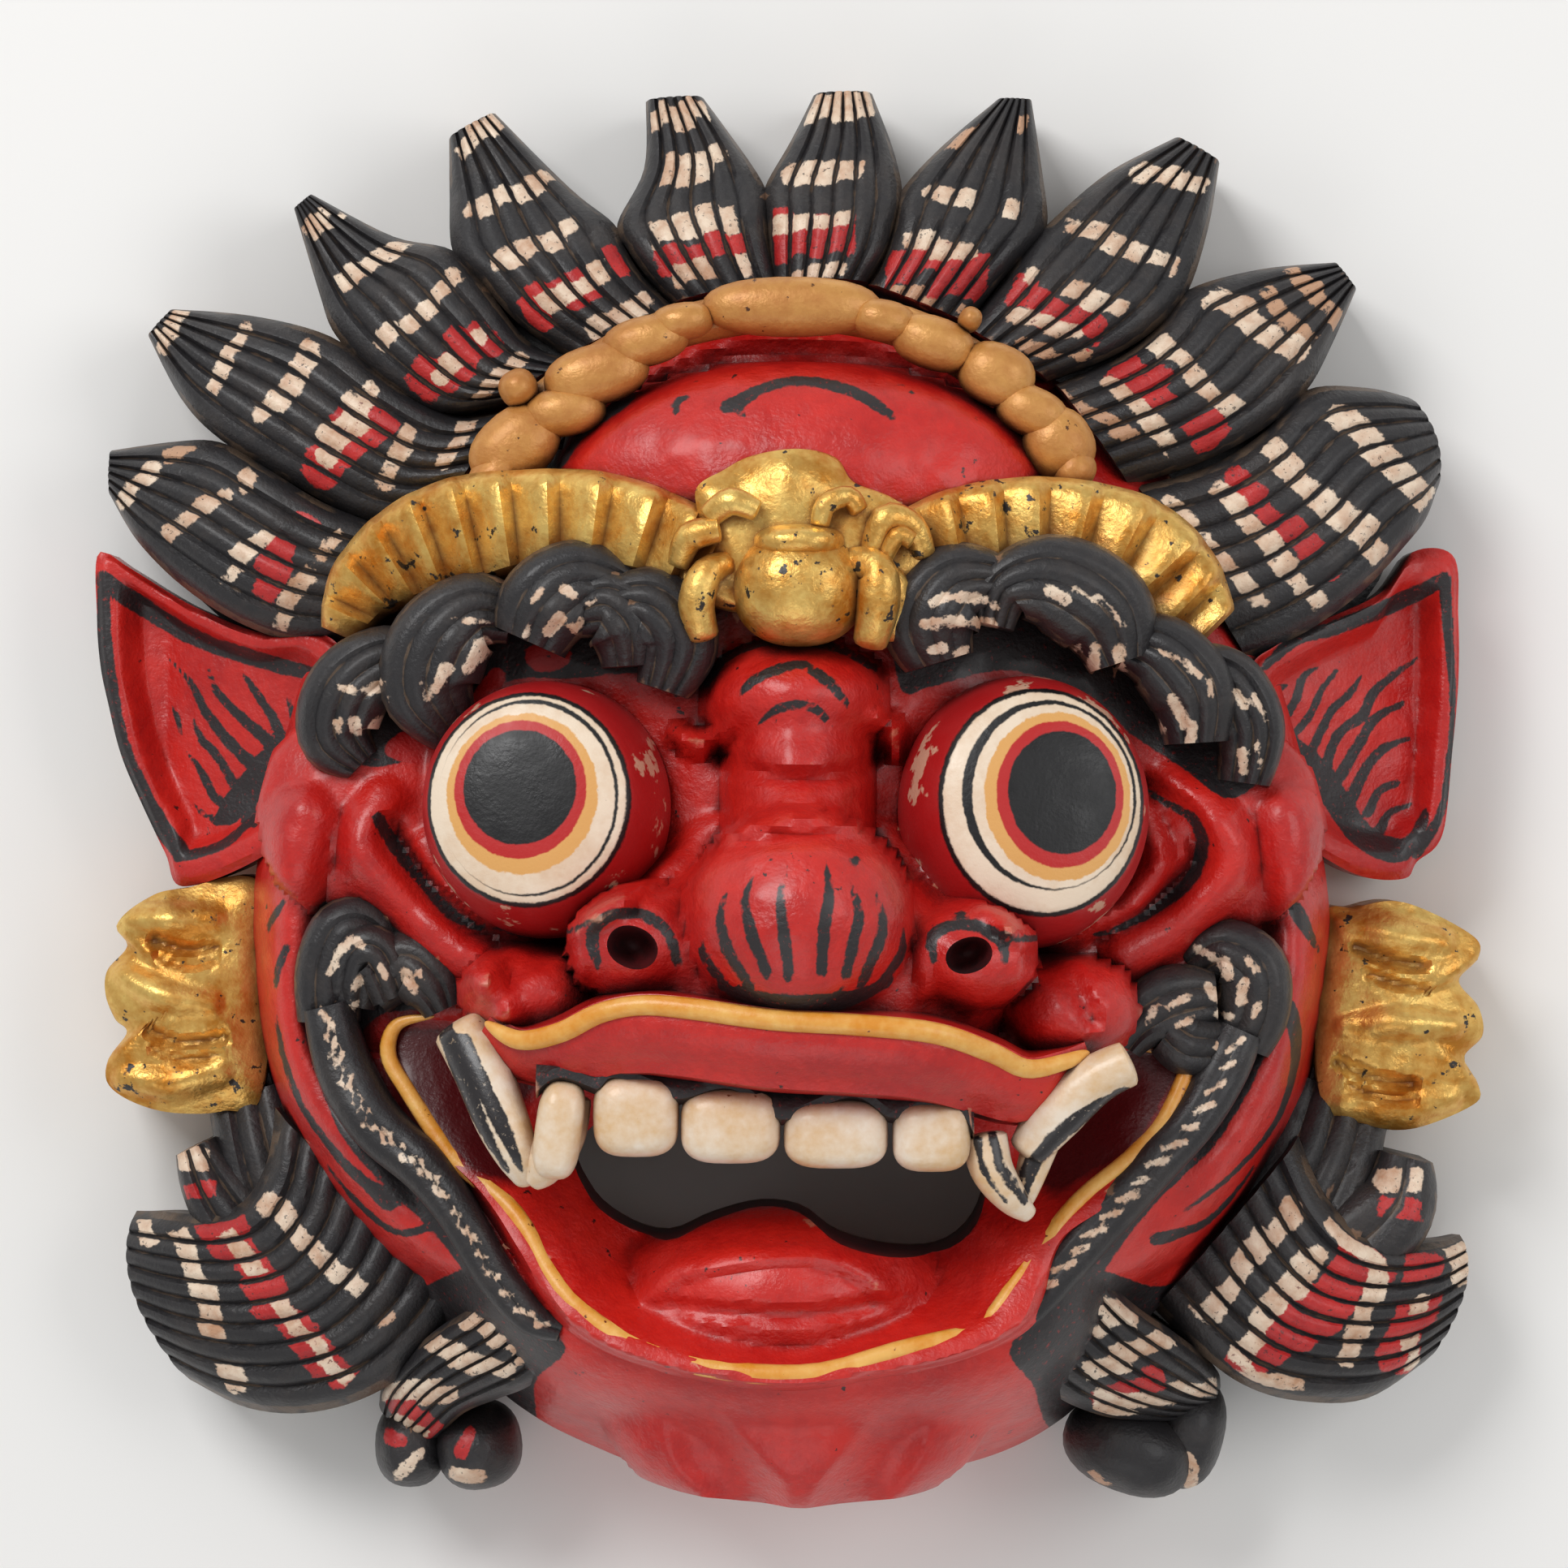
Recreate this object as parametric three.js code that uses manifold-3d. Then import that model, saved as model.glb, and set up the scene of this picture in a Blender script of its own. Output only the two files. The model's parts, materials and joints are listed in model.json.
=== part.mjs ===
// Carved wooden barong mask, lying on its flat back with the face up.
// Millimetres. +Z is out of the face, +Y is towards the crown, +X is to the viewer's right.

import * as THREE from 'three';
import { mergeVertices } from 'three/addons/utils/BufferGeometryUtils.js';
import Module from 'manifold-3d';

const wasm = await Module();
wasm.setup();

// ---------------------------------------------------------------- driving dimensions

const BACK = 0;              // the flat back plane that the mask lies on
const HEAD = { x: 0, y: -22, rx: 106, up: 119, down: 115, rim: 22, dome: 48 };
const WALL = 13;             // wood left between the face and the hollow
const HOLLOW = { rx: 86, up: 90, down: 92, height: 54 };
const CROWN_BOARD = { edge: 22, inner: 36 };
const FLUTE_DEPTH = 1.6;     // grooves between the strands of hair
const MOUTH_FLOOR = 57;      // inside of the mouth, above the back plane

// ---------------------------------------------------------------- small maths

const lerp = (a, b, t) => a + (b - a) * t;
const clamp01 = (v) => Math.min(1, Math.max(0, v));
const smoothstep = (v) => clamp01(v) ** 2 * (3 - 2 * clamp01(v));

/** Larger of two heights, rounded over a band of width k where they meet. */
function softMax(a, b, k) {
  const h = Math.max(k - Math.abs(a - b), 0);
  return Math.max(a, b) + (h * h) / (4 * k);
}

/** Catmull-Rom value, at t from 0 to 1, of a row of control tuples of equal length. */
function along(controls, t) {
  const span = controls.length - 1;
  const i = Math.min(Math.floor(t * span), span - 1);
  const u = t * span - i;
  const at = (j) => controls[Math.min(Math.max(j, 0), span)];
  return at(i).map((_, c) => {
    const [a, b, d, e] = [at(i - 1)[c], at(i)[c], at(i + 1)[c], at(i + 2)[c]];
    return 0.5 * (2 * b + (d - a) * u + (2 * a - 5 * b + 4 * d - e) * u * u + (3 * b - a - 3 * d + e) * u ** 3);
  });
}

/** Points evenly spaced round a closed smooth outline given by [x, y] corners. */
function closedOutline(corners, count) {
  const curve = new THREE.CatmullRomCurve3(corners.map(([x, y]) => new THREE.Vector3(x, y, 0)), true, 'centripetal');
  return curve.getSpacedPoints(count).slice(0, count);
}

// ---------------------------------------------------------------- solids

/** Manifold solid of a closed geometry, turned so that its faces point out. */
function toSolid(geometry) {
  geometry.deleteAttribute('normal');
  geometry.deleteAttribute('uv');
  const merged = mergeVertices(geometry, 1e-4);
  const position = merged.getAttribute('position').array;
  const index = Array.from(merged.index.array);
  let volume = 0;
  const corner = (k) => new THREE.Vector3().fromArray(position, 3 * index[k]);
  for (let k = 0; k < index.length; k += 3) {
    volume += corner(k).dot(corner(k + 1).cross(corner(k + 2)));
  }
  const triVerts = new Uint32Array(volume < 0 ? index.reverse() : index);
  return new wasm.Manifold(new wasm.Mesh({ numProp: 3, vertProperties: new Float32Array(position), triVerts }));
}

/** Closed geometry through a stack of rings of equally many points, with a fan over each end. */
function stackRings(rings) {
  const n = rings[0].length;
  const points = rings.flat();
  const index = [];
  for (let j = 0; j < rings.length - 1; j += 1) {
    for (let i = 0; i < n; i += 1) {
      const [a, b] = [j * n + i, j * n + ((i + 1) % n)];
      index.push(a, b, b + n, a, b + n, a + n);
    }
  }
  const cap = (ring, first, flip) => {
    const centre = ring.reduce((sum, p) => sum.add(p), new THREE.Vector3()).divideScalar(n);
    const hub = points.push(centre) - 1;
    for (let i = 0; i < n; i += 1) {
      const edge = [first + i, first + ((i + 1) % n)];
      index.push(hub, ...(flip ? edge : edge.reverse()));
    }
  };
  cap(rings[0], 0, false);
  cap(rings.at(-1), (rings.length - 1) * n, true);
  const geometry = new THREE.BufferGeometry().setFromPoints(points);
  geometry.setIndex(index);
  return geometry;
}

/** Ring stations of a sweep: place, sideways direction and width at each step along the controls. */
function stations(controls, steps) {
  return Array.from({ length: steps + 1 }, (_, j) => {
    const t = j / steps;
    const [x, y, z, half] = along(controls, t);
    const ahead = along(controls, Math.min(t + 0.02, 1));
    const behind = along(controls, Math.max(t - 0.02, 0));
    const tangent = new THREE.Vector2(ahead[0] - behind[0], ahead[1] - behind[1]).normalize();
    return { t, x, y, z, half, side: new THREE.Vector2(-tangent.y, tangent.x) };
  });
}

const sideways = (s, across, z) => new THREE.Vector3(s.x + s.side.x * across, s.y + s.side.y * across, z);

/**
 * Lock of hair: a rounded ridge cut into strands by V grooves, with a flat underside.
 * Controls are [x, y, crest height, half width]; the ends are cut blunt.
 */
function lock(controls, { strands = 3, steps = 4, crown = 9, groove = FLUTE_DEPTH, under = [BACK, BACK] }) {
  const rings = stations(controls, steps).map((s) => {
    const rise = Math.min(crown, s.half * 0.8);
    const top = Array.from({ length: 2 * strands + 1 }, (_, k) => {
      const across = k / strands - 1;
      const round = Math.sqrt(1 - 0.92 * across * across);
      return sideways(s, across * s.half, s.z - rise * (1 - round) - (k % 2 ? 0 : groove));
    });
    const floor = lerp(under[0], under[1], s.t);
    return [...top, sideways(s, s.half * 0.92, floor), sideways(s, -s.half * 0.92, floor)];
  });
  return toSolid(stackRings(rings));
}

/** Round bar along [x, y, z, radius] controls; depth stretches it in height. */
function bar(controls, { steps = 6, sides = 6, depth = 1 }) {
  const rings = stations(controls, steps).map((s) =>
    Array.from({ length: sides }, (_, k) => {
      const a = (2 * Math.PI * (k + 0.5)) / sides;
      return sideways(s, s.half * Math.cos(a), s.z + s.half * depth * Math.sin(a));
    }));
  return toSolid(stackRings(rings));
}

/** Shares of the way out, from near the centre to the edge, for the rings of a relief. */
const shares = (count, ease = 1) => Array.from({ length: count }, (_, j) => ((j + 1) / count) ** ease);

/** Plate with a carved top: outline corners, a centre, and the height at (x, y, share of the way out). */
function relief(corners, [cx, cy], { around, rings, height, base = BACK }) {
  const edge = closedOutline(corners, around);
  const layers = rings.map((share) => edge.map((p) => {
    const [x, y] = [lerp(cx, p.x, share), lerp(cy, p.y, share)];
    return new THREE.Vector3(x, y, height(x, y, share));
  }));
  layers.push(edge.map((p) => new THREE.Vector3(p.x, p.y, base)));
  const geometry = stackRings(layers);
  const position = geometry.getAttribute('position');
  const topHub = position.count - 2;
  position.setXYZ(topHub, cx, cy, height(cx, cy, 0));
  return toSolid(geometry);
}

/** Ball squashed to three radii, turned about Z. */
function ball([x, y, z], [rx, ry, rz], { wide = 12, tall = 8, turn = 0 } = {}) {
  const geometry = new THREE.SphereGeometry(1, wide, tall);
  geometry.rotateX(Math.PI / 2);
  geometry.scale(rx, ry, rz);
  geometry.rotateZ(turn);
  geometry.translate(x, y, z);
  return toSolid(geometry);
}

const joined = (solids) => solids.reduce((sum, solid) => sum.add(solid));

// ---------------------------------------------------------------- face

// Rounded bosses of the face: centre, radii, the height they rise from and how much they rise.
const BOSSES = {
  forehead: { x: 2, y: 59, rx: 47, ry: 23, from: 54, rise: 25, blend: 3 },
  browBoss: { x: 1, y: 17, rx: 18, ry: 12, from: 64, rise: 25, blend: 3 },
  bridge: { x: 1.5, y: -1, rx: 16, ry: 27, from: 62, rise: 29, blend: 4 },
  muzzle: { x: 1.5, y: -33, rx: 45, ry: 27, from: 56, rise: 44, blend: 6 },
  noseTip: { x: 1.5, y: -23, rx: 21, ry: 20, from: 92, rise: 24, blend: 4 },
  wingLeft: { x: -29, y: -28, rx: 12.5, ry: 11.5, from: 84, rise: 20, blend: 3 },
  wingRight: { x: 33, y: -30, rx: 11.5, ry: 10.5, from: 84, rise: 20, blend: 3 },
  snarlLeft: { x: -50, y: -38, rx: 12, ry: 9, from: 70, rise: 16, blend: 3 },
  snarlRight: { x: 53, y: -42, rx: 12, ry: 9, from: 70, rise: 16, blend: 3 },
  cheekboneLeft: { x: -78, y: -4, rx: 24, ry: 22, from: 50, rise: 12, blend: 5 },
  cheekboneRight: { x: 78, y: -6, rx: 24, ry: 22, from: 50, rise: 12, blend: 5 },
  chin: { x: 1, y: -116, rx: 38, ry: 24, from: 44, rise: 26, blend: 6 },
};

// Hollows pressed into the face: centre, radii and depth.
const DIPS = {
  socketLeft: { x: -45, y: -3, rx: 31, ry: 29, depth: 8 },
  socketRight: { x: 43, y: -4, rx: 31, ry: 29, depth: 8 },
};

// Nostrils: centre and radii of the pits cut into the wings of the nose.
const NOSTRILS = [
  { at: [-28, -28.5, 104], radii: [7, 6, 14] },
  { at: [33, -30.5, 104], radii: [6.5, 5.5, 14] },
];

const MOUTH = [[-75, -46], [-62, -42], [-48, -48], [-30, -50], [0, -52], [35, -53], [52, -50], [66, -48], [74, -52],
  [69, -64], [59, -75], [48, -84], [42, -94], [30, -100], [0, -104], [-31, -98], [-44, -90], [-55, -76], [-66, -64], [-73, -53]];
const MOUTH_EDGE = closedOutline(MOUTH, 96);

// The way through the mouth, seen from the front.
const MOUTH_HOLE = [[-40, -66], [-38, -76], [-31, -82], [-23, -84], [-15, -80.5], [-6, -78], [2, -79], [9, -84],
  [20, -87], [30, -86], [36, -79], [36, -68], [24, -58], [-22, -57]];

/** Distance into the mouth from its lips: positive inside. */
function mouthDepth(x, y) {
  let inside = false;
  let nearest = Infinity;
  MOUTH_EDGE.forEach((a, i) => {
    const b = MOUTH_EDGE[(i + 1) % MOUTH_EDGE.length];
    if (a.y > y !== b.y > y && x < ((b.x - a.x) * (y - a.y)) / (b.y - a.y) + a.x) inside = !inside;
    nearest = Math.min(nearest, Math.hypot(a.x - x, a.y - y));
  });
  return inside ? nearest : -nearest;
}

// Lower lip: its crest climbs from the corners of the mouth to the middle of the jaw.
const LIP = { corner: -50, cornerHeight: 59, climb: 0.43 };
const lipCrest = (y) => LIP.cornerHeight + LIP.climb * Math.max(0, LIP.corner - y);

/** Height of the carved face above the back plane. */
function faceHeight(x, y) {
  const out = Math.hypot((x - HEAD.x) / HEAD.rx, (y - HEAD.y) / (y > HEAD.y ? HEAD.up : HEAD.down));
  let z = HEAD.rim + HEAD.dome * (1 - clamp01(out) ** 2.6) ** 0.6;
  for (const b of Object.values(BOSSES)) z = bossed(z, b, x, y);
  for (const d of Object.values(DIPS)) {
    const u = Math.hypot((x - d.x) / d.rx, (y - d.y) / d.ry);
    z -= d.depth * (1 - clamp01(u) ** 2) ** 2;
  }
  const deep = mouthDepth(x, y);
  if (deep > 0) return lerp(z, MOUTH_FLOOR - 14, smoothstep(deep / 8));
  return y < LIP.corner ? softMax(z, lipCrest(y) - 5 - (deep * deep) / 14, 4) : z;
}

function bossed(z, b, x, y) {
  const u = Math.hypot((x - b.x) / b.rx, (y - b.y) / b.ry);
  return u < 1 ? softMax(z, b.from + b.rise * Math.sqrt(1 - u * u), b.blend) : z;
}

const HEAD_OUTLINE = [[0, 95], [38, 90], [66, 76], [84, 55], [94, 22], [102, -8], [105, -38], [101, -60], [88, -82],
  [72, -98], [60, -113], [53, -122], [38, -130], [14, -134.5], [-6, -134.5], [-27, -131], [-42, -125], [-51, -120],
  [-60, -112], [-72, -97], [-88, -81], [-101, -60], [-105, -38], [-102, -8], [-94, 22], [-84, 55], [-66, 76], [-38, 90]];

function head() {
  return relief(HEAD_OUTLINE, [1.5, -24], { around: 42, rings: shares(9, 1.1), height: faceHeight });
}

/** Room for the wearer's face, open at the back, with a deeper place for the nose. */
function hollow() {
  const roof = (x, y) => {
    const out = Math.hypot(x / HOLLOW.rx, (y - HEAD.y) / (y > HEAD.y ? HOLLOW.up : HOLLOW.down));
    const dome = HOLLOW.height * (1 - clamp01(out) ** 2.4) ** 0.55;
    const u = Math.hypot((x - 1.5) / 20, (y + 20) / 26);
    return u < 1 ? softMax(dome, 40 + (BOSSES.noseTip.from - WALL - 40) * Math.sqrt(1 - u * u), 6) : dome;
  };
  const edge = Array.from({ length: 28 }, (_, i) => {
    const a = (2 * Math.PI * i) / 28;
    return [HOLLOW.rx * Math.cos(a), HEAD.y + (Math.sin(a) > 0 ? HOLLOW.up : HOLLOW.down) * Math.sin(a)];
  });
  const below = BACK - 5;
  return relief(edge, [1.5, -20], { around: 20, rings: shares(3), height: (x, y, share) => (share === 1 ? 0 : roof(x, y)), base: below });
}

function mouthHole() {
  const shape = new THREE.Shape(closedOutline(MOUTH_HOLE, 24).map((p) => new THREE.Vector2(p.x, p.y)));
  const geometry = new THREE.ExtrudeGeometry(shape, { depth: 130, bevelEnabled: false });
  geometry.translate(0, 0, -5);
  return toSolid(geometry);
}

/** Eyeball with a flattened painted front, leaning outwards and up. */
function eye(x, y, lean) {
  const profile = [[0, 27], [12, 26], [18.6, 23.6], [21.6, 17], [23, 4], [0, 4]];
  const geometry = new THREE.LatheGeometry(profile.map(([r, h]) => new THREE.Vector2(r, h)), 16);
  geometry.rotateX(Math.PI / 2);
  geometry.rotateX(THREE.MathUtils.degToRad(-6));
  geometry.rotateY(THREE.MathUtils.degToRad(lean));
  geometry.translate(x, y, 62);
  return toSolid(geometry);
}

// Heavy folds of the lids and the bags under the eyes.
const FOLDS = [
  [[-80, 2, 62, 4], [-83, -9, 63, 4.6], [-72, -21, 67, 4.6], [-60, -30, 74, 4.5], [-53, -37, 80, 3.6]],
  [[65, 5, 63, 4], [78, -5, 63, 4.2], [80, -13, 63, 4.2], [69, -23, 67, 4.4], [55, -31, 76, 4]],
];

// Broad red ridges that run from the temples round the cheeks to the chin.
const CHEEKS = [
  [[-88, -14, 44, 8], [-96, -31, 45, 8.5], [-96.5, -50, 46, 9], [-90, -65, 49, 9], [-77, -79, 52, 8.5], [-61, -90, 54, 5]],
  [[88, -14, 44, 8], [96, -31, 45, 8.5], [96, -50, 46, 9], [89, -65, 49, 9], [76, -79, 52, 8.5], [61, -90, 54, 5]],
];

// ---------------------------------------------------------------- lips and teeth

// Line of the upper lip from left to right: x, y and height.
const LIP_TOP = [[-54, -41, 84], [-48, -46.5, 88], [-40, -44.5, 94], [-31, -40.5, 98], [-21, -39.5, 101],
  [-6, -41, 103], [13, -43, 103], [30, -45, 100], [41, -48, 95], [48, -50, 90], [57, -48, 84]];

const JAW_OUTLINE = [[-78, -43], [-63, -39], [-48, -46], [-30, -50], [0, -52], [35, -53], [50, -48], [66, -45], [78, -49],
  [73, -66], [63, -77], [53, -84], [48, -95], [43, -101], [31, -106], [15, -109], [0, -111], [-18, -109], [-35, -104],
  [-46, -96], [-53, -86], [-61, -75], [-71, -65], [-77, -53]];
const TONGUE = { x: -2, y: -94, rx: 31, ry: 17, from: 56, rise: 25, blend: 4 };

/** Inside of the jaw: the lip all round, the slope down to the floor of the mouth, and the tongue. */
function jaw() {
  const height = (x, y, share) => {
    const floor = MOUTH_FLOOR - 8 * smoothstep((Math.abs(x) - 38) / 20);
    const slope = lerp(floor, lipCrest(y), smoothstep((share - 0.5) / 0.4));
    return bossed(slope, TONGUE, x, y) - 7 * smoothstep((share - 0.94) / 0.06);
  };
  return relief(JAW_OUTLINE, [0, -74], { around: 34, rings: [0.35, 0.6, 0.8, 0.92, 1], base: 40, height });
}

/** Upper lip: a raised line above, and below it the fleshy part down to the gum. */
function upperLip() {
  const rings = stations(LIP_TOP, 12).map((s) => {
    const lower = 5 + 6 * smoothstep(1 - Math.abs(2 * s.t - 1) ** 2);
    return [
      sideways(s, 3.8, s.z - 7), sideways(s, 2.4, s.z + 1), sideways(s, -2.4, s.z + 1), sideways(s, -3.6, s.z - 2),
      sideways(s, -lower, s.z - 5), sideways(s, -lower - 1.5, s.z - 13), sideways(s, 0, s.z - 24),
    ];
  });
  return toSolid(stackRings(rings));
}

// Front teeth from left to right, under one gum line: edges between the teeth, and the tooth height.
const FRONT_TEETH = { edges: [-37, -20.5, -2, 18.5, 34], gumLeft: -52, gumRight: -56.5, tall: 15, z: 88 };

const TUSKS = [
  [[-40.5, -52, 84, 4.6], [-42, -61, 86, 4.4], [-45.5, -70, 85, 1.8]],
  [[-62.5, -43, 78, 3.8], [-55.5, -56, 84, 4.2], [-48.5, -71, 85, 1.8]],
  [[35, -56, 84, 4.6], [38.5, -67.5, 86, 4.4], [43.5, -78.5, 83, 1.8]],
  [[64, -50, 88, 3.2], [53, -56, 86, 3.8], [41, -64, 82, 3.6]],
];

function teeth() {
  const { edges, gumLeft, gumRight, tall, z } = FRONT_TEETH;
  const section = (x, share) => {
    const gum = lerp(gumLeft, gumRight, (x - edges[0]) / (edges.at(-1) - edges[0]));
    return [[gum + 4, z - 8], [gum, z + 2 * share], [gum - tall * 0.6, z + 5 * share], [gum - tall * (0.78 + 0.22 * share), z - 1],
      [gum - tall * 0.6, z - 8]].map(([y, height]) => new THREE.Vector3(x, y, height));
  };
  const rings = edges.slice(1).flatMap((right, i) => [
    section(edges[i], 0), section(lerp(edges[i], right, 0.3), 1), section(lerp(edges[i], right, 0.7), 1)]);
  rings.push(section(edges.at(-1), 0));
  return [toSolid(stackRings(rings)), ...TUSKS.map((c) => bar(c, { steps: 3, sides: 4 }))];
}

// ---------------------------------------------------------------- crown and hair

// Flame locks of the crown, clockwise from the lower left: root, belly and tip of each.
const FLAMES = [
  [[-80, 30, 40, 11], [-104, 49, 38, 14], [-133.5, 62, 20, 5.5]],
  [[-68, 53, 42, 11], [-97, 75, 40, 14], [-124, 92, 20, 4.2]],
  [[-52, 69, 44, 11], [-75, 93, 42, 13], [-94, 115, 22, 4]],
  [[-36, 81, 45, 11], [-49.5, 106, 42, 13.5], [-62.5, 130.5, 24, 5]],
  [[-17, 88, 46, 11], [-18.5, 112, 42, 13.5], [-22.5, 136, 26, 5.5]],
  [[4, 90, 46, 11], [7.5, 113, 42, 13.5], [10.5, 138, 26, 5.5]],
  [[25, 86, 45, 11], [34.5, 110, 42, 13.5], [45, 134.5, 25, 4.6]],
  [[45, 79, 44, 11], [62, 104, 42, 14], [80, 126, 24, 5]],
  [[61, 65, 42, 11.5], [86, 85.5, 40, 13.5], [109.5, 101, 22, 3.8]],
  [[70, 46, 40, 12], [100, 58, 38, 19.5], [127, 65, 22, 9.5]],
];

const CROWN_EDGE = [[-122, 47], [-107, 66], [-86, 85], [-63, 103], [-34, 109], [-6, 114], [21, 114], [50, 108], [76, 96],
  [98, 76], [117, 48], [96, 22], [60, 0], [-60, 0], [-96, 22]];

// Larger locks that fan out under the ears, and the small ones above them.
const SIDE_LOCKS = [
  { controls: [[-68, -82, 34, 12], [-90, -91, 38, 19], [-109, -96, 32, 23], [-130, -94, 18, 12]], strands: 5, steps: 5 },
  { controls: [[67, -85, 34, 11], [92, -91, 38, 19], [114, -96.5, 32, 22], [134, -95, 18, 12]], strands: 5, steps: 5 },
  { controls: [[-102, -92, 34, 8], [-113, -82, 34, 7], [-117, -70, 27, 5]], strands: 2 },
  { controls: [[106, -92, 34, 9], [116, -82, 34, 9], [121, -71, 28, 5.5]], strands: 2 },
  { controls: [[-98, -84, 36, 8], [-105, -70, 32, 8], [-106, -58, 26, 8]], strands: 2 },
  { controls: [[98, -84, 36, 9], [107, -71, 32, 10], [109, -58, 26, 9]], strands: 2 },
  { controls: [[-49, -94, 58, 8], [-63, -106, 50, 11], [-74, -120, 36, 9], [-72, -131, 22, 6.5]], strands: 3 },
  { controls: [[47, -94, 58, 8], [62, -107, 50, 12.5], [74.5, -120, 36, 12], [74, -131, 22, 8]], strands: 3 },
];

const BEARD_KNOBS = [
  { at: [-61, -124, 22], radii: [10, 11, 14] },
  { at: [63, -127, 22], radii: [12, 10, 13] },
];

// Moustache ropes that run from the curls beside the mouth down to the beard.
const ROPES = [
  [[-85, -47, 56, 6], [-79.5, -59, 58, 6.4], [-70.5, -68, 62, 5.6], [-60.5, -80, 66, 4.6], [-51, -93, 69, 4.2], [-43, -100, 69, 3]],
  [[81, -51, 56, 5.6], [75, -62, 58, 5.8], [66, -72, 62, 5.6], [56, -81, 66, 5.6], [48, -90, 69, 5.4], [42, -99, 69, 3.4]],
];

const MOUTH_CURLS = [
  [[-78, -48, 60, 5], [-86, -40, 62, 5.4], [-87, -31, 62, 5], [-81, -25, 62, 4], [-76, -30, 62, 3]],
  [[-80, -38, 64, 5], [-66, -34, 68, 3.8]],
  [[78, -54, 60, 5], [85.5, -44, 62, 5.6], [86, -34, 62, 5.2], [79, -29.5, 62, 3.8]],
  [[80, -38, 64, 6], [63, -44, 70, 3.6]],
];

// Curls of the eyebrows, outer left to outer right.
const BROW_CURLS = [
  [[-70, 26, 68, 6], [-81, 21, 70, 6.6], [-83, 6, 66, 4.4]],
  [[-52, 33, 74, 6], [-63, 28, 76, 7.4], [-65, 13, 72, 4.4]],
  [[-25, 37, 82, 6], [-41, 37, 82, 7.6], [-50, 23, 76, 4.6]],
  [[-33, 33, 84, 5.6], [-24.5, 29, 86, 7], [-21, 15, 82, 4.8]],
  [[37, 37, 84, 5], [29, 34, 88, 8], [27, 21, 82, 6.4]],
  [[42, 36, 82, 6.4], [56, 35, 82, 8], [62.5, 21, 76, 5.2]],
  [[63, 28, 74, 6], [73, 19, 76, 7.4], [76.5, 2, 70, 4.4]],
  [[77, 22, 68, 5], [85.5, 16, 69, 6.2], [86, 1, 63, 4]],
];

// ---------------------------------------------------------------- gilded headdress

const BANDS = [
  { controls: [[-86, 27, 58, 6], [-75, 41, 63, 9], [-61, 48.5, 67, 9.6], [-46, 50.5, 71, 9.6], [-30, 48, 76, 9.2], [-17, 43, 79, 7]], folds: 10 },
  { controls: [[24, 46, 79, 7], [36, 49, 75, 8.4], [48, 49.5, 71, 9.2], [62, 45.5, 67, 9.6], [72, 38, 63, 9.2], [81, 29, 58, 6]], folds: 9 },
];

/** Fan-folded band: its crest rises and falls from fold to fold, and its outer edge is scalloped. */
function foldedBand({ controls, folds }) {
  const rings = stations(controls, 2 * folds).map((s, j) => {
    const crest = j % 2 ? 3 : 0;
    const outward = s.side.y > 0 ? 1 : -1;
    const reach = s.half + (j % 2 ? 0.8 : -0.4);
    return [
      sideways(s, -outward * s.half, s.z - 4),
      sideways(s, -outward * s.half * 0.3, s.z - 1.5 + crest),
      sideways(s, outward * reach * 0.85, s.z - 3 + crest),
      sideways(s, outward * reach, s.z - 9 + crest),
      sideways(s, 0, 40),
    ];
  });
  return toSolid(stackRings(rings));
}

const LEAF_BORDER = { x: 0, y: 36, rx: 58, ry: 55, from: 24, to: 156, leaves: 9, z: 56, half: 6.4 };

/** Row of overlapping leaves round the top of the forehead, as one band pinched between the leaves. */
function leafBorder() {
  const { x, y, rx, ry, from, to, leaves, z, half } = LEAF_BORDER;
  const rings = Array.from({ length: 2 * leaves + 1 }, (_, i) => {
    const a = THREE.MathUtils.degToRad(lerp(from, to, i / (2 * leaves)));
    const swell = i % 2 ? 1 : 0.62;
    const at = (across, height) =>
      new THREE.Vector3(x + (rx + across * half) * Math.cos(a), y + (ry + across * half) * Math.sin(a), height);
    return [at(-swell, z - 7), at(-0.3 * swell, z - 2 + 2 * swell), at(0.45 * swell, z - 3 + 2 * swell), at(swell, z - 9), at(0, 38)];
  });
  return toSolid(stackRings(rings));
}

const JEWEL = { x: -0.5, y: 38, rx: 12.5, ry: 11.5 };

/** Centre ornament of the headdress: bud, side petals and the fan behind it. */
function jewel() {
  const fan = relief([[-18, 58], [-10, 63.5], [0, 65.5], [8, 63.5], [13, 58], [20, 56], [26, 49], [26, 42], [0, 36], [-24, 42], [-22, 52]],
    [0, 46], { around: 24, rings: shares(2), base: 50, height: (x, y, share) => 84 + 2.2 * Math.cos(9 * Math.atan2(x, y - 34)) * share - 4 * share ** 2 });
  const bud = ball([JEWEL.x, JEWEL.y, 80], [JEWEL.rx, JEWEL.ry, 12], { wide: 10, tall: 5 });
  const petals = [
    [[-13, 44, 84, 3], [-17.5, 37, 84, 3.6], [-15, 29, 82, 3], [-9, 27, 82, 2.4]],
    [[11, 45, 84, 4], [16, 36, 86, 4.6], [16, 25, 83, 3.4]],
  ].map((c) => bar(c, { steps: 3, sides: 4 }));
  return [fan, bud, ...petals];
}

// ---------------------------------------------------------------- ears and their ornaments

const EARS = [
  { corners: [[-134.5, 46], [-128, 46.5], [-117, 38], [-105, 32], [-84, 27], [-78, 8], [-92, -8], [-106, -17], [-117.5, -18], [-124.5, -4], [-130, 10], [-133.5, 28]], centre: [-108, 12] },
  { corners: [[129, 46], [121.5, 47], [111, 38], [98, 33], [84, 27], [78, 8], [92, -8], [108, -15], [118.5, -17], [125, -1], [129, 15], [130, 31]], centre: [106, 12] },
];

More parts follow.
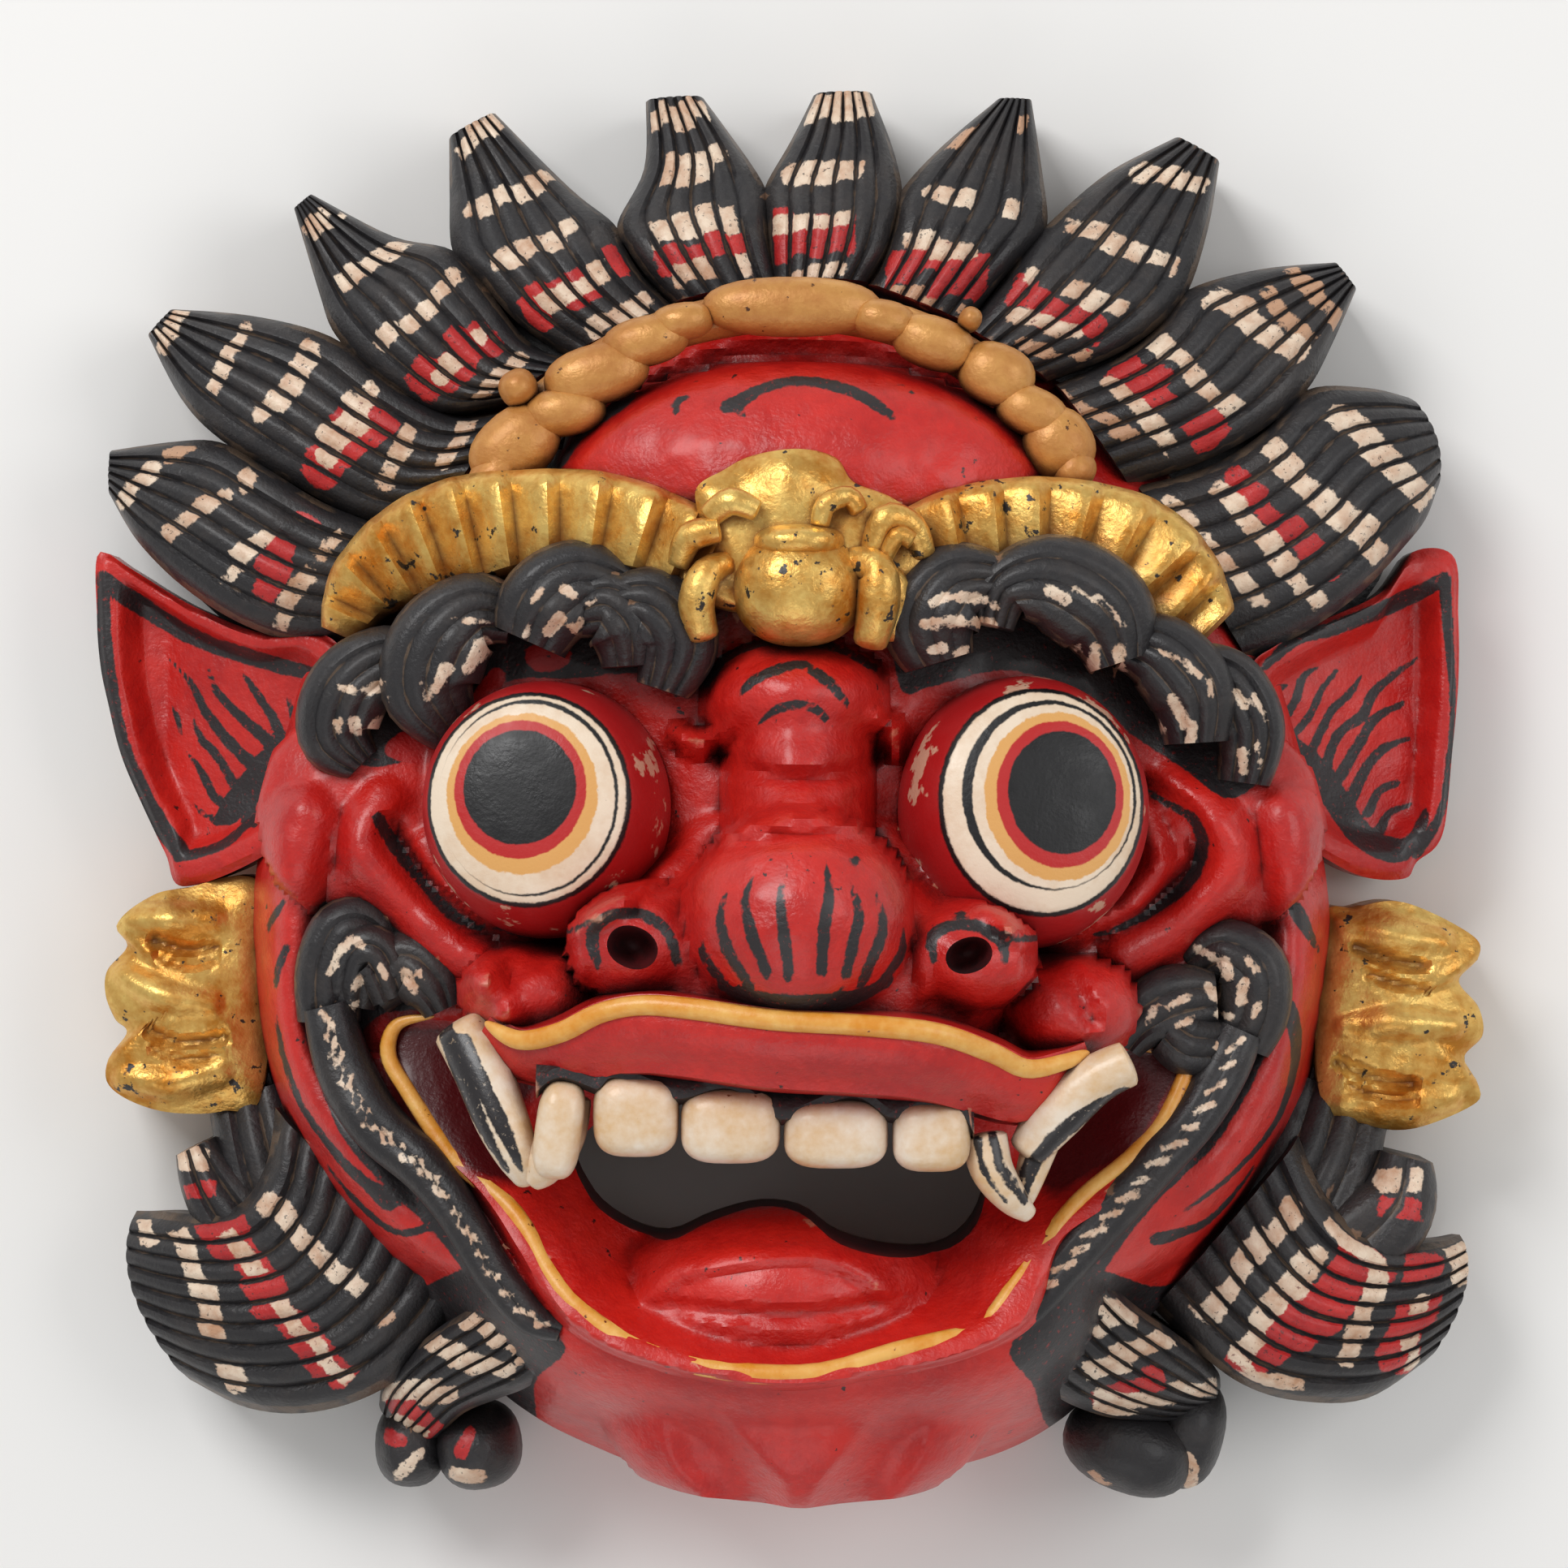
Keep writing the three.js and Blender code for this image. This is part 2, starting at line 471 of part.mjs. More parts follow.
/** Pointed ear: a dished plate with a raised rim, thicker towards the head. */
function ear({ corners, centre }) {
  const height = (x, y, share) => 19 + 0.55 * Math.max(0, 122 - Math.abs(x)) + 6 * smoothstep((share - 0.62) / 0.25);
  return relief(corners, centre, { around: 20, rings: shares(3), height, base: 8 });
}

const EAR_ORNAMENTS = [
  { corners: [[-98, -20], [-115, -20], [-124.5, -22], [-130, -25.5], [-128, -29.5], [-132, -34], [-132.5, -39.5], [-130.5, -44.5], [-127.5, -48], [-132, -52], [-132, -57], [-127, -60.5], [-119, -62], [-110, -62.5], [-98, -58]], centre: [-114, -41] },
  { corners: [[98, -26], [112, -23], [120.5, -21.5], [132, -28], [133, -32.5], [129.5, -36.5], [133, -42], [133.8, -47.5], [130.5, -52], [133, -57], [132, -61], [121, -65.5], [111.5, -64.5], [98, -58]], centre: [115, -43] },
];

/** Gilded ear ornament of three rounded lobes, one above another. */
function earOrnament({ corners, centre }) {
  const height = (x, y, share) => 24 + 9 * Math.sqrt(1 - 0.75 * share * share) + 2.4 * Math.cos((6 * Math.PI * (y - centre[1])) / 42);
  return relief(corners, centre, { around: 22, rings: shares(3), height, base: 8 });
}

// ---------------------------------------------------------------- assembly

function maskSolid() {
  const crownBoard = relief(CROWN_EDGE, [0, 50], {
    around: 30, rings: [1], height: (x, y, share) => lerp(CROWN_BOARD.inner, CROWN_BOARD.edge, share ** 2),
  });
  const shell = joined([head(), jaw(), crownBoard, ...EARS.map(ear), ...EAR_ORNAMENTS.map(earOrnament)]);
  const hair = [
    ...FLAMES.map((controls) => lock(controls, { under: [BACK, 5] })),
    ...SIDE_LOCKS.map(({ controls, strands, steps }) => lock(controls, { strands, steps, crown: 12 })),
    ...BEARD_KNOBS.map(({ at, radii }) => ball(at, radii, { wide: 8, tall: 5 })),
  ];
  const nostrils = joined(NOSTRILS.map(({ at, radii }) => ball(at, radii, { wide: 8, tall: 5 })));
  const open = joined([shell, ...hair]).subtract(hollow()).subtract(mouthHole()).subtract(nostrils);
  const carved = [
    eye(-44.5, -4, -9), eye(42.5, -4.5, 9),
    ...FOLDS.map((c) => bar(c, { steps: 5, sides: 4, depth: 1.2 })),
    ...CHEEKS.map((c) => bar(c, { steps: 8, sides: 6, depth: 1.3 })),
    upperLip(),
    ...teeth(),
    ...ROPES.map((c) => lock(c.map(([x, y, z, r]) => [x, y, z + 5, r]), { strands: 1, steps: 7, crown: 5, groove: 0.8, under: [46, 52] })),
    ...MOUTH_CURLS.map((c) => bar(c, { steps: 4, sides: 4 })),
    ...BROW_CURLS.map((c) => lock(c, { strands: 1, steps: 4, crown: 6, groove: 1.2, under: [52, 52] })),
    ...BANDS.map(foldedBand),
    leafBorder(), ...jewel(),
  ];
  const pieces = joined([open, ...carved]).decompose();
  return pieces.reduce((best, piece) => (piece.volume() > best.volume() ? piece : best));
}

/** Indexed geometry of a solid, moved so that its outline is centred over the origin. */
function toGeometry(solid) {
  const { vertProperties, triVerts } = solid.getMesh();
  const geometry = new THREE.BufferGeometry();
  geometry.setAttribute('position', new THREE.BufferAttribute(vertProperties, 3));
  geometry.setIndex(new THREE.BufferAttribute(triVerts, 1));
  geometry.computeBoundingBox();
  const { min, max } = geometry.boundingBox;
  geometry.translate(-(min.x + max.x) / 2, -(min.y + max.y) / 2, BACK - min.z);
  geometry.computeVertexNormals();
  return geometry;
}

const wood = new THREE.MeshStandardMaterial({ color: 0xb02a26, roughness: 0.42, metalness: 0 });
const mask = new THREE.Mesh(toGeometry(maskSolid()), wood);
mask.name = 'mask';

const barongMask = new THREE.Group();
barongMask.add(mask);
export default barongMask;
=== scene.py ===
"""Finished surfaces and studio of a carved and painted barong mask that lies on its flat back.

Carving sizes are in millimetres, with +Z out of the face, +Y towards the crown and +X to the
viewer's right. Every carved form is cut into one closed shell, as the mask is one piece of wood.
"""
import json
import logging
import math
from dataclasses import dataclass, field
from enum import Enum
from typing import Callable, Sequence

import bpy
import numpy as np
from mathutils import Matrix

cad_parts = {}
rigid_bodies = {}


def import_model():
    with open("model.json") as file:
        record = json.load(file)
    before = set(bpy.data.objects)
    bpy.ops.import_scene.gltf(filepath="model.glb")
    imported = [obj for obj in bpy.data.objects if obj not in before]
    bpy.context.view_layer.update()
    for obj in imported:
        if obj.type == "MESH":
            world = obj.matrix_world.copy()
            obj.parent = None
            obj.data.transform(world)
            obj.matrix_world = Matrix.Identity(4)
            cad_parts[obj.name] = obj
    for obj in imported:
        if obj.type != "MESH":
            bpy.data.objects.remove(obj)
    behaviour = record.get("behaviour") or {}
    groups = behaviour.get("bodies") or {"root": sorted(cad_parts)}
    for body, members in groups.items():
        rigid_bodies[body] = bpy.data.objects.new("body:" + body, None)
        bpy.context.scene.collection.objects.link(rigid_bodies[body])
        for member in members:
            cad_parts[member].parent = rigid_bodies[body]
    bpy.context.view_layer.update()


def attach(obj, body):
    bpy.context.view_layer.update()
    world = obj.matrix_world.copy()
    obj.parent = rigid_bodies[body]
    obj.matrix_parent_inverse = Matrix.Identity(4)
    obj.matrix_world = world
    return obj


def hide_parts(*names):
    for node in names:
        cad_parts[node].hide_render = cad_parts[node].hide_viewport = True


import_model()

log = logging.getLogger("barong_mask")

Rows = Sequence[Sequence[float]]
Height = Callable[[np.ndarray, np.ndarray, np.ndarray], np.ndarray]

MM = 0.001
# From the carver's middle line to the middle of the mask's box.
CENTRING = (0.28, -1.07)
# Middle of the head, below the middle of the crown.
HEAD_MIDDLE = -22


# ---------------------------------------------------------------- small maths


def smoothstep(v: np.ndarray) -> np.ndarray:
    """Smooth rise from 0 to 1 as v goes from 0 to 1."""
    v = np.clip(v, 0.0, 1.0)
    return v * v * (3.0 - 2.0 * v)


def soft_max(a: np.ndarray, b: np.ndarray, blend: float) -> np.ndarray:
    """Larger of two heights, rounded over a band of width blend where they meet."""
    h = np.maximum(blend - np.abs(a - b), 0.0)
    return np.maximum(a, b) + h * h / (4.0 * blend)


def along(controls: Rows, t: np.ndarray) -> np.ndarray:
    """Smooth curve through a row of controls.

    Args:
        controls: tuples of equal length, evenly spread over the curve.
        t: places on the curve, from 0 to 1.

    Returns:
        One row of values for each place.
    """
    c = np.asarray(controls, dtype=float)
    span = len(c) - 1
    t = np.asarray(t, dtype=float) * span
    i = np.clip(np.floor(t).astype(int), 0, span - 1)
    u = (t - i)[:, None]

    def at(j: np.ndarray) -> np.ndarray:
        """Controls at the given places, held at the ends."""
        return c[np.clip(j, 0, span)]

    a, b, d, e = at(i - 1), at(i), at(i + 1), at(i + 2)
    return 0.5 * (2 * b + (d - a) * u + (2 * a - 5 * b + 4 * d - e) * u**2 + (3 * b - a - 3 * d + e) * u**3)


def closed_outline(corners: Rows, count: int) -> np.ndarray:
    """Points evenly spaced round a closed smooth outline.

    Args:
        corners: (x, y) corners in order.
        count: how many points to return.

    Returns:
        An array of (x, y) points.
    """
    c = [tuple(p) for p in corners]
    loop = c[-2:] + c + c[:3]
    n = len(c)
    t = np.linspace(2, n + 2, 12 * n, endpoint=False) / (len(loop) - 1)
    dense = along(loop, t)
    step = np.linalg.norm(np.roll(dense, -1, axis=0) - dense, axis=1)
    run = np.concatenate([[0.0], np.cumsum(step)])
    want = np.linspace(0, run[-1], count, endpoint=False)
    closed = np.vstack([dense, dense[:1]])
    return np.column_stack([np.interp(want, run, closed[:, k]) for k in range(2)])


def lattice(seed: int, size: int = 64) -> np.ndarray:
    """Square table of repeatable random values between -1 and 1."""
    return np.random.RandomState(seed).rand(size, size) * 2 - 1


def ripple(x: np.ndarray, y: np.ndarray, cell: float, seed: int) -> np.ndarray:
    """Gentle unevenness of a hand-cut surface.

    Args:
        x, y: places in millimetres.
        cell: width of one bump in millimetres.
        seed: picks the pattern.

    Returns:
        Values between -1 and 1.
    """
    table = lattice(seed)
    n = len(table)
    gx, gy = x / cell, y / cell
    ix, iy = np.floor(gx).astype(int), np.floor(gy).astype(int)
    fx, fy = smoothstep(gx - ix), smoothstep(gy - iy)
    pick = [table[(ix + i) % n, (iy + j) % n] for j in (0, 1) for i in (0, 1)]
    low = pick[0] * (1 - fx) + pick[1] * fx
    high = pick[2] * (1 - fx) + pick[3] * fx
    return low * (1 - fy) + high * fy


def chance(*keys: np.ndarray) -> np.ndarray:
    """Repeatable random value from 0 to 1 for each combination of whole-number keys."""
    total = sum(np.asarray(k, dtype=float) * w for k, w in zip(keys, (12.9898, 78.233, 37.719)))
    value = np.sin(total) * 43758.5453
    return value - np.floor(value)


def near_path(x: np.ndarray, y: np.ndarray, path: Rows, samples: int = 40) -> tuple[np.ndarray, np.ndarray]:
    """Distance from each place to a smooth path, and the path's other values there.

    Args:
        x, y: places in millimetres.
        path: (x, y, ...) controls.
        samples: straight steps that the path is cut into.

    Returns:
        The distances, and the nearest rows of the path.
    """
    line = along(path, np.linspace(0, 1, samples + 1))
    start, end = line[:-1, :2], line[1:, :2]
    way = end - start
    size = np.maximum((way**2).sum(1), 1e-9)
    shape = x.shape
    px, py = x.ravel()[:, None], y.ravel()[:, None]
    u = ((px - start[:, 0]) * way[:, 0] + (py - start[:, 1]) * way[:, 1]) / size
    u = np.clip(u, 0.0, 1.0)
    gap = np.hypot(px - start[:, 0] - u * way[:, 0], py - start[:, 1] - u * way[:, 1])
    best = gap.argmin(axis=1)
    rows = np.arange(len(best))
    share = u[rows, best][:, None]
    nearest = line[best] * (1 - share) + line[best + 1] * share
    return gap[rows, best].reshape(shape), nearest.reshape(*shape, -1)


def inside_distance(x: np.ndarray, y: np.ndarray, outline: np.ndarray) -> np.ndarray:
    """Distance to a closed outline, positive inside it.

    Args:
        x, y: places in millimetres.
        outline: (x, y) corners in order.

    Returns:
        Signed distances.
    """
    px, py = x.ravel()[:, None], y.ravel()[:, None]
    a, b = outline, np.roll(outline, -1, axis=0)
    way = b - a
    u = ((px - a[:, 0]) * way[:, 0] + (py - a[:, 1]) * way[:, 1]) / np.maximum((way**2).sum(1), 1e-9)
    u = np.clip(u, 0, 1)
    gap = np.hypot(px - a[:, 0] - u * way[:, 0], py - a[:, 1] - u * way[:, 1]).min(axis=1)
    rise = np.where(np.abs(way[:, 1]) < 1e-9, 1e-9, way[:, 1])
    crossing = ((a[:, 1] > py) != (b[:, 1] > py)) & (px < way[:, 0] * (py - a[:, 1]) / rise + a[:, 0])
    inside = crossing.sum(axis=1) % 2 == 1
    return np.where(inside, gap, -gap).reshape(x.shape)


# ---------------------------------------------------------------- paints and painted marks


class Paint(Enum):
    """Finishes of the mask, in the order of its material slots."""

    RED = "red_lacquer"
    BLACK = "black_hair"
    GOLD = "gold_leaf"
    OCHRE = "ochre_leaves"
    EYE = "painted_eyes"
    LIP = "yellow_lip"
    TOOTH = "painted_teeth"
    DARK = "mouth_maroon"
    WOOD = "bare_wood"


class Tint(Enum):
    """Colour that a painted mark is laid in."""

    CREAM = 0
    RED = 1
    TAN = 2


FAR = 9.0  # distance given to a place with no mark near it, in millimetres


@dataclass(frozen=True)
class Row:
    """Row of short dashes painted across the strands of a lock.

    Attributes:
        ends: (x, y) of the row's two ends.
        reach: half the length of a dash along its strand.
        tint: colour of the dashes.
        scatter: how far the dashes stray along their strands.
    """

    ends: Rows
    reach: float
    tint: Tint = Tint.CREAM
    scatter: float = 0.45

    def distance(self, x: np.ndarray, y: np.ndarray, strand: np.ndarray, seed: float) -> np.ndarray:
        """Distance to the row's dashes, negative inside them.

        Args:
            x, y: places in millimetres.
            strand: strand coordinate, whole numbers being the grooves.
            seed: number of the lock.

        Returns:
            Signed distances.
        """
        (x0, y0), (x1, y1) = self.ends
        size = max(math.hypot(x1 - x0, y1 - y0), 1e-6)
        dx, dy = (x1 - x0) / size, (y1 - y0) / size
        number = np.floor(strand + 1e-4)
        stray = (chance(number, seed, x0) - 0.5) * self.scatter * self.reach * 2
        half = self.reach * (0.66 + 0.5 * chance(number, seed + 7, y0))
        lengthways = np.abs(-(x - x0) * dy + (y - y0) * dx + stray) - half
        across = (x - x0) * dx + (y - y0) * dy
        outside = np.maximum(-across, across - size) - 0.8
        laid = chance(number, seed + 3, x0 + y0) > 0.07
        return np.where(laid, np.maximum(lengthways, outside), FAR)


@dataclass(frozen=True)
class Stroke:
    """Brush stroke along a smooth path of (x, y, half width)."""

    path: Rows

    def distance(self, x: np.ndarray, y: np.ndarray) -> np.ndarray:
        """Distance to the stroke's edge, negative inside it."""
        gap, nearest = near_path(x, y, self.path, samples=6 * len(self.path))
        return gap - nearest[..., 2]


@dataclass(frozen=True)
class Patch:
    """Painted area inside a closed outline."""

    outline: Rows

    def distance(self, x: np.ndarray, y: np.ndarray) -> np.ndarray:
        """Distance to the area's edge, negative inside it."""
        return -inside_distance(x, y, closed_outline(self.outline, 90))


def least(distances: list[np.ndarray], like: np.ndarray) -> np.ndarray:
    """Nearest of several marks, or far from all of them."""
    nearest = np.full(like.shape, FAR)
    for d in distances:
        nearest = np.minimum(nearest, d)
    return nearest


# ---------------------------------------------------------------- closed carved surfaces


@dataclass
class Carving:
    """Closed surface of one carved form, with the values that its paints read.

    Attributes:
        name: what the form is.
        points: corners in millimetres.
        faces: corner numbers of each face.
        paints: finish of each face.
        strand: (strand coordinate, millimetres along, seed) at each corner.
        marks: distances to cream, red and black or tan paint at each corner.
    """

    name: str
    points: np.ndarray
    faces: list[tuple[int, ...]]
    paints: list[Paint]
    strand: np.ndarray
    marks: np.ndarray

    def mark(self, tint: int, distances: list[np.ndarray]) -> "Carving":
        """Lays marks of one tint over the form, given their distances at every corner."""
        self.marks[:, tint] = np.minimum(self.marks[:, tint], least(distances, self.points[:, 0]))
        return self

    def mesh_object(self) -> bpy.types.Object:
        """Makes a Blender object of the form, in metres.

        Returns:
            The object, not yet in any collection.
        """
        mesh = bpy.data.meshes.new(self.name)
        shift = np.array([CENTRING[0], CENTRING[1], 0.0])
        mesh.from_pydata(((self.points + shift) * MM).tolist(), [], self.faces)
        slots = list(Paint)
        for paint in slots:
            mesh.materials.append(bpy.data.materials[paint.value])
        mesh.polygons.foreach_set("material_index", [slots.index(p) for p in self.paints])
        corner = np.empty(len(mesh.loops), dtype=np.int32)
        mesh.loops.foreach_get("vertex_index", corner)
        for title, values in (("strand", self.strand), ("marks", self.marks)):
            layer = mesh.attributes.new(title, "FLOAT_VECTOR", "CORNER")
            layer.data.foreach_set("vector", values[corner].astype(np.float32).ravel())
        mesh.update()
        return bpy.data.objects.new(self.name, mesh)


def blank_marks(count: int) -> np.ndarray:
    """Marks of a form with nothing painted on it."""
    return np.full((count, 3), FAR)


def outward(points: np.ndarray, faces: list[tuple[int, ...]]) -> list[tuple[int, ...]]:
    """Turns every face over if the closed surface is inside out."""
    corner = np.array([f[:3] for f in faces])
    a, b, c = points[corner[:, 0]], points[corner[:, 1]], points[corner[:, 2]]
    volume = np.einsum("ij,ij->", a, np.cross(b, c))
    tail = np.array([(f[0], f[2], f[3]) for f in faces if len(f) == 4])
    if len(tail):
        a, b, c = points[tail[:, 0]], points[tail[:, 1]], points[tail[:, 2]]
        volume += np.einsum("ij,ij->", a, np.cross(b, c))
    return faces if volume > 0 else [f[::-1] for f in faces]


def stacked(name: str, rings: np.ndarray, strand: np.ndarray, paint: Paint,
    ends: Paint | None = None) -> Carving:
    """Closes a stack of rings into a form, with a fan over each end.

    Args:
        name: what the form is.
        rings: (rings, points, 3) corners in millimetres.
        strand: (rings, points, 3) painting coordinates.
        paint: finish of the sides.
        ends: finish of the two ends, if it differs.

    Returns:
        The form.
    """
    m, n = rings.shape[:2]
    points = np.vstack([rings.reshape(-1, 3), rings[0].mean(0), rings[-1].mean(0)])
    values = np.vstack([strand.reshape(-1, 3), strand[0].mean(0), strand[-1].mean(0)])
    faces = []
    for j in range(m - 1):
        a = j * n
        faces += [(a + i, a + (i + 1) % n, a + n + (i + 1) % n, a + n + i) for i in range(n)]
    sides = len(faces)
    first, last = m * n, m * n + 1
    faces += [(first, (i + 1) % n, i) for i in range(n)]
    faces += [(last, (m - 1) * n + i, (m - 1) * n + (i + 1) % n) for i in range(n)]
    paints = [paint] * sides + [ends or paint] * (len(faces) - sides)
    return Carving(name, points, outward(points, faces), paints, values, blank_marks(len(points)))


def disc_grid(count: int) -> tuple[np.ndarray, np.ndarray]:
    """Square grid bent into a round disc of radius one, so that its cells stay even."""
    u, v = np.meshgrid(np.linspace(-1, 1, count), np.linspace(-1, 1, count), indexing="ij")
    return u * np.sqrt(1 - v * v / 2), v * np.sqrt(1 - u * u / 2)


def plate(name: str, corners: Rows, centre: Sequence[float], count: int, height: Height, paint: Paint,
          base: float = 0.0, under: Paint = Paint.WOOD) -> Carving:
    """Plate of a given outline whose upper side is carved.

    Args:
        name: what the form is.
        corners: (x, y) corners of the outline.
        centre: (x, y) that the whole outline can be seen from.
        count: grid lines each way.
        height: function of x, y and the share of the way out, giving the height.
        paint: finish of the upper side and edge.
        base: height of the flat underside.
        under: finish of the underside.

    Returns:
        The form.
    """
    edge = closed_outline(corners, 720)
    angle = np.arctan2(edge[:, 1] - centre[1], edge[:, 0] - centre[0])
    reach = np.hypot(edge[:, 0] - centre[0], edge[:, 1] - centre[1])
    order = np.argsort(angle)
    gx, gy = disc_grid(count)
    share = np.minimum(np.hypot(gx, gy), 1.0)
    turn = np.arctan2(gy, gx)
    radius = np.interp(turn, angle[order], reach[order], period=2 * math.pi) * share
    x, y = centre[0] + radius * np.cos(turn), centre[1] + radius * np.sin(turn)
    top = np.stack([x, y, height(x, y, share)], axis=-1).reshape(-1, 3)
    n = count
    number = np.arange(n * n).reshape(n, n)
    faces = [(int(a), int(b), int(c), int(d)) for a, b, c, d in zip(
        number[:-1, :-1].ravel(), number[1:, :-1].ravel(), number[1:, 1:].ravel(), number[:-1, 1:].ravel())]
    rim = np.concatenate([number[:-1, 0], number[-1, :-1], number[:0:-1, -1], number[0, :0:-1]])
    low = top[rim].copy()
    low[:, 2] = base
    first = n * n
    hub = first + len(rim)
    points = np.vstack([top, low, [[centre[0], centre[1], base]]])
    k = len(rim)
    for i in range(k):
        j = (i + 1) % k
        faces.append((int(rim[j]), int(rim[i]), first + i, first + j))
    walls = len(faces)
    faces += [(first + (i + 1) % k, first + i, hub) for i in range(k)]
    paints = [paint] * walls + [under] * (len(faces) - walls)
    strand = np.column_stack([points[:, 0], points[:, 1], np.zeros(len(points))])
    return Carving(name, points, outward(points, faces), paints, strand, blank_marks(len(points)))


def spine_edges(spine: Rows, t: np.ndarray) -> tuple[np.ndarray, np.ndarray, np.ndarray]:
    """Both edges and the crest of a form given by its spine.

    Args:
        spine: (x, y, crest height, half width) controls.
        t: places along it, from 0 to 1.

    Returns:
        Left edge, right edge and crest heights.
    """
    rows = along(spine, t)
    ahead, behind = along(spine, np.minimum(t + 0.02, 1)), along(spine, np.maximum(t - 0.02, 0))
    way = ahead[:, :2] - behind[:, :2]
    way /= np.maximum(np.linalg.norm(way, axis=1, keepdims=True), 1e-9)
    side = np.column_stack([-way[:, 1], way[:, 0]]) * rows[:, 3:4]
    return rows[:, :2] + side, rows[:, :2] - side, rows[:, 2]


@dataclass
class Lock:
    """Lock of hair: a rounded ridge whose top is cut into strands.

    Attributes:
        name: what the lock is.
        edges: its two edges from root to tip, or nothing if it has a spine.
        crest: heights of its middle from root to tip.
        spine: (x, y, crest height, half width) controls from root to tip.
        strands: how many strands it is cut into.
        rise: how much lower its edges are than its middle.
        groove: depth of the cuts between the strands.
        bevel: height of the plain slope along each edge.
        under: height of its underside at the root and at the tip.
        bulge: how far its tip bows out.
        steps: rings along it.
        samples: points across each strand.
        rows: dashes painted on it.
        strokes: strokes painted on it, each with its tint.
    """

    name: str
    edges: tuple[Rows, Rows] | None = None
    crest: Sequence[float] = (46, 45, 43, 39, 33, 26)
    spine: Rows | None = None
    strands: int = 6
    rise: float = 7.0
    groove: float = 1.5
    bevel: float = 2.6
    under: tuple[float, float] = (1.0, 5.0)
    bulge: float = 0.0
    steps: int = 30
    samples: int = 4
    rows: tuple[Row, ...] = ()
    strokes: tuple[tuple[Tint, Stroke], ...] = ()

    def build(self, seed: int) -> Carving:
        """Cuts the lock.

        Args:
            seed: number of the lock, for what varies from one to the next.

        Returns:
            The closed form with its painted rows.
        """
        t = np.linspace(0, 1, self.steps + 1)
        if self.spine is not None:
            left, right, crest = spine_edges(self.spine, t)
        else:
            left, right = along(self.edges[0], t), along(self.edges[1], t)
            crest = along([(h,) for h in self.crest], t)[:, 0]
        mid = (left + right) / 2
        run = np.concatenate([[0], np.cumsum(np.linalg.norm(np.diff(mid, axis=0), axis=1))])
        half = np.linalg.norm(left - right, axis=1) / 2
        v = np.linspace(0, self.strands, self.strands * self.samples + 1)
        a = v / self.strands * 2 - 1
        a = np.concatenate([[-1.0], a * 0.93, [1.0]])
        v = np.concatenate([[0.0], v, [float(self.strands)]])
        groove = 1 - np.abs(np.sin(np.pi * v)) ** 0.55
        groove[[0, -1]] = 0
        drop = np.zeros_like(a)
        drop[[0, -1]] = self.bevel
        across = (a[None, :, None] + 1) / 2
        top = left[:, None] * (1 - across) + right[:, None] * across
        way = mid[-1] - mid[-3]
        way = way / max(np.linalg.norm(way), 1e-9)
        bow = (smoothstep((t - 0.35) / 0.65)[:, None] * (1 - a[None, :] ** 2) * self.bulge)[..., None]
        top = top + bow * way
        rise = np.minimum(self.rise, half * 0.85)
        depth = np.minimum(self.groove, half * 0.25)
        dome = 1 - np.sqrt(1 - 0.92 * a**2)
        wave = 0.35 * ripple(run[:, None] + 31.0 * seed, v[None, :] * 3.1, 5.0, 11)
        z = crest[:, None] - rise[:, None] * dome - depth[:, None] * groove - drop + wave
        floor = self.under[0] + (self.under[1] - self.under[0]) * t
        feet = []
        for edge, inner in ((right, left), (left, right)):
            foot = edge + (inner - edge) * 0.03
            feet.append(np.column_stack([foot, floor]))
        ring = np.concatenate([np.concatenate([top, z[..., None]], axis=-1), feet[0][:, None],
            feet[1][:, None]], axis=1)
        v_all = np.concatenate([v, [self.strands, 0]])
        strand = np.stack(np.broadcast_arrays(v_all[None], run[:, None], np.float64(seed)), axis=-1)
        made = stacked(self.name, ring, strand, Paint.BLACK)
        x, y, s = made.points[:, 0], made.points[:, 1], made.strand[:, 0]
        for tint in Tint:
            made.mark(tint.value, [r.distance(x, y, s, seed) for r in self.rows if r.tint is tint])
            made.mark(tint.value, [k.distance(x, y) for kind, k in self.strokes if kind is tint])
        return made


def rod(name: str, path: Rows, paint: Paint, steps: int = 24, sides: int = 14,
    depth: float = 1.0) -> Carving:
    """Round bar along a path.

    Args:
        name: what the form is.
        path: (x, y, z, radius) controls.
        paint: its finish.
        steps: rings along it.
        sides: points round it.
        depth: how much higher than wide it is.

    Returns:
        The form.
    """
    t = 0.5 - 0.5 * np.cos(np.pi * np.linspace(0, 1, steps + 1))
    rows = along(path, t)
    round_end = 0.07
    tail = np.clip(np.minimum(t, 1 - t) / round_end, 0, 1)
    full = np.sqrt(np.clip(1 - (1 - tail) ** 2, 0.02, 1))
    rows[:, 3] *= full
    left, right, _ = spine_edges(path, t)
    side = (left - right) / 2 * full[:, None]
    mid = rows[:, :2]
    run = np.concatenate([[0], np.cumsum(np.linalg.norm(np.diff(mid, axis=0), axis=1))])
    turn = 2 * np.pi * np.arange(sides) / sides
    place = mid[:, None] + side[:, None] * np.cos(turn)[None, :, None]
    z = rows[:, 2:3] + rows[:, 3:4] * depth * np.sin(turn)[None]
    ring = np.concatenate([place, z[..., None]], axis=-1)
    strand = np.stack(np.broadcast_arrays(np.cos(turn)[None], run[:, None], 0.0), axis=-1)
    return stacked(name, ring, strand, paint)


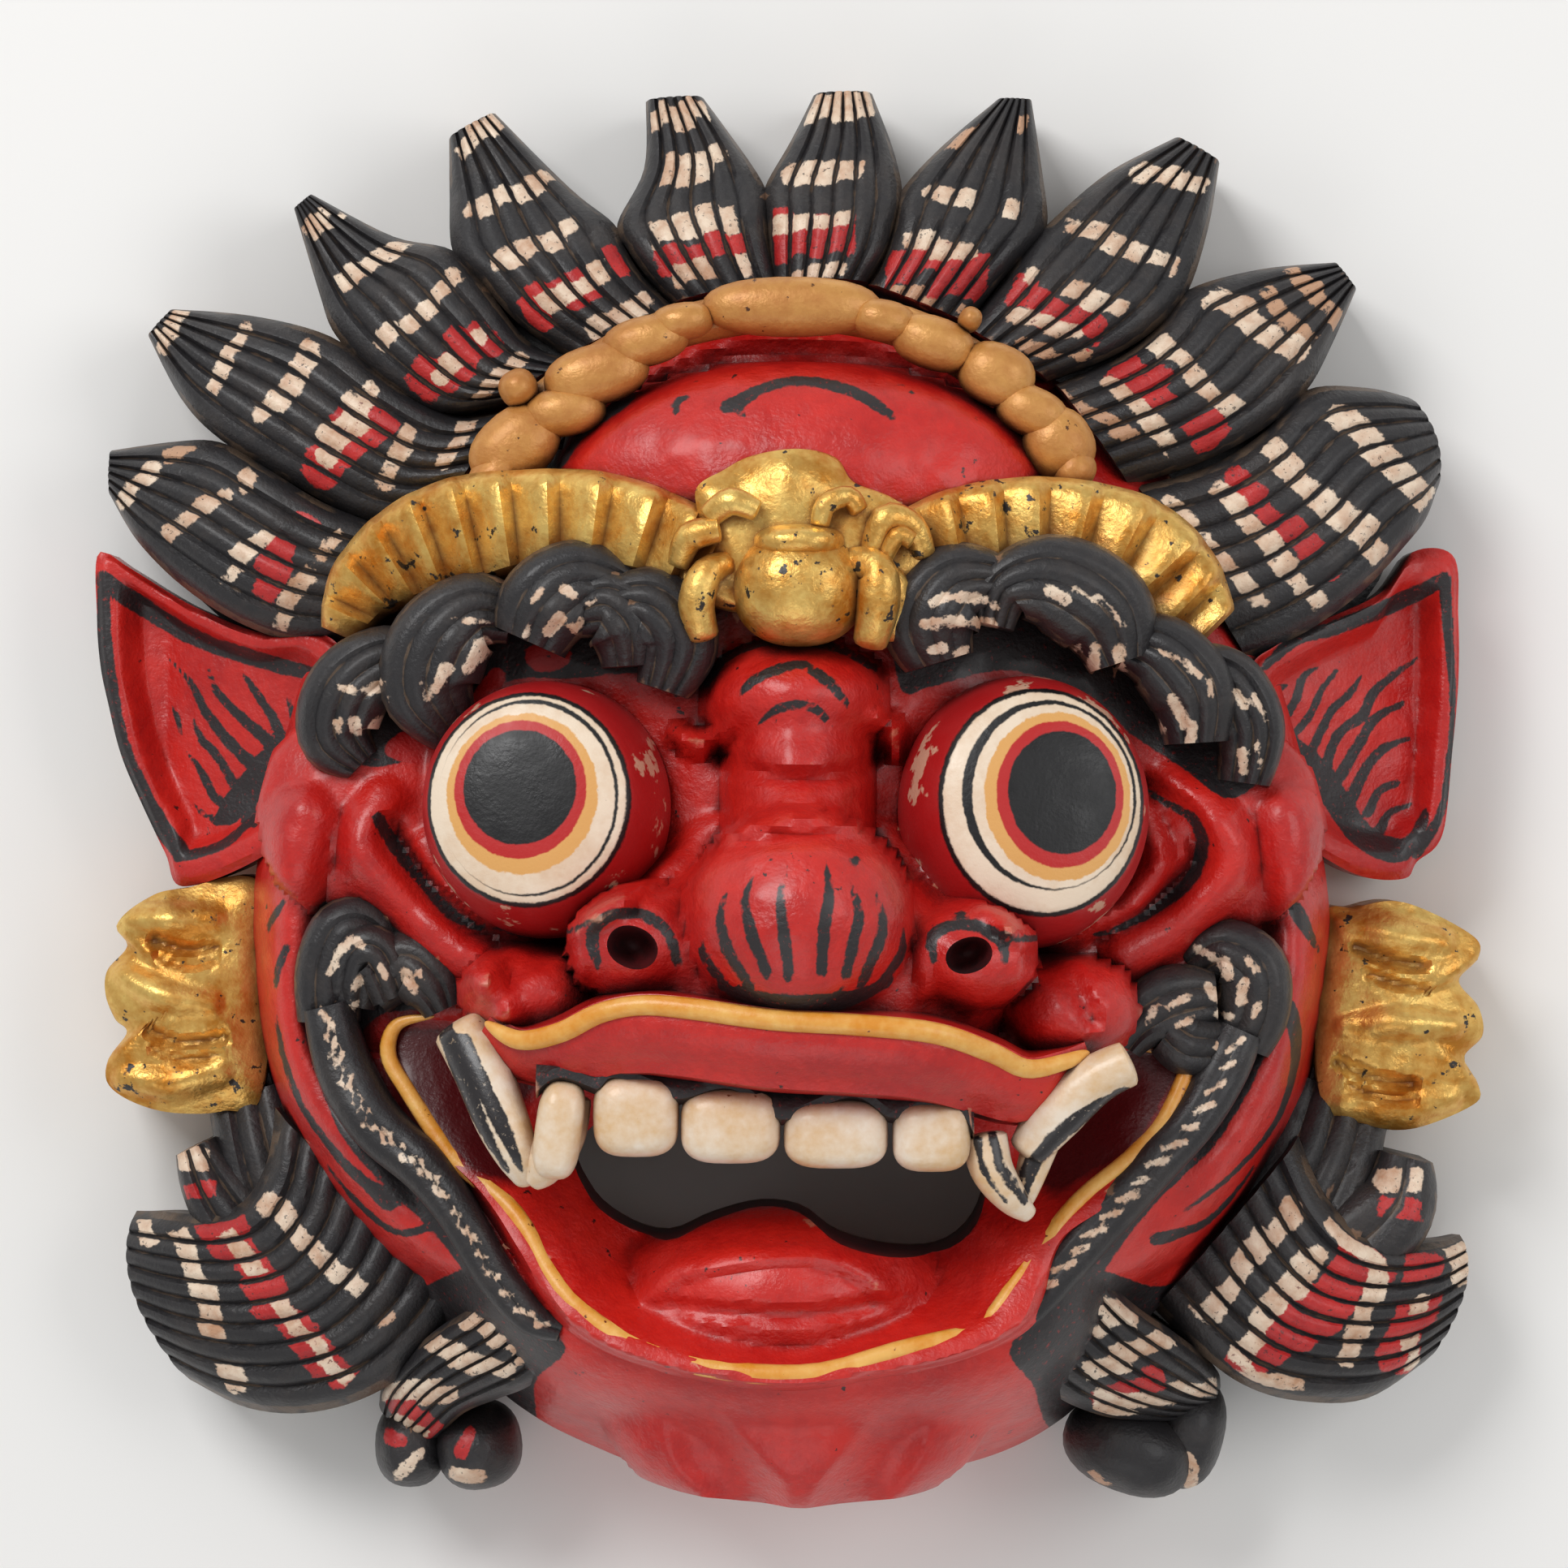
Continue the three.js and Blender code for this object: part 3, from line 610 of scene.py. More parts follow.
def pebble(name: str, centre: Sequence[float], radii: Sequence[float], paint: Paint, turn: float = 0.0,
           power: float = 1.0, wide: int = 28, tall: int = 14) -> Carving:
    """Rounded lump, from a ball to a softened block.

    Args:
        name: what the form is.
        centre: (x, y, z).
        radii: half sizes along x, y and z before it is turned.
        paint: its finish.
        turn: degrees about Z.
        power: 1 for a ball, less for a squarer block.
        wide: points round it.
        tall: rings up it.

    Returns:
        The form.
    """
    rise = np.linspace(-0.5, 0.5, tall + 1)[1:-1] * np.pi
    angle = 2 * np.pi * np.arange(wide) / wide

    def bent(value: np.ndarray) -> np.ndarray:
        """Sine or cosine drawn towards the corners of a block."""
        return np.sign(value) * np.abs(value) ** power

    ring = bent(np.cos(rise))[:, None]
    x, y = ring * bent(np.cos(angle))[None] * radii[0], ring * bent(np.sin(angle))[None] * radii[1]
    z = np.broadcast_to(bent(np.sin(rise))[:, None] * radii[2], x.shape)
    c, s = math.cos(math.radians(turn)), math.sin(math.radians(turn))
    place = np.stack([centre[0] + c * x - s * y, centre[1] + s * x + c * y, centre[2] + z], axis=-1)
    strand = np.stack([x, y, z], axis=-1)
    made = stacked(name, place, strand, paint)
    made.points[-2] = (centre[0], centre[1], centre[2] - radii[2])
    made.points[-1] = (centre[0], centre[1], centre[2] + radii[2])
    return made


# ---------------------------------------------------------------- the face


@dataclass(frozen=True)
class Boss:
    """Rounded mound: centre, radii, the height it springs from, its rise and its blend."""

    x: float
    y: float
    rx: float
    ry: float
    base: float
    rise: float
    blend: float

    def raised(self, x: np.ndarray, y: np.ndarray, z: np.ndarray) -> np.ndarray:
        """Surface with the mound added."""
        u = np.hypot((x - self.x) / self.rx, (y - self.y) / self.ry)
        dome = self.base + self.rise * np.sqrt(np.clip(1 - u * u, 0, None))
        return np.where(u < 1, soft_max(z, dome, self.blend), z)


@dataclass(frozen=True)
class Swell:
    """Ridge, or groove if its rise is below zero, along a path of (x, y, half width, rise)."""

    path: Rows
    crisp: float = 1.6

    def raised(self, x: np.ndarray, y: np.ndarray, z: np.ndarray) -> np.ndarray:
        """Surface with the ridge added."""
        gap, nearest = near_path(x, y, self.path)
        u = np.clip(gap / nearest[..., 2], 0, 1)
        return z + nearest[..., 3] * (1 - u * u) ** self.crisp


MOUTH = (
    (-75, -46), (-62, -42), (-48, -48), (-30, -50), (0, -52), (35, -53), (52, -50), (66, -48), (74, -52),
    (69, -64), (59, -75), (48, -84), (42, -94), (30, -100), (0, -104), (-31, -98), (-44, -90), (-55, -76),
    (-66, -64), (-73, -53),
)
MOUTH_FLOOR = 57.0
MOUTH_SINK = 14.0
HEAD_HALF_WIDTH = 106
HEAD_UP, HEAD_DOWN = 119, 115
HEAD_RIM, HEAD_DOME = 22, 48
LIP_CORNER = -50.0


LIP_CORNER_HEIGHT = 59.0
LIP_CLIMB = 0.43


def lip_crest(y: np.ndarray) -> np.ndarray:
    """Height of the lower lip's crest, which climbs from the corners to the middle of the jaw."""
    return LIP_CORNER_HEIGHT + LIP_CLIMB * np.maximum(0.0, LIP_CORNER - y)


@dataclass
class Face:
    """Head of the mask: its dome, bosses, wrinkles and the way into the mouth."""

    outline: Rows = (
        (0, 95), (38, 90), (66, 76), (84, 55), (94, 22), (102, -8), (105, -38), (101, -60), (88, -82),
            (72, -98),
        (60, -113), (53, -122), (38, -130), (14, -134.5), (-6, -134.5), (-27, -131), (-42, -125),
            (-51, -120),
        (-60, -112), (-72, -97), (-88, -81), (-101, -60), (-105, -38), (-102, -8), (-94, 22), (-84, 55),
        (-66, 76), (-38, 90),
    )
    grid: int = 170
    bosses: tuple[Boss, ...] = (
        Boss(2, 59, 47, 23, 54, 25, 3),
        Boss(1, 17, 18, 12, 64, 25, 2),
        Boss(1.5, -1, 15, 27, 62, 29, 4),
        Boss(1.5, -33, 45, 27, 56, 44, 6),
        Boss(1.5, -23, 21, 20, 92, 24, 4),
        Boss(-28, -28, 13.5, 11.5, 84, 17, 5),
        Boss(33, -30, 13, 10.5, 84, 17, 5),
        Boss(-48, -38, 14, 9.5, 70, 17, 5),
        Boss(52, -41, 13.5, 10.5, 70, 16, 5),
        Boss(-78, -4, 24, 22, 50, 12, 5),
        Boss(78, -6, 24, 22, 50, 12, 5),
        Boss(1, -116, 38, 24, 44, 26, 6),
    )
    swells: tuple[Swell, ...] = (
        # crescents of the cheeks
        Swell(((-92.1, -5.5, 7.5, 6), (-95.7, -20.9, 7.5, 9), (-96.6, -34.7, 7, 11), (-95.1, -49.3, 7, 12),
            (-89.8, -60.9, 8, 12), (-81.4, -72.4, 9, 12), (-72.1, -82.7, 8.5, 10), (-63.7, -88.6, 6, 8),
            (-57.1, -91, 3, 5)), 1.0),
        Swell(((94.8, -5.5, 7.5, 5), (97.6, -20.9, 7.5, 8), (96.7, -34.7, 7, 11), (93.3, -48.6, 7, 12),
            (87.9, -60.9, 8, 12), (80.2, -72.4, 9, 12), (71.7, -82.4, 8.5, 10), (64, -88.6, 6, 8),
            (57.1, -90.1, 3, 5)), 1.0),
        # rear of the forehead, cut down behind the front lobe's crest
        Swell(((-41.4, 65, 3, -3), (-29.3, 74.2, 3.4, -4), (-17.2, 80.3, 3.6, -4.5), (-3.6, 83, 3.6, -4.5),
            (11.5, 82.5, 3.6, -4.5), (23.6, 79.5, 3.6, -4.5), (35, 73.9, 3.4, -4),
            (47.8, 62.7, 3, -3)), 1.2),
        # lids and bags
        Swell(((-56.6, 17.3, 4, 3), (-62.6, 11.3, 4.4, 4), (-64.9, 2.2, 4.5, 3), (-64.4, -6.9, 4.5, 2.5)),
            1.4),
        Swell(((-76.5, -1.6, 5, 3), (-80.3, -9.9, 6, 6), (-74.3, -19.1, 6.5, 7), (-65.1, -28.2, 6.5, 7),
            (-56.8, -35, 5.5, 5)), 1.2),
        Swell(((-75.2, -6.1, 2.4, -3), (-70.7, -15.1, 2.4, -2.2), (-63.1, -22.7, 2.4, -2.2),
            (-56.4, -26.4, 2.4, -2), (-44.3, -27.9, 2.2, -1.5)), 1.2),
        Swell(((-68.4, -9.9, 3.4, 3), (-62.4, -18.9, 3.6, 4), (-53.3, -24.6, 3.8, 4),
            (-41.3, -24.9, 3.8, 4), (-30.7, -20.4, 3.4, 3)), 1.2),
        Swell(((72.3, 0.7, 5, 3), (80.7, -6.9, 6, 6), (82.2, -15.3, 6, 6), (73.8, -24.4, 6, 6),
            (63.2, -30.4, 5.5, 5)), 1.2),
        Swell(((66.5, 1.5, 2.4, -3), (74.8, -4.6, 2.4, -2.2), (76.3, -12.9, 2.4, -2.2),
            (68.7, -21.9, 2.4, -2), (56.7, -27.2, 2.4, -1.5)), 1.2),
        Swell(((65.7, -3.8, 3.2, 3), (69, -12.9, 3.6, 4), (63.5, -21.2, 3.6, 4), (52.2, -26.4, 3.6, 4),
            (40.1, -24.9, 3.4, 3)), 1.2),
        # raised fold over the ball of the nose
        Swell(((-35.3, -22.6, 3, 3), (-25.7, -15.5, 3.2, 3.5), (-16.8, -8.4, 3.2, 3.5),
            (-6.5, -5.2, 3.2, 3), (1.6, -4.5, 3.2, 3), (12.7, -6.1, 3.2, 3), (23, -11.1, 3.2, 3.5),
            (31.9, -17, 3.2, 3.5), (40, -24.4, 3, 3)), 1.2),
        Swell(((-28.6, -21.4, 2, -1.5), (-21.2, -15.5, 2.4, -2.5), (-13.9, -11.1, 2.4, -2.5),
            (1.6, -7.8, 2.4, -2.5), (14.1, -9.3, 2.4, -2.5), (21.5, -14, 2.4, -2.5),
            (27.4, -20.6, 2, -1.5)), 1.2),
        # rims of the nostrils
        Swell(((-38.1, -33.1, 1.8, 2), (-37.9, -24.3, 2, 1.2), (-31.5, -19.6, 2, 1.2),
            (-23.4, -22.1, 2, 1.2), (-19, -29.4, 2, 1.2), (-19.7, -36.8, 1.8, 1)), 1.2),
        Swell(((24.4, -36.8, 1.8, 2), (24.1, -28.7, 2, 1.2), (28.8, -23.1, 2, 1.2), (36.1, -22.8, 2, 1.2),
            (41.4, -27.9, 2, 1.2), (40.8, -35.3, 1.8, 1)), 1.2),
        # folds of the snarl
        Swell(((-42.4, -28.4, 2.6, -4), (-49.9, -32.1, 3, -4), (-55.1, -38.9, 2.6, -3)), 1.2),
        Swell(((44.2, -29.9, 2.6, -4), (50.9, -34.4, 3, -4), (55.4, -41.8, 2.6, -3)), 1.2),
        Swell(((-57.5, -30.8, 4, 4), (-53, -39.8, 4, 5), (-50.1, -45, 3, 2)), 1.2),
        # wings of the bridge
        Swell(((-20.8, 10.4, 2.6, 5), (-17.1, 8.9, 3, 6), (-12.6, 10.4, 2.4, 4)), 1.0),
        Swell(((16.6, 13.4, 2.6, 4), (18.9, 11.2, 3, 6), (19.6, 7.4, 2.4, 4)), 1.0),
        Swell(((-14, 7.4, 2, -2.5), (-7.3, 3.7, 2.4, -3), (1.6, 2.2, 2.4, -3), (11.3, 3.7, 2.4, -3),
            (17.3, 7.4, 2, -2.5)), 1.2),
        # chin
        Swell(((-21.9, -115.2, 4, -1), (-15.8, -122.8, 7, -5), (-6.7, -133.5, 7, -5)), 1.2),
        Swell(((23.8, -115.2, 4, -1), (17.7, -124.3, 7, -5), (10.1, -135, 7, -5)), 1.2),
    )
    dips: Rows = ((-45, -3, 31, 29, 8), (43, -4, 31, 29, 8))
    strokes: tuple[Stroke, ...] = ()
    patches: tuple[Patch, ...] = ()
    reds: tuple[Patch, ...] = ()

    def height(self, x: np.ndarray, y: np.ndarray, share: np.ndarray | None = None) -> np.ndarray:
        """Height of the carved face above the back.

        Args:
            x, y: places in millimetres.
            share: not used; plates pass it.

        Returns:
            Heights in millimetres.
        """
        out = np.hypot(x / HEAD_HALF_WIDTH, (y - HEAD_MIDDLE) / np.where(y > HEAD_MIDDLE, HEAD_UP,
            HEAD_DOWN))
        z = HEAD_RIM + HEAD_DOME * (1 - np.clip(out, 0, 1) ** 2.6) ** 0.6
        for boss in self.bosses:
            z = boss.raised(x, y, z)
        for dx, dy, rx, ry, depth in self.dips:
            u = np.hypot((x - dx) / rx, (y - dy) / ry)
            z = z - depth * (1 - np.clip(u, 0, 1) ** 2) ** 2
        for swell in self.swells:
            z = swell.raised(x, y, z)
        z = z + 0.5 * ripple(x, y, 7.0, 3) + 0.25 * ripple(x, y, 3.1, 4)
        deep = inside_distance(x, y, closed_outline(MOUTH, 140))
        sunk = MOUTH_FLOOR - MOUTH_SINK
        inner = z + (sunk - z) * smoothstep(deep / 8)
        lip = np.where(y < LIP_CORNER, soft_max(z, lip_crest(y) - 5 - deep * deep / 14, 4), z)
        return np.where(deep > 0, inner, lip)

    def build(self) -> list[Carving]:
        """Cuts the head and paints its strokes."""
        head = plate("head", self.outline, (1.5, -24), self.grid, self.height, Paint.RED)
        x, y = head.points[:, 0], head.points[:, 1]
        head.mark(2, [s.distance(x, y) for s in self.strokes] + [p.distance(x, y) for p in self.patches])
        head.mark(1, [p.distance(x, y) for p in self.reds])
        return [head]


FACE_STROKES = (
    # brow of the forehead
    Stroke(((-12.2, 71.3, 1.1), (-10.4, 71.9, 1.6), (-5.9, 74.6, 1.1), (0.2, 76.4, 1), (6.9, 75.8, 1.1),
        (13.2, 73.5, 1.2), (16.7, 71.3, 1.2), (18.9, 69.5, 0.8))),
    Stroke(((-10.4, 71.3, 0.8), (-8.9, 70.1, 0.9))),
    Stroke(((-21.4, 70.2, 0.5), (-21.4, 72.2, 0.8), (-19, 73.8, 0.4))),
    Stroke(((19, 76.8, 0.2), (22.3, 74.7, 0.4), (25.7, 71.4, 0.2))),
    # bridge
    Stroke(((-9.8, 17.1, 0.3), (-7.3, 20, 0.9), (-2.8, 22.1, 1), (1.6, 23.3, 0.8), (5.6, 21.2, 1),
        (9.1, 17.8, 0.9), (11.6, 13.8, 0.3))),
    Stroke(((-5.8, 12.3, 0.3), (-2.8, 14.8, 0.9), (1.6, 15.9, 0.8), (5.3, 14.4, 0.9), (7.6, 11.4, 0.3))),
    Stroke(((-15.8, 19.8, 0.8), (-12.8, 24.3, 1), (-6.6, 27.3, 0.9), (1.6, 27.9, 0.9), (9.8, 26.1, 0.9),
        (15.8, 22.8, 0.9))),
    # ball of the nose
    Stroke(((-16.4, -26.3, 0.3), (-15.5, -29.9, 0.9), (-13, -33.6, 0.9), (-10.1, -36.9, 0.7))),
    Stroke(((-11.8, -18.2, 0.3), (-12.6, -23.3, 0.9), (-11.1, -29.1, 1.1), (-7.2, -34.9, 0.8))),
    Stroke(((-6.7, -15, 0.2), (-8.2, -19.6, 0.8), (-7, -25.4, 1.1), (-4.3, -32.7, 1))),
    Stroke(((-0.6, -13.2, 0.2), (-1.8, -18.8, 0.8), (-1.2, -25.4, 1.1), (-0.3, -33.3, 1))),
    Stroke(((5.5, -11.2, 0.2), (6.9, -17.4, 0.9), (6, -23.9, 1.1), (5.5, -32.6, 1))),
    Stroke(((10.4, -16, 0.3), (12.2, -21.8, 0.9), (11, -27.6, 1.1), (9.8, -33.4, 0.9))),
    Stroke(((15.4, -17.9, 0.3), (16.6, -24, 0.9), (15.1, -29.1, 1.1), (12.8, -34.5, 0.8))),
    Stroke(((20.1, -24.8, 0.3), (20.1, -29.2, 0.9), (17.8, -32.8, 0.9), (15.1, -35.7, 0.7))),
    Stroke(((-12.6, -35.4, 0.6), (-6.4, -37.5, 1.6), (1.6, -38.4, 1.9), (10.3, -37.5, 1.7),
        (18, -34.6, 0.7))),
    Stroke(((11.3, -12.5, 1), (11.7, -12.6, 1))),
    # under the eyes
    Stroke(((-77.3, -5, 1.1), (-74.3, -10.6, 1.1), (-69.3, -17.1, 0.9), (-63.3, -23.2, 1.0),
        (-57.7, -25.9, 0.5))),
    Stroke(((-56.7, -25.2, 0.4), (-48.8, -26.7, 0.7), (-41.3, -25.8, 0.6), (-36, -23.4, 0.3))),
    Stroke(((64.3, 2.5, 0.3), (69.6, -1.6, 0.7), (75.2, -5, 0.9), (77.3, -9.9, 1.1), (75.8, -15.9, 1.1),
        (70.4, -21.2, 0.9), (63.6, -25, 0.7), (56.8, -27.2, 0.4))),
    Stroke(((30.3, -21.9, 0.4), (40.1, -26.4, 0.7), (49.1, -26.7, 0.5), (55.2, -26.4, 0.3))),
    # nostril rims
    Stroke(((-35, -31.5, 0.9), (-36, -26.4, 1.2), (-33.1, -22.7, 1.1), (-27, -22.4, 1), (-22.3, -25.6, 1),
        (-20.4, -31.5, 0.9))),
    Stroke(((26, -30.8, 0.7), (25.7, -26.4, 1.1), (30.1, -24.2, 1), (35.3, -25.3, 1), (38.3, -27.8, 1),
        (38.9, -30.8, 0.7))),
    # cheeks
    Stroke(((-95.8, -20.5, 0.4), (-98.1, -23.6, 0.8), (-100.1, -27, 0.4))),
    Stroke(((-95.5, -29.7, 0.8), (-97, -33.1, 0.8), (-98.1, -38, 0.4))),
    Stroke(((-98.2, -41.5, 0.4), (-96.7, -49.9, 0.7), (-92.9, -59.9, 0.8), (-85.7, -69.1, 1),
        (-79.5, -74.7, 1.3), (-76, -77.2, 2.2))),
    Stroke(((-88.6, -71.2, 0.3), (-81.7, -78.9, 0.7), (-74.8, -83.5, 0.7), (-67.9, -82.3, 0.9))),
    Stroke(((96.2, -22.7, 1.6), (97.7, -25.4, 1.4), (101.1, -30.8, 0.4))),
    Stroke(((94.2, -41, 1.6), (96, -46.1, 1.6), (96.3, -53, 1.2), (93.2, -62.9, 0.9), (85.3, -71.4, 0.6),
        (74.5, -79.3, 0.4))),
    Stroke(((69, -84.5, 1.4), (73.6, -83.8, 1.1), (80.5, -81.2, 0.8), (88.9, -72, 0.4))),
    # dark line between cheek and ear
    Stroke(((-88, -21.5, 0.7), (-90.3, -31.5, 0.8), (-91.8, -42.2, 0.8), (-89.2, -54.5, 0.6))),
    Stroke(((89.1, -33, 0.7), (89.9, -43.8, 0.8), (86, -54.5, 0.7))),
    # under the nose, over the lip
    Stroke(((-40.3, -38.2, 0.2), (-31.5, -37.2, 0.6), (-21.2, -38.2, 0.4))),
)
FACE_PATCHES = (
    # behind the curls of the brows
    Patch(((-86.8, 17.3), (-82.3, 24.9), (-68.7, 34.7), (-50.5, 40.8), (-32.4, 38.5), (-18.8, 34.7),
        (-16, 26.4), (-20.6, 17.3), (-26.3, 21.9), (-41.4, 21.1), (-53.5, 20.4), (-62.6, 11.3), (-71.7, 6),
        (-79.3, 4.5), (-85.3, 8.3))),
    Patch(((19.8, 35.5), (31.2, 40.8), (49.3, 41.5), (64.5, 37), (79.6, 27.9), (88.7, 17.3), (90.2, 5.2),
        (82.6, -1.6), (73.5, 4.5), (64.5, 10.5), (53.9, 18.9), (40.3, 22.6), (26.6, 19.6), (20.6, 18.9))),
    # temples beside the forehead
    Patch(((-62.9, 56.9), (-50.7, 69), (-41.6, 76.6), (-29.4, 75.9), (-31, 72.1), (-38.6, 66.8),
        (-43.1, 60.7), (-50.7, 56.9))),
    Patch(((-91.4, -42.4), (-88.3, -27), (-82.1, -22.4), (-72.9, -27), (-66, -36.2), (-69.8, -40.9),
        (-77.5, -42.4), (-82.1, -48.6), (-77.5, -62.4), (-57.5, -87), (-51.4, -102.4), (-57.5, -96.3),
        (-66.8, -84), (-82.1, -68.6), (-88.3, -57.8))),
    Patch(((91.7, -31.6), (84.1, -27.8), (77.9, -30.1), (71.7, -37.8), (65.6, -40.9), (65.6, -48.6),
        (74.8, -48.6), (76.4, -57.8), (65.6, -73.2), (47.1, -96.3), (50.2, -102.4), (65.6, -80.9),
        (81, -65.5), (90.2, -48.6))),
    # neck of the beard
    Patch(((-59.2, -90.3), (-42.2, -102.6), (-48.4, -111.9), (-51.5, -127.3), (-73, -142.7),
        (-103.9, -127.3), (-103.9, -96.4), (-88.5, -81), (-73, -94.9))),
    Patch(((56.5, -90.3), (41, -102.6), (45.7, -111.9), (51.8, -125.7), (73.4, -142.7), (104.3, -127.3),
        (104.3, -90.3), (90.4, -77.9), (73.4, -94.9))),
)
BROW_REDS = (
    Patch(((-50.1, 26.2), (-46.4, 27.7), (-41.1, 26.2), (-42.6, 23.2), (-47.9, 22.5))),
    Patch(((-76, 6.7), (-74.4, 10.5), (-68.4, 12), (-62.4, 10.5), (-56.4, 17.3), (-53.3, 21), (-55.6, 23.3),
        (-59.4, 18.8), (-65.4, 10.5), (-68.4, 5.2))),
)


@dataclass
class Mouth:
    """Lips, gum and the inside of the jaw."""

    jaw_outline: Rows = (
        (-78, -43), (-63, -39), (-48, -46), (-30, -50), (0, -52), (35, -53), (50, -48), (66, -45),
        (78, -49),
        (73, -66), (63, -77), (53, -84), (48, -95), (43, -101), (31, -106), (15, -109), (0, -111),
            (-18, -109),
        (-35, -104), (-46, -96), (-53, -86), (-61, -75), (-71, -65), (-77, -53),
    )
    tongue: Boss = Boss(-2, -94, 31, 17, 56, 25, 4)
    creases: tuple[Swell, ...] = (
        Swell(((-26.8, -94, 2.4, 2), (-21.6, -89.5, 2.8, 3), (-14.1, -87.1, 2.8, 3), (-3.6, -85.6, 2.8, 3),
            (6.1, -85.9, 2.8, 3), (12.9, -88.6, 2.8, 3), (18.9, -94, 2.4, 2)), 1.2),
        Swell(((-21.6, -95.5, 2, -1.5), (-11.1, -96.4, 2.4, -2.5), (1.6, -96.7, 2.4, -2.5),
            (12.9, -95.5, 2.2, -2), (20.4, -94, 1.6, -1)), 1.2),
    )
    upper_line: Rows = ((-56.1, -43, 84, 1.0), (-49.7, -46.1, 88, 1.4), (-42, -44.5, 94, 1.5),
        (-34.5, -40.8, 98, 1.5), (-27.1, -39.3, 100, 1.5), (-18.2, -39.8, 102, 1.6), (-3.5, -41.7, 104,
        1.6), (11.1, -42.6, 104, 1.6), (25.8, -44.2, 102, 1.6), (36.3, -48, 96, 1.5),
        (43.1, -51.2, 91, 1.4), (50, -50.2, 87, 1.2), (54.9, -48.6, 84, 1.0))
    lower_line: Rows = ((-66.9, -42.3, 62, 1.0), (-73.9, -43.9, 60, 1.4), (-75.7, -49.7, 60, 1.6),
        (-71.9, -56.5, 62, 1.6), (-67.2, -63.5, 64, 1.7), (-62.6, -69.5, 66, 1.7), (-56.4, -74.2, 68,
        1.7), (-50.5, -79.7, 71, 1.7), (-45.8, -87.9, 74, 1.7), (-40.9, -94.3, 77, 1.7),
        (-33.6, -99.8, 79, 1.7), (-26.1, -103.4, 80, 1.8), (-15.6, -106.3, 81.5, 1.8),
        (-3.6, -107.5, 82.5, 1.9), (6.9, -107, 82, 1.9), (18.9, -103.5, 81, 1.8),
        (27.9, -101.5, 79.5, 1.8), (35.1, -99.9, 78, 1.8), (40, -94.1, 76, 1.7),
        (44.9, -87.5, 73.5, 1.7), (51.1, -79.5, 70.5, 1.7), (55.8, -74.8, 68.5, 1.7),
        (63.2, -69.1, 66.5, 1.7), (69.4, -62.9, 64, 1.7), (72.9, -56.5, 62, 1.6),
        (74.8, -50.9, 60.5, 1.5), (72.4, -49.1, 60, 1.2), (65.1, -48.5, 60, 1.0))

    def floor(self, x: np.ndarray, y: np.ndarray, share: np.ndarray) -> np.ndarray:
        """Height of the jaw from the floor of the mouth out to the lip.

        Args:
            x, y: places in millimetres.
            share: share of the way out to the lip.

        Returns:
            Heights in millimetres.
        """
        low = MOUTH_FLOOR - 8 * smoothstep((np.abs(x) - 38) / 20)
        z = low + (lip_crest(y) - low) * smoothstep((share - 0.5) / 0.4)
        z = self.tongue.raised(x, y, z)
        for crease in self.creases:
            z = crease.raised(x, y, z)
        z = z + 0.3 * ripple(x, y, 5.0, 8)
        return z - 7 * smoothstep((share - 0.94) / 0.06)

    def build(self) -> list[Carving]:
        """Cuts the jaw, the upper lip, the gum and the yellow lines of both lips."""
        jaw = plate("jaw", self.jaw_outline, (0, -74), 72, self.floor, Paint.RED, base=40, under=Paint.RED)
        x, y = jaw.points[:, 0], jaw.points[:, 1]
        jaw.mark(0, [Patch(p).distance(x, y) for p in MOUTH_CORNERS])
        proud = [(x, y + 0.6, z + 2.6, r * 1.25) for x, y, z, r in self.upper_line]
        return [jaw, self.upper_lip(), self.gum(), rod("upper_lip_line", proud, Paint.LIP, 70, 10, 0.9),
                rod("lower_lip_line", self.lower_line, Paint.LIP, 110, 10, 0.9)]

    def upper_lip(self) -> Carving:
        """Cuts the fleshy part of the upper lip, from its yellow line down to the gum."""
        t = np.linspace(0, 1, 61)
        line = [(x, y, z, 1.0) for x, y, z, _ in self.upper_line]
        left, right, z = spine_edges(line, t)
        mid, side = (left + right) / 2, (left - right) / 2
        full = smoothstep(1 - np.abs(2 * t - 1) ** 2.4)
        lower = 4.5 + 7.5 * full
        profile = []
        for k in range(15):
            u = k / 14
            across = 2.6 - (lower + 2.6) * u
            bulge = 1.5 + 2.0 * np.sin(np.pi * np.clip(u * 1.15, 0, 1)) * full - 5.0 * u**2
            profile.append(np.column_stack([mid + side * across[:, None], z + bulge]))
        for across, drop in ((lower * -1.0 - 1.2, 12.0), (np.zeros_like(lower), 24.0),
            (np.full_like(lower, 3.4), 10.0)):
            profile.append(np.column_stack([mid + side * across[:, None], z - drop]))
        rings = np.stack(profile, axis=1)
        return stacked("upper_lip", rings, rings.copy(), Paint.RED)

    def gum(self) -> Carving:
        """Cuts the scalloped black gum that the front teeth hang from."""
        t = np.linspace(0, 1, 73)
        line = along(GUM_LINE, t)
        wave = 1.0 * np.abs(np.sin(np.pi * 5 * t))
        profile = []
        for across, z in ((5.0, 86), (4.0, 90), (0.6, 92.5), (-1.2, 92.5), (-2.4, 90), (-2.6, 84),
            (4.0, 80)):
            y = line[:, 1] + across + (wave if across < 2 else 0)
            profile.append(np.column_stack([line[:, 0], y, np.full_like(y, z)]))
        rings = np.stack(profile, axis=1)
        made = stacked("gum", rings, rings.copy(), Paint.RED)
        made.marks[:, 2] = -3
        return made


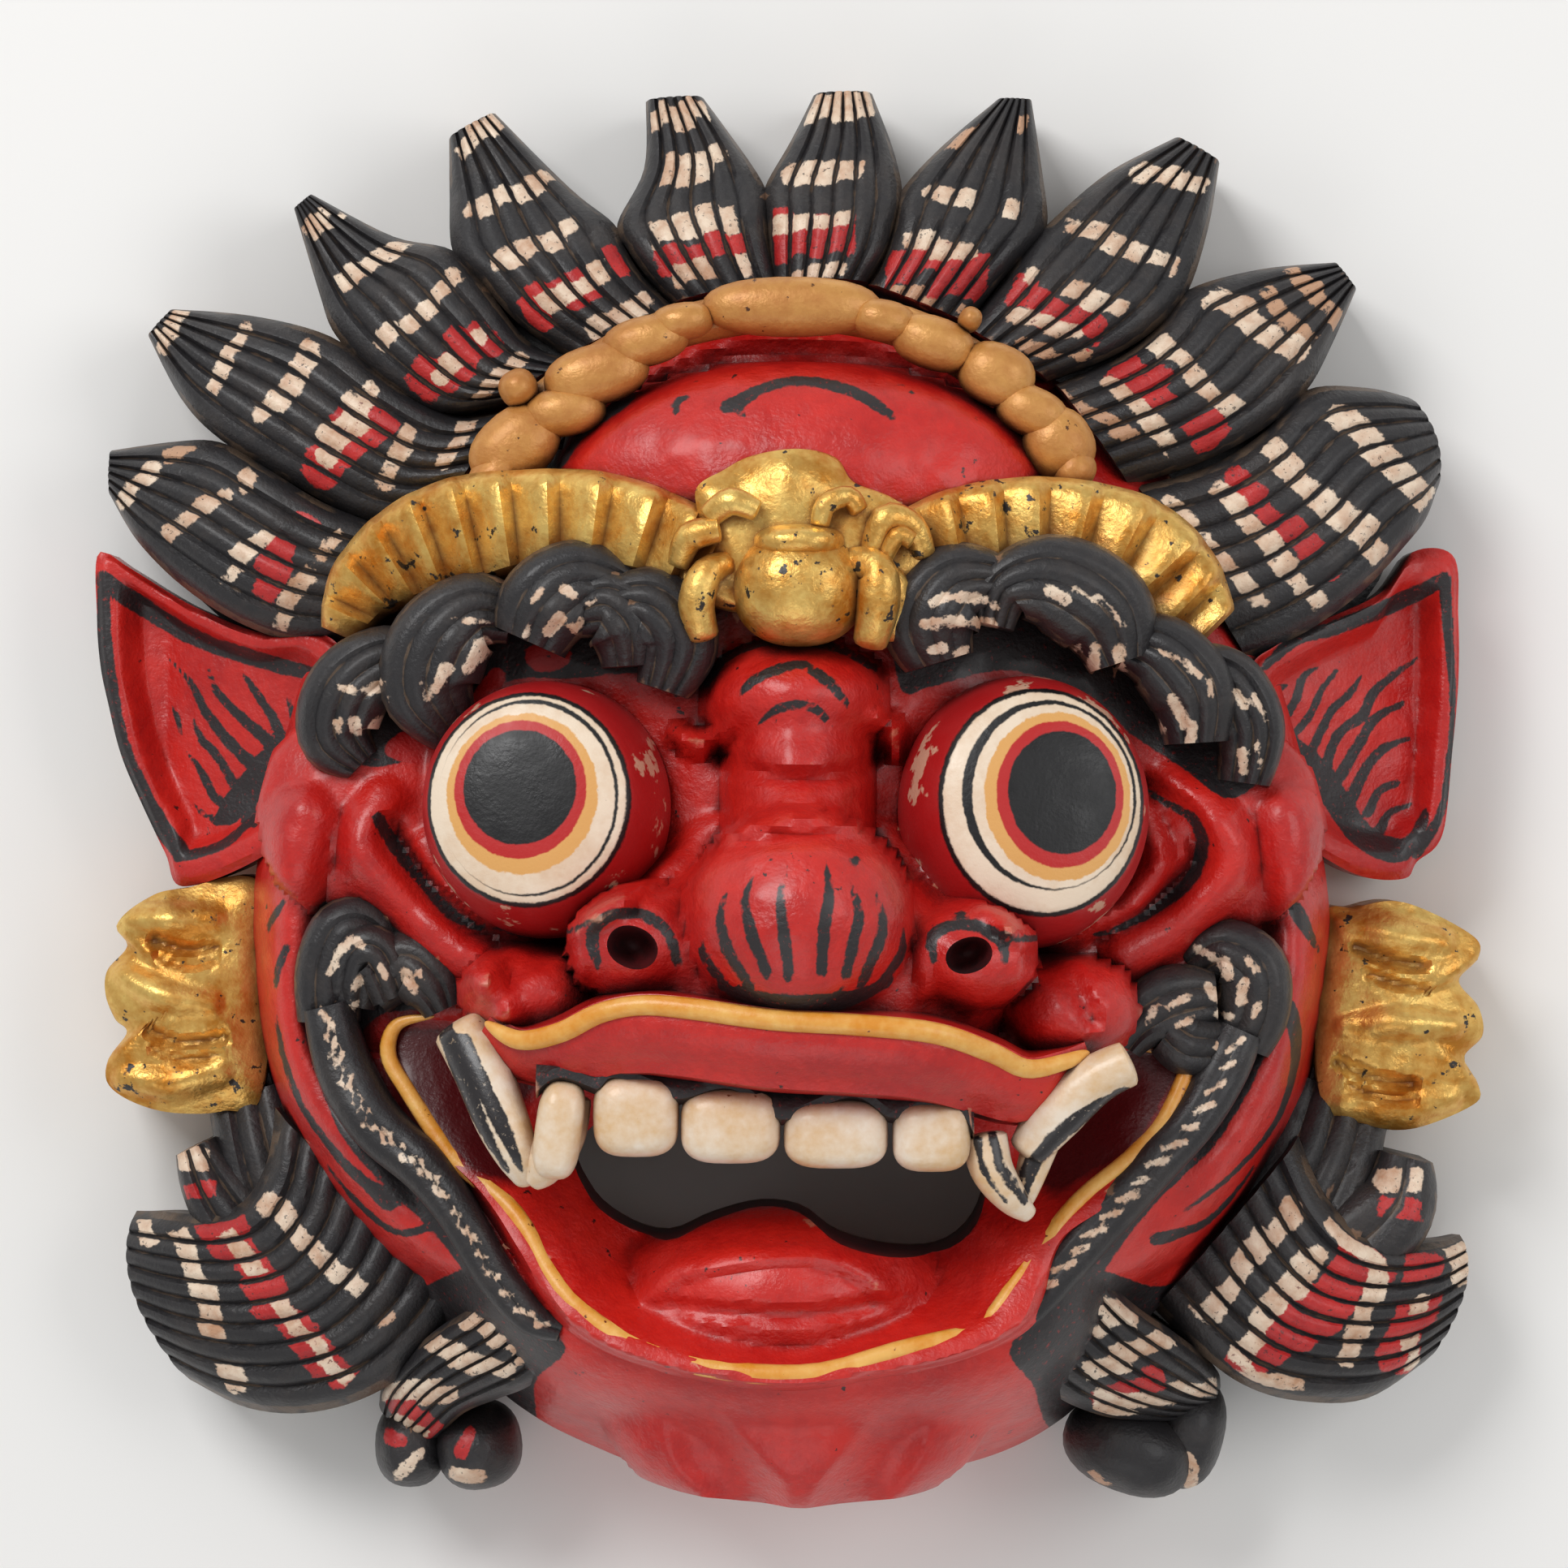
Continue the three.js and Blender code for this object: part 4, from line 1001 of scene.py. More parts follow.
GUM_LINE = ((-46.5, -53.8), (-42.1, -52), (-35.4, -53.2), (-31.7, -52), (-20.6, -55), (-11, -54.1),
    (-1.3, -58.8), (11.2, -55.6), (18.6, -58.5), (29, -57.4), (33.5, -61.2))
MOUTH_CORNERS = (
    ((-75.4, -45.1), (-57.1, -45.1), (-44.9, -49.7), (-51, -61.9), (-47.9, -72.6), (-57.1, -72.6),
        (-63.2, -68), (-70.8, -57.4)),
    ((74.3, -49.7), (62, -48.2), (49.8, -52.8), (43.7, -65), (48.3, -75.7), (55.9, -72.6), (65.1, -66.5),
        (71.2, -57.4)),
)


@dataclass
class Teeth:
    """Front teeth and tusks.

    Attributes:
        front: (x, y, half width, half height, turn) of each front tooth.
        height: how high the front teeth stand.
        tusks: paths of (x, y, z, radius), root to tip.
        stripes: black strokes along the tusks.
    """

    front: Rows = ((-42.4, -61.9, 4.4, 9.2, -8), (-28.3, -59.4, 7.9, 7.6, 0), (-11, -61.2, 9.2, 7),
        (8.3, -62.7, 9.6, 6.4), (25.8, -63.1, 7.2, 6.6, 0))
    height: float = 88.0
    tusks: tuple[Rows, ...] = (
        ((-61.9, -42.5, 78, 5.2), (-57.4, -50.2, 82, 5.4), (-53.1, -60.4, 85, 5), (-49.8, -67.8, 86, 3.8),
            (-48.3, -72.7, 85, 1.6)),
        ((-40.8, -55.2, 86, 4.4), (-42.3, -63.3, 87, 4.6), (-45.6, -69.3, 87, 3.6), (-48, -72.3, 86, 1.6)),
        ((62.6, -49.6, 88, 4.2), (56, -52.9, 87, 4.6), (48.6, -59.7, 85, 5), (43, -67.3, 83, 3.6)),
        ((35.5, -62.6, 86, 4.2), (36.9, -69.3, 87, 4), (40.8, -75, 86, 3), (44.5, -78.4, 84, 1.4)),
        ((48.9, -57.7, 80, 3.6), (46.1, -65.2, 81, 3.4), (43.1, -74.1, 82, 2.4), (42, -77.1, 82, 1.4)),
    )
    stripes: tuple[Stroke, ...] = (
        Stroke(((-60, -45.9, 1.4), (-55.8, -55.3, 1.6), (-51.4, -63.5, 1.2), (-49.1, -69.5, 0.4))),
        Stroke(((-63.6, -44.1, 1.6), (-59.6, -54.5, 1.8), (-55.8, -62.7, 1.2), (-51.7, -69.5, 0.5))),
        Stroke(((36.9, -63.1, 0.9), (39, -69.3, 0.9), (42.9, -75.3, 0.6))),
        Stroke(((34, -63.4, 0.6), (35.5, -69.3, 0.7), (39.6, -75.3, 0.4))),
        Stroke(((61.2, -55.2, 1.2), (51.5, -61.1, 1.6), (42.9, -70.1, 1.2))),
        Stroke(((47.2, -63.5, 0.8), (44.2, -71, 0.8), (42.7, -75.4, 0.5))),
    )

    def build(self) -> list[Carving]:
        """Cuts the teeth and paints the tusks' stripes."""
        made = []
        for i, tooth in enumerate(self.front):
            x, y, half, tall, *turn = tooth
            made.append(pebble(f"front_tooth_{i + 1}", (x, y, self.height), (half, tall, 6.5), Paint.TOOTH,
                               turn[0] if turn else 0.0, power=0.62, wide=36, tall=16))
        for i, path in enumerate(self.tusks):
            made.append(rod(f"tusk_{i + 1}", path, Paint.TOOTH, steps=26, sides=16))
        for tooth in made:
            x, y = tooth.points[:, 0], tooth.points[:, 1]
            tooth.mark(2, [s.distance(x, y) for s in self.stripes])
        return made


@dataclass
class Eye:
    """Bulging eye with a flattened painted disc.

    Attributes:
        name: which eye it is.
        centre: (x, y) of its axis.
        lean: degrees that it looks outwards.
        disc: half width and half height of the painted disc.
        rings: (offset x, offset y, half width, half height) of each ring from the pupil out.
    """

    name: str
    centre: tuple[float, float]
    lean: float
    disc: tuple[float, float]
    rings: Rows

    def build(self) -> list[Carving]:
        """Turns the eye and measures its rings."""
        profile = np.array([(0.02, 27.0), (5, 26.9), (9, 26.6), (12, 26.1), (15, 25.3), (17, 24.5),
            (18.2, 23.8),
                            (19.2, 22.6), (20.2, 20.4), (21.2, 17.4), (22.0, 13.6), (22.6, 9.4),
                                (23.0, 4.0)])
        fine = along(profile, np.linspace(0, 1, 41))[::-1]
        turn = 2 * np.pi * np.arange(80) / 80
        wide, high = self.disc[0] / 18.5, self.disc[1] / 18.5
        x = fine[:, :1] * np.cos(turn)[None] * wide
        y = fine[:, :1] * np.sin(turn)[None] * high
        z = np.broadcast_to(fine[:, 1:2], x.shape)
        strand = np.stack([x, y, z], axis=-1)
        tip, lean = math.radians(-6), math.radians(self.lean)
        y2, z2 = y * math.cos(tip) - z * math.sin(tip), y * math.sin(tip) + z * math.cos(tip)
        x3, z3 = x * math.cos(lean) + z2 * math.sin(lean), -x * math.sin(lean) + z2 * math.cos(lean)
        place = np.stack([self.centre[0] + x3, self.centre[1] + y2, 62 + z3], axis=-1)
        made = stacked(self.name, place, strand, Paint.EYE)
        px, py = made.strand[:, 0].copy(), made.strand[:, 1].copy()
        for i in range(3):
            ox, oy, rx, ry = self.rings[i]
            made.marks[:, i] = (np.hypot((px - ox) / rx, (py - oy) / ry) - 1) * (rx + ry) / 2
        made.strand[:, 2] = (np.hypot(px / self.disc[0], py / self.disc[1]) - 1) * 18.5
        ox, oy, rx, ry = self.rings[3]
        made.strand[:, 1] = (np.hypot((px - ox) / rx, (py - oy) / ry) - 1) * (rx + ry) / 2
        ox, oy, rx, ry = self.rings[4]
        made.strand[:, 0] = (np.hypot((px - ox) / rx, (py - oy) / ry) - 1) * (rx + ry) / 2
        return [made]


EYES = (
    Eye("left_eye", (-44.5, -4), -9, (18.6, 19.4),
        ((-1.1, 2.0, 10.6, 10.6), (-1.1, 1.6, 12.4, 12.8), (-0.8, 0.8, 14.2, 14.9), (-0.2, 0.0, 16.6, 17.6),
            (0.2, 0.2, 16.8, 18.2))),
    Eye("right_eye", (42.5, -4.5), 9, (18.8, 20.6),
        ((3.3, 1.5, 10.2, 11.4), (3.0, 1.2, 12.0, 13.6), (2.6, 0.8, 13.8, 15.6), (1.8, 0.9, 15.2, 17.0),
            (1.2, 1.2, 16.4, 17.6))),
)


# ---------------------------------------------------------------- hair


CROWN_EDGE = ((-122, 47), (-107, 66), (-86, 85), (-63, 103), (-34, 109), (-6, 114), (21, 114), (50, 108),
    (76, 96),
              (98, 76), (117, 48), (96, 22), (60, 0), (-60, 0), (-96, 22))

FLAMES = (
    Lock("flame_1", (((-77.9, 50.7), (-89.6, 55.3), (-100.5, 61.9), (-110.2, 67.4), (-120.8, 67.7),
        (-132.4, 66.4)), ((-84.9, 28.8), (-95.9, 28.8), (-106.8, 32.7), (-117.7, 39.7), (-127.1,
        48.8), (-132.6, 57.4))), strands=6, rows=(
        Row(((-130.5, 55.8), (-122.9, 63)), 1.9), Row(((-120.3, 64.5), (-116.1, 67.2)), 1.8, Tint.TAN),
            Row(((-119.6, 48.8), (-108, 57.2)), 1.7),
        Row(((-105.3, 57.7), (-103.2, 60.5)), 1.7), Row(((-108.9, 40.9), (-98, 51.3)), 1.9),
            Row(((-101.6, 37.3), (-92.9, 52.1)), 3.4, Tint.RED),
        Row(((-111, 37.3), (-108.9, 39.3)), 1.2, Tint.TAN), Row(((-96.9, 35.8), (-91.3, 41.5)), 2.0),
            Row(((-97.8, 31.8), (-95.5, 35.7)), 1.4), Row(((-89.6, 44.3), (-86.2, 48.9)), 1.4))),
    Lock("flame_2", (((-53.7, 73.3), (-64.6, 72.2), (-77.1, 79.1), (-88.8, 87.8), (-105.2, 92.4),
        (-120.1, 93.9)), ((-67.7, 52.2), (-80.2, 51.4), (-94.3, 58.2), (-109.9, 67.7), (-118.5,
        76.4), (-125.1, 88.5))), strands=6, rows=(
        Row(((-122.3, 86), (-117.6, 93)), 1.8), Row(((-112.3, 75.3), (-104.9, 89.7)), 1.8),
            Row(((-101.8, 71), (-91.5, 85.3)), 2.1),
        Row(((-91.6, 59.8), (-78.4, 73)), 5.2, Tint.RED, 0.25), Row(((-90.5, 63.7), (-82.3, 73.5)), 2.8),
            Row(((-82.4, 74.1), (-79.6, 76.9)), 1.7),
        Row(((-77.6, 58.3), (-72.2, 69.1)), 1.8), Row(((-66.2, 62.1), (-61.3, 72.3)), 1.7))),
    Lock("flame_3", (((-42.7, 82.7), (-50.6, 86.6), (-58.4, 96.7), (-65.2, 104.4), (-77.1, 107.7),
        (-93, 116.1)), ((-55.2, 74.1), (-67.7, 72.5), (-78.7, 78.8), (-87.7, 87.8), (-91.5, 96.7), (-96.6,
        113.1))), strands=6, rows=(
        Row(((-94.8, 107.9), (-87.4, 113.3)), 2.1), Row(((-87.7, 97.5), (-73.7, 106.4)), 1.9),
            Row(((-78.5, 85.6), (-63.7, 98.4)), 2.1),
        Row(((-70.6, 76.2), (-58.2, 88.1)), 4.2, Tint.RED, 0.3), Row(((-67.5, 78.8), (-58.2, 87.5)), 1.9),
            Row(((-60, 75.1), (-51.6, 83.2)), 1.5))),
    Lock("flame_4", (((-22.4, 92.8), (-27.9, 98.3), (-31.8, 104.5), (-34.2, 109.7), (-42.7, 117),
        (-57.6, 132.2)), ((-42.7, 83.5), (-52.1, 89.7), (-59.9, 98.3), (-65.2, 104.1), (-66.2,
        115.5), (-66.6, 127.2))), strands=6, rows=(
        Row(((-64.4, 124.3), (-56.6, 130.9)), 2.1), Row(((-62, 111.3), (-44, 119.7)), 2.1),
            Row(((-56.2, 100.8), (-41.4, 108.3)), 2.2),
        Row(((-50.4, 91.7), (-32.5, 101.1)), 3.6, Tint.RED, 0.3), Row(((-50.1, 90.9), (-35.1, 99.5)), 2.1),
            Row(((-38.2, 88.1), (-27.3, 94)), 1.8))),
    Lock("flame_5", (((-2.1, 98.3), (-3.7, 105.3), (-4.3, 111.3), (-4.9, 116.6), (-9.2, 124.1),
        (-17, 135.3)), ((-22.4, 93.6), (-27.1, 98.3), (-31.5, 104.5), (-33.4, 109.7), (-28.4,
        120.9), (-28.2, 134.5))), strands=6, rows=(
        Row(((-27.6, 130.2), (-16.8, 132.4)), 2.9), Row(((-26.7, 119.1), (-12.8, 122.5)), 2.8),
            Row(((-26.1, 106.4), (-11.2, 110.1)), 2.6),
        Row(((-25, 101.5), (-9.6, 105.3)), 2.4, Tint.RED), Row(((-21.6, 98.4), (-8.4, 100.6)), 2.3))),
    Lock("flame_6", (((15, 97.5), (18.9, 103.8), (21, 110.8), (21.6, 116.6), (19.7, 125.6), (16, 136.1)),
        ((-3.7, 98.3), (-4.5, 105.3), (-4.8, 111.3), (-4.9, 116.6), (0.2, 126.4),
        (4.6, 135.8))), strands=6, rows=(
        Row(((2.9, 132.1), (15.4, 133.4)), 3.1, scatter=0.1),
            Row(((-0.9, 118.6), (13.5, 119.4)), 2.5, scatter=0.15),
            Row(((-4, 105.9), (11.6, 106.5)), 4.8, Tint.RED, 0.1),
        Row(((-2.9, 108.1), (11.2, 109.3)), 1.9, scatter=0.2),
            Row(((0.7, 97.8), (9.7, 99.8)), 1.5, scatter=0.2))),
    Lock("flame_7", (((33.8, 89.7), (40.8, 98.3), (46.3, 104.5), (49.7, 109.5), (48.9, 120.9),
        (47.1, 134.5)), ((15, 97.2), (18.2, 103.8), (20, 110.8), (21.9, 116.6), (29.9, 125.6), (40.3,
        134.7))), strands=6, rows=(
        Row(((29.2, 125.5), (45.6, 129)), 1.7, Tint.TAN, 0.2), Row(((26.3, 115), (43.2, 111.9)), 1.9),
            Row(((19.3, 101.1), (37.1, 99.5)), 4.2, Tint.RED, 0.5),
        Row(((22.5, 104.9), (35.2, 103.1)), 1.8, scatter=0.8),
            Row(((19.3, 95.4), (32.8, 92.9)), 1.3, Tint.TAN))),
    Lock("flame_8", (((49.4, 78.8), (61.9, 83.5), (71.3, 89.7), (77.1, 97), (81.4, 110), (83.8, 122.5)),
        ((33.8, 88.9), (39.3, 96), (44.7, 103.8), (50, 109.7), (61.9, 120.2),
        (75.2, 127.5))), strands=6, rows=(
        Row(((66.7, 120.4), (80.5, 117.1)), 2.1), Row(((53.8, 109.2), (73.9, 101.4)), 2.2),
            Row(((45.8, 98.7), (63.5, 92.2)), 1.9),
        Row(((42.7, 95.3), (58.9, 87.5)), 3.2, Tint.RED, 0.3), Row(((42.2, 90.6), (55.1, 87.2)), 1.5),
            Row(((43.7, 85.3), (50.7, 83)), 1.2, Tint.TAN), Row(((55.3, 83.6), (57.2, 83)), 1.2,
            Tint.TAN))),
    Lock("flame_9", (((65, 58.5), (79.1, 63.2), (90.8, 69.4), (99.9, 77.5), (105.6, 87.4), (110.3, 97.5)),
        ((51, 78), (63.5, 83.5), (71.6, 90), (77.1, 96.9), (91.6, 101.4), (105.9, 103))), strands=6, rows=(
        Row(((97.2, 101.6), (106.6, 90.7)), 2.0, Tint.TAN), Row(((81.4, 95.6), (98.1, 83.5)), 2.6),
            Row(((91.6, 96), (99.4, 86.6)), 2.0, Tint.TAN), Row(((69.6, 86.7), (85.2, 72.7)), 2.1),
        Row(((64, 82.4), (81.1, 66.8)), 3.6, Tint.RED, 0.4), Row(((61.4, 78.8), (73.3, 66.3)), 1.8),
            Row(((52.2, 75.5), (65.9, 67.5)), 1.5, Tint.TAN))),
    Lock("flame_10", (((66.6, 58.5), (80.6, 62.4), (91.6, 69.4), (99.9, 77.5), (111.9, 78.3),
        (120.9, 76.9)), ((87.7, 24.9), (99.4, 30.7), (110.3, 38.5), (119.2, 47.8), (123.6, 53), (126.4,
        58.5))), strands=7, bulge=2.2, rows=(
        Row(((104.6, 73.3), (123, 56.4)), 2.7, scatter=0.15),
            Row(((91.6, 65.5), (113.8, 45.7)), 2.8, scatter=0.3),
            Row(((84.4, 60.7), (103.9, 41.2)), 2.7, Tint.RED, 0.3),
        Row(((82.1, 58.4), (101.1, 35.8)), 2.2, scatter=0.3),
            Row(((72.6, 55.9), (90, 35.2)), 1.7, scatter=0.3))),
)

SIDE_LOCKS = (
    Lock("left_side_lock", (((-99.2, -61.1), (-100.7, -71.3), (-105.4, -79.1), (-113.2, -81.9),
        (-121.8, -81.9), (-128, -82.3)), ((-61.6, -97.9), (-67.1, -105.7), (-78.8, -115.4), (-92.1, -120.1),
        (-105.4, -120.1), (-117.6, -115.4))),
         crest=(42, 44, 43, 39, 32, 24), strands=9, bulge=5.5, groove=1.7, rows=(
        Row(((-100.4, -78.1), (-77, -101)), 2.4, scatter=0.3),
            Row(((-112.8, -78.8), (-100.4, -97.5)), 4.6, Tint.RED, 0.3),
            Row(((-100.4, -97.5), (-85.5, -113.1)), 3.8, Tint.RED, 0.3),
        Row(((-108.2, -85.1), (-85.5, -113.1)), 2.0, scatter=0.5),
            Row(((-117.6, -85.4), (-107, -115.9)), 2.6, scatter=0.3),
            Row(((-125.7, -83.2), (-123.6, -87.1)), 1.7), )),
    Lock("right_side_lock", (((98, -66.6), (101.9, -76), (108.2, -83.8), (116.8, -87.7), (126.2, -87.7),
        (131.2, -87)), ((69.8, -99.5), (77.7, -107.3), (87.1, -114.3), (98, -117.9), (112.1, -118.3),
        (124.3, -112))),
         crest=(42, 44, 43, 39, 32, 24), strands=8, bulge=4.0, groove=1.7, rows=(
        Row(((96.1, -78.8), (78.9, -100.7)), 2.4, scatter=0.4), Row(((103.9, -82), (113.2, -91.3)), 2.2),
            Row(((101.5, -88.2), (85.2, -108.5)), 2.6, scatter=0.4),
        Row(((113.4, -91.5), (107.2, -110.2)), 2.2, scatter=0.4),
            Row(((111.9, -88.4), (86.9, -111.8)), 5.5, Tint.RED, 0.3),
            Row(((123, -90.1), (116.8, -112)), 4.2, Tint.RED, 0.3),
        Row(((121.5, -97.9), (119.9, -112)), 1.8, scatter=0.5),
            Row(((128.2, -84.1), (131.7, -95.1)), 2.8, scatter=0.1),
            Row(((98, -114.3), (85.5, -113.6)), 1.6))),
    Lock("left_top_curl", spine=((-96, -92, 36, 9), (-106, -84, 36, 8), (-112, -76, 34, 6.5),
        (-115.5, -69, 30, 4.4)), strands=3, steps=18, rows=(
        Row(((-118.7, -71.3), (-113.2, -71.3)), 2.6, scatter=0.1),
            Row(((-117.2, -77.3), (-111.7, -76.3)), 1.6, Tint.RED), )),
    Lock("right_top_curl", spine=((98, -94, 36, 11), (109, -88, 37, 10), (117, -80, 36, 8.5),
        (119.5, -71, 32, 5.5)), strands=2, steps=18, rows=(
        Row(((113.7, -75.2), (121.5, -75.2)), 3.4, scatter=0.05),
            Row(((114, -79.9), (121.2, -80.7)), 1.8, Tint.RED, 0.1), )),
    Lock("left_neck_hair", spine=((-94, -86, 36, 12), (-100, -72, 34, 11), (-104, -58, 28, 10)), strands=4,
        steps=14, samples=4),
    Lock("right_neck_hair", spine=((94, -86, 36, 13), (102, -72, 34, 12), (107, -58, 28, 11)), strands=4,
        steps=14, samples=4),
    Lock("left_beard_curl", (((-57.4, -95), (-62, -99.2), (-68.3, -103.6), (-75, -109.8), (-79, -114.8),
        (-80.3, -119.9)), ((-44.2, -108.6), (-49.6, -113.2), (-55.8, -116.3), (-62.8, -119.9),
        (-68.3, -125.4), (-72.9, -128.5))),
         crest=(60, 56, 50, 42, 34, 26), strands=6, groove=1.5, rows=(
        Row(((-62.3, -98), (-49.9, -105.7)), 2.2, scatter=0.9),
            Row(((-70.2, -104.6), (-53.2, -110.7)), 2.2, scatter=0.8),
            Row(((-78.7, -114.8), (-69, -125.4)), 3.4, Tint.RED, 0.3),
        Row(((-78.7, -116.3), (-64.4, -114.5)), 2.4, scatter=0.5),
            Row(((-77, -121.7), (-70.7, -124)), 1.4))),
    Lock("right_beard_curl", (((60.1, -93), (66.3, -98.6), (73.3, -103.6), (79.6, -108.6), (83.1, -112.9),
        (83.9, -115.7)), ((42.2, -101.3), (44.9, -109.8), (51.6, -116.3), (60.9, -120.7), (71, -122.6),
        (80.7, -121.9))),
         crest=(60, 56, 50, 42, 34, 26), strands=7, groove=1.5, rows=(
        Row(((51.8, -94.9), (65.7, -98)), 2.2, scatter=0.9), Row(((51.9, -103.6), (62, -100.5)), 1.9,
            scatter=0.9), Row(((56.7, -110.7), (72.2, -104.6)), 2.1, scatter=0.8),
        Row(((58.4, -116.6), (70.9, -112.7)), 2.6, Tint.RED, 0.4),
            Row(((58.6, -116.3), (81.9, -114.8)), 2.6, scatter=0.7))),
)


@dataclass
class Knob:
    """Rolled end of the beard: centre, radii, turn and its painted marks."""

    name: str
    centre: tuple[float, float, float]
    radii: tuple[float, float, float]
    turn: float = 0.0
    strokes: tuple[tuple[Tint, Stroke], ...] = ()

    def build(self) -> Carving:
        """Cuts the knob."""
        made = pebble(self.name, self.centre, self.radii, Paint.BLACK, self.turn, 0.85, 32, 16)
        made.strand[:, 0] = 0.5
        made.strand[:, 1] = made.points[:, 0]
        x, y = made.points[:, 0], made.points[:, 1]
        for tint in Tint:
            made.mark(tint.value, [k.distance(x, y) for kind, k in self.strokes if kind is tint])
        return made


KNOBS = (
    Knob("left_beard_knob", (-60.8, -127.6) + (20,), (8.4, 8.6, 15), 10, (
        (Tint.RED, Stroke(((-61.8, -123.5, 1.0), (-63.4, -127.4, 1.6)))),
            (Tint.CREAM, Stroke(((-64.6, -132.1, 1.5), (-59.9, -132.4, 1.4)))))),
    Knob("left_beard_tip", (-74.1, -127.6) + (18,), (7.0, 8.4, 13), 0, (
        (Tint.CREAM, Stroke(((-75.7, -132.6, 1.2), (-73.3, -130, 1.2), (-71.3, -127.6, 0.8)))),
            (Tint.RED, Stroke(((-77.4, -125.1, 1.6), (-75.2, -125.8, 1.2)))))),
    Knob("right_beard_knob", (65.9, -128) + (22,), (13.0, 8.6, 15), -20, (
        (Tint.TAN, Stroke(((58.1, -132, 0.8), (62.3, -134.7, 0.6)))),)),
    Knob("right_beard_tip", (77.4, -125.3) + (18,), (7.4, 11.2, 13), -14, (
        (Tint.CREAM, Stroke(((74.2, -127.6, 1.6), (76.4, -131.1, 2.6), (78, -135.2, 1.2)))),)),
)


@dataclass
class Rope:
    """Moustache that runs from the curl beside the mouth down to the beard, with slanting dashes."""

    name: str
    spine: Rows
    lean: float
    pitch: float = 4.4

    def build(self, seed: int) -> Carving:
        """Cuts the rope and paints its dashes."""
        made = Lock(self.name, spine=self.spine, strands=2, steps=56, samples=5, rise=4.5, groove=0.6,
            bevel=1.6,
                    under=(46, 52)).build(seed)
        t = np.linspace(0, 1, 200)
        line = along(self.spine, t)
        run = np.concatenate([[0], np.cumsum(np.linalg.norm(np.diff(line[:, :2], axis=0), axis=1))])
        x, y = made.points[:, 0], made.points[:, 1]
        marks = []
        for i, s in enumerate(np.arange(3.0, run[-1] - 2, self.pitch)):
            px, py, _, half = (np.interp(s, run, line[:, k]) for k in range(4))
            qx, qy = (np.interp(min(s + 1.5, run[-1]), run, line[:, k]) for k in range(2))
            way = math.atan2(qy - py, qx - px) + math.radians(self.lean)
            size = 0.42 * half * (0.8 + 0.4 * chance(i, seed))
            dx, dy = math.cos(way) * size, math.sin(way) * size
            marks.append(Stroke(((px - dx, py - dy, 0.62), (px + dx, py + dy, 0.5))).distance(x, y))
        made.marks[:, 0] = FAR
        made.mark(0, marks)
        made.strand[:, 0] = 0.5
        return made


ROPES = (
    Rope("left_rope", ((-87.5, -40.5, 62, 4.6), (-84, -52.6, 64, 5.4), (-77.7, -62.7, 67, 5.2),
        (-68.4, -70.7, 70, 4.8), (-61.8, -79.3, 72, 4.0), (-55.7, -89.5, 73, 3.8), (-48.8, -97.6, 74, 3.4),
        (-42.8, -100.4, 73, 2.4)), 30),
    Rope("right_rope", ((84.8, -45, 62, 4.6), (81.3, -52.6, 64, 5.0), (76.1, -61.3, 66, 4.6),
        (68.3, -69.7, 69, 4.6), (60.6, -77.9, 71, 4.6), (53, -86, 73, 4.4), (46.4, -93.5, 74, 4.0),
        (40.9, -100.4, 73, 3.0)), -30),
)


@dataclass
class CurlSet:
    """Short fluted curls of the brows and of the moustache's corners.

    Attributes:
        spines: (x, y, crest height, half width) controls of each curl.
        dashes: cream brush strokes laid over them.
        blobs: red strokes laid over them.
        strands: how many strands each curl is cut into.
    """

    name: str
    spines: tuple[Rows, ...]
    dashes: tuple[Stroke, ...]
    blobs: tuple[Stroke, ...] = ()
    strands: int = 4
    under: float = 48.0

    def build(self, seed: int) -> list[Carving]:
        """Cuts the curls and paints their dashes."""
        made = []
        for i, spine in enumerate(self.spines):
            curl = Lock(f"{self.name}_{i + 1}", spine=spine, strands=self.strands, steps=24, samples=4,
                rise=7,
                        groove=0.9, bevel=2.2, under=(self.under, self.under)).build(seed + i)
            x, y = curl.points[:, 0], curl.points[:, 1]
            curl.mark(0, [d.distance(x, y) for d in self.dashes])
            curl.mark(1, [b.distance(x, y) for b in self.blobs])
            curl.strand[:, 2] = -1
            made.append(curl)
        return made


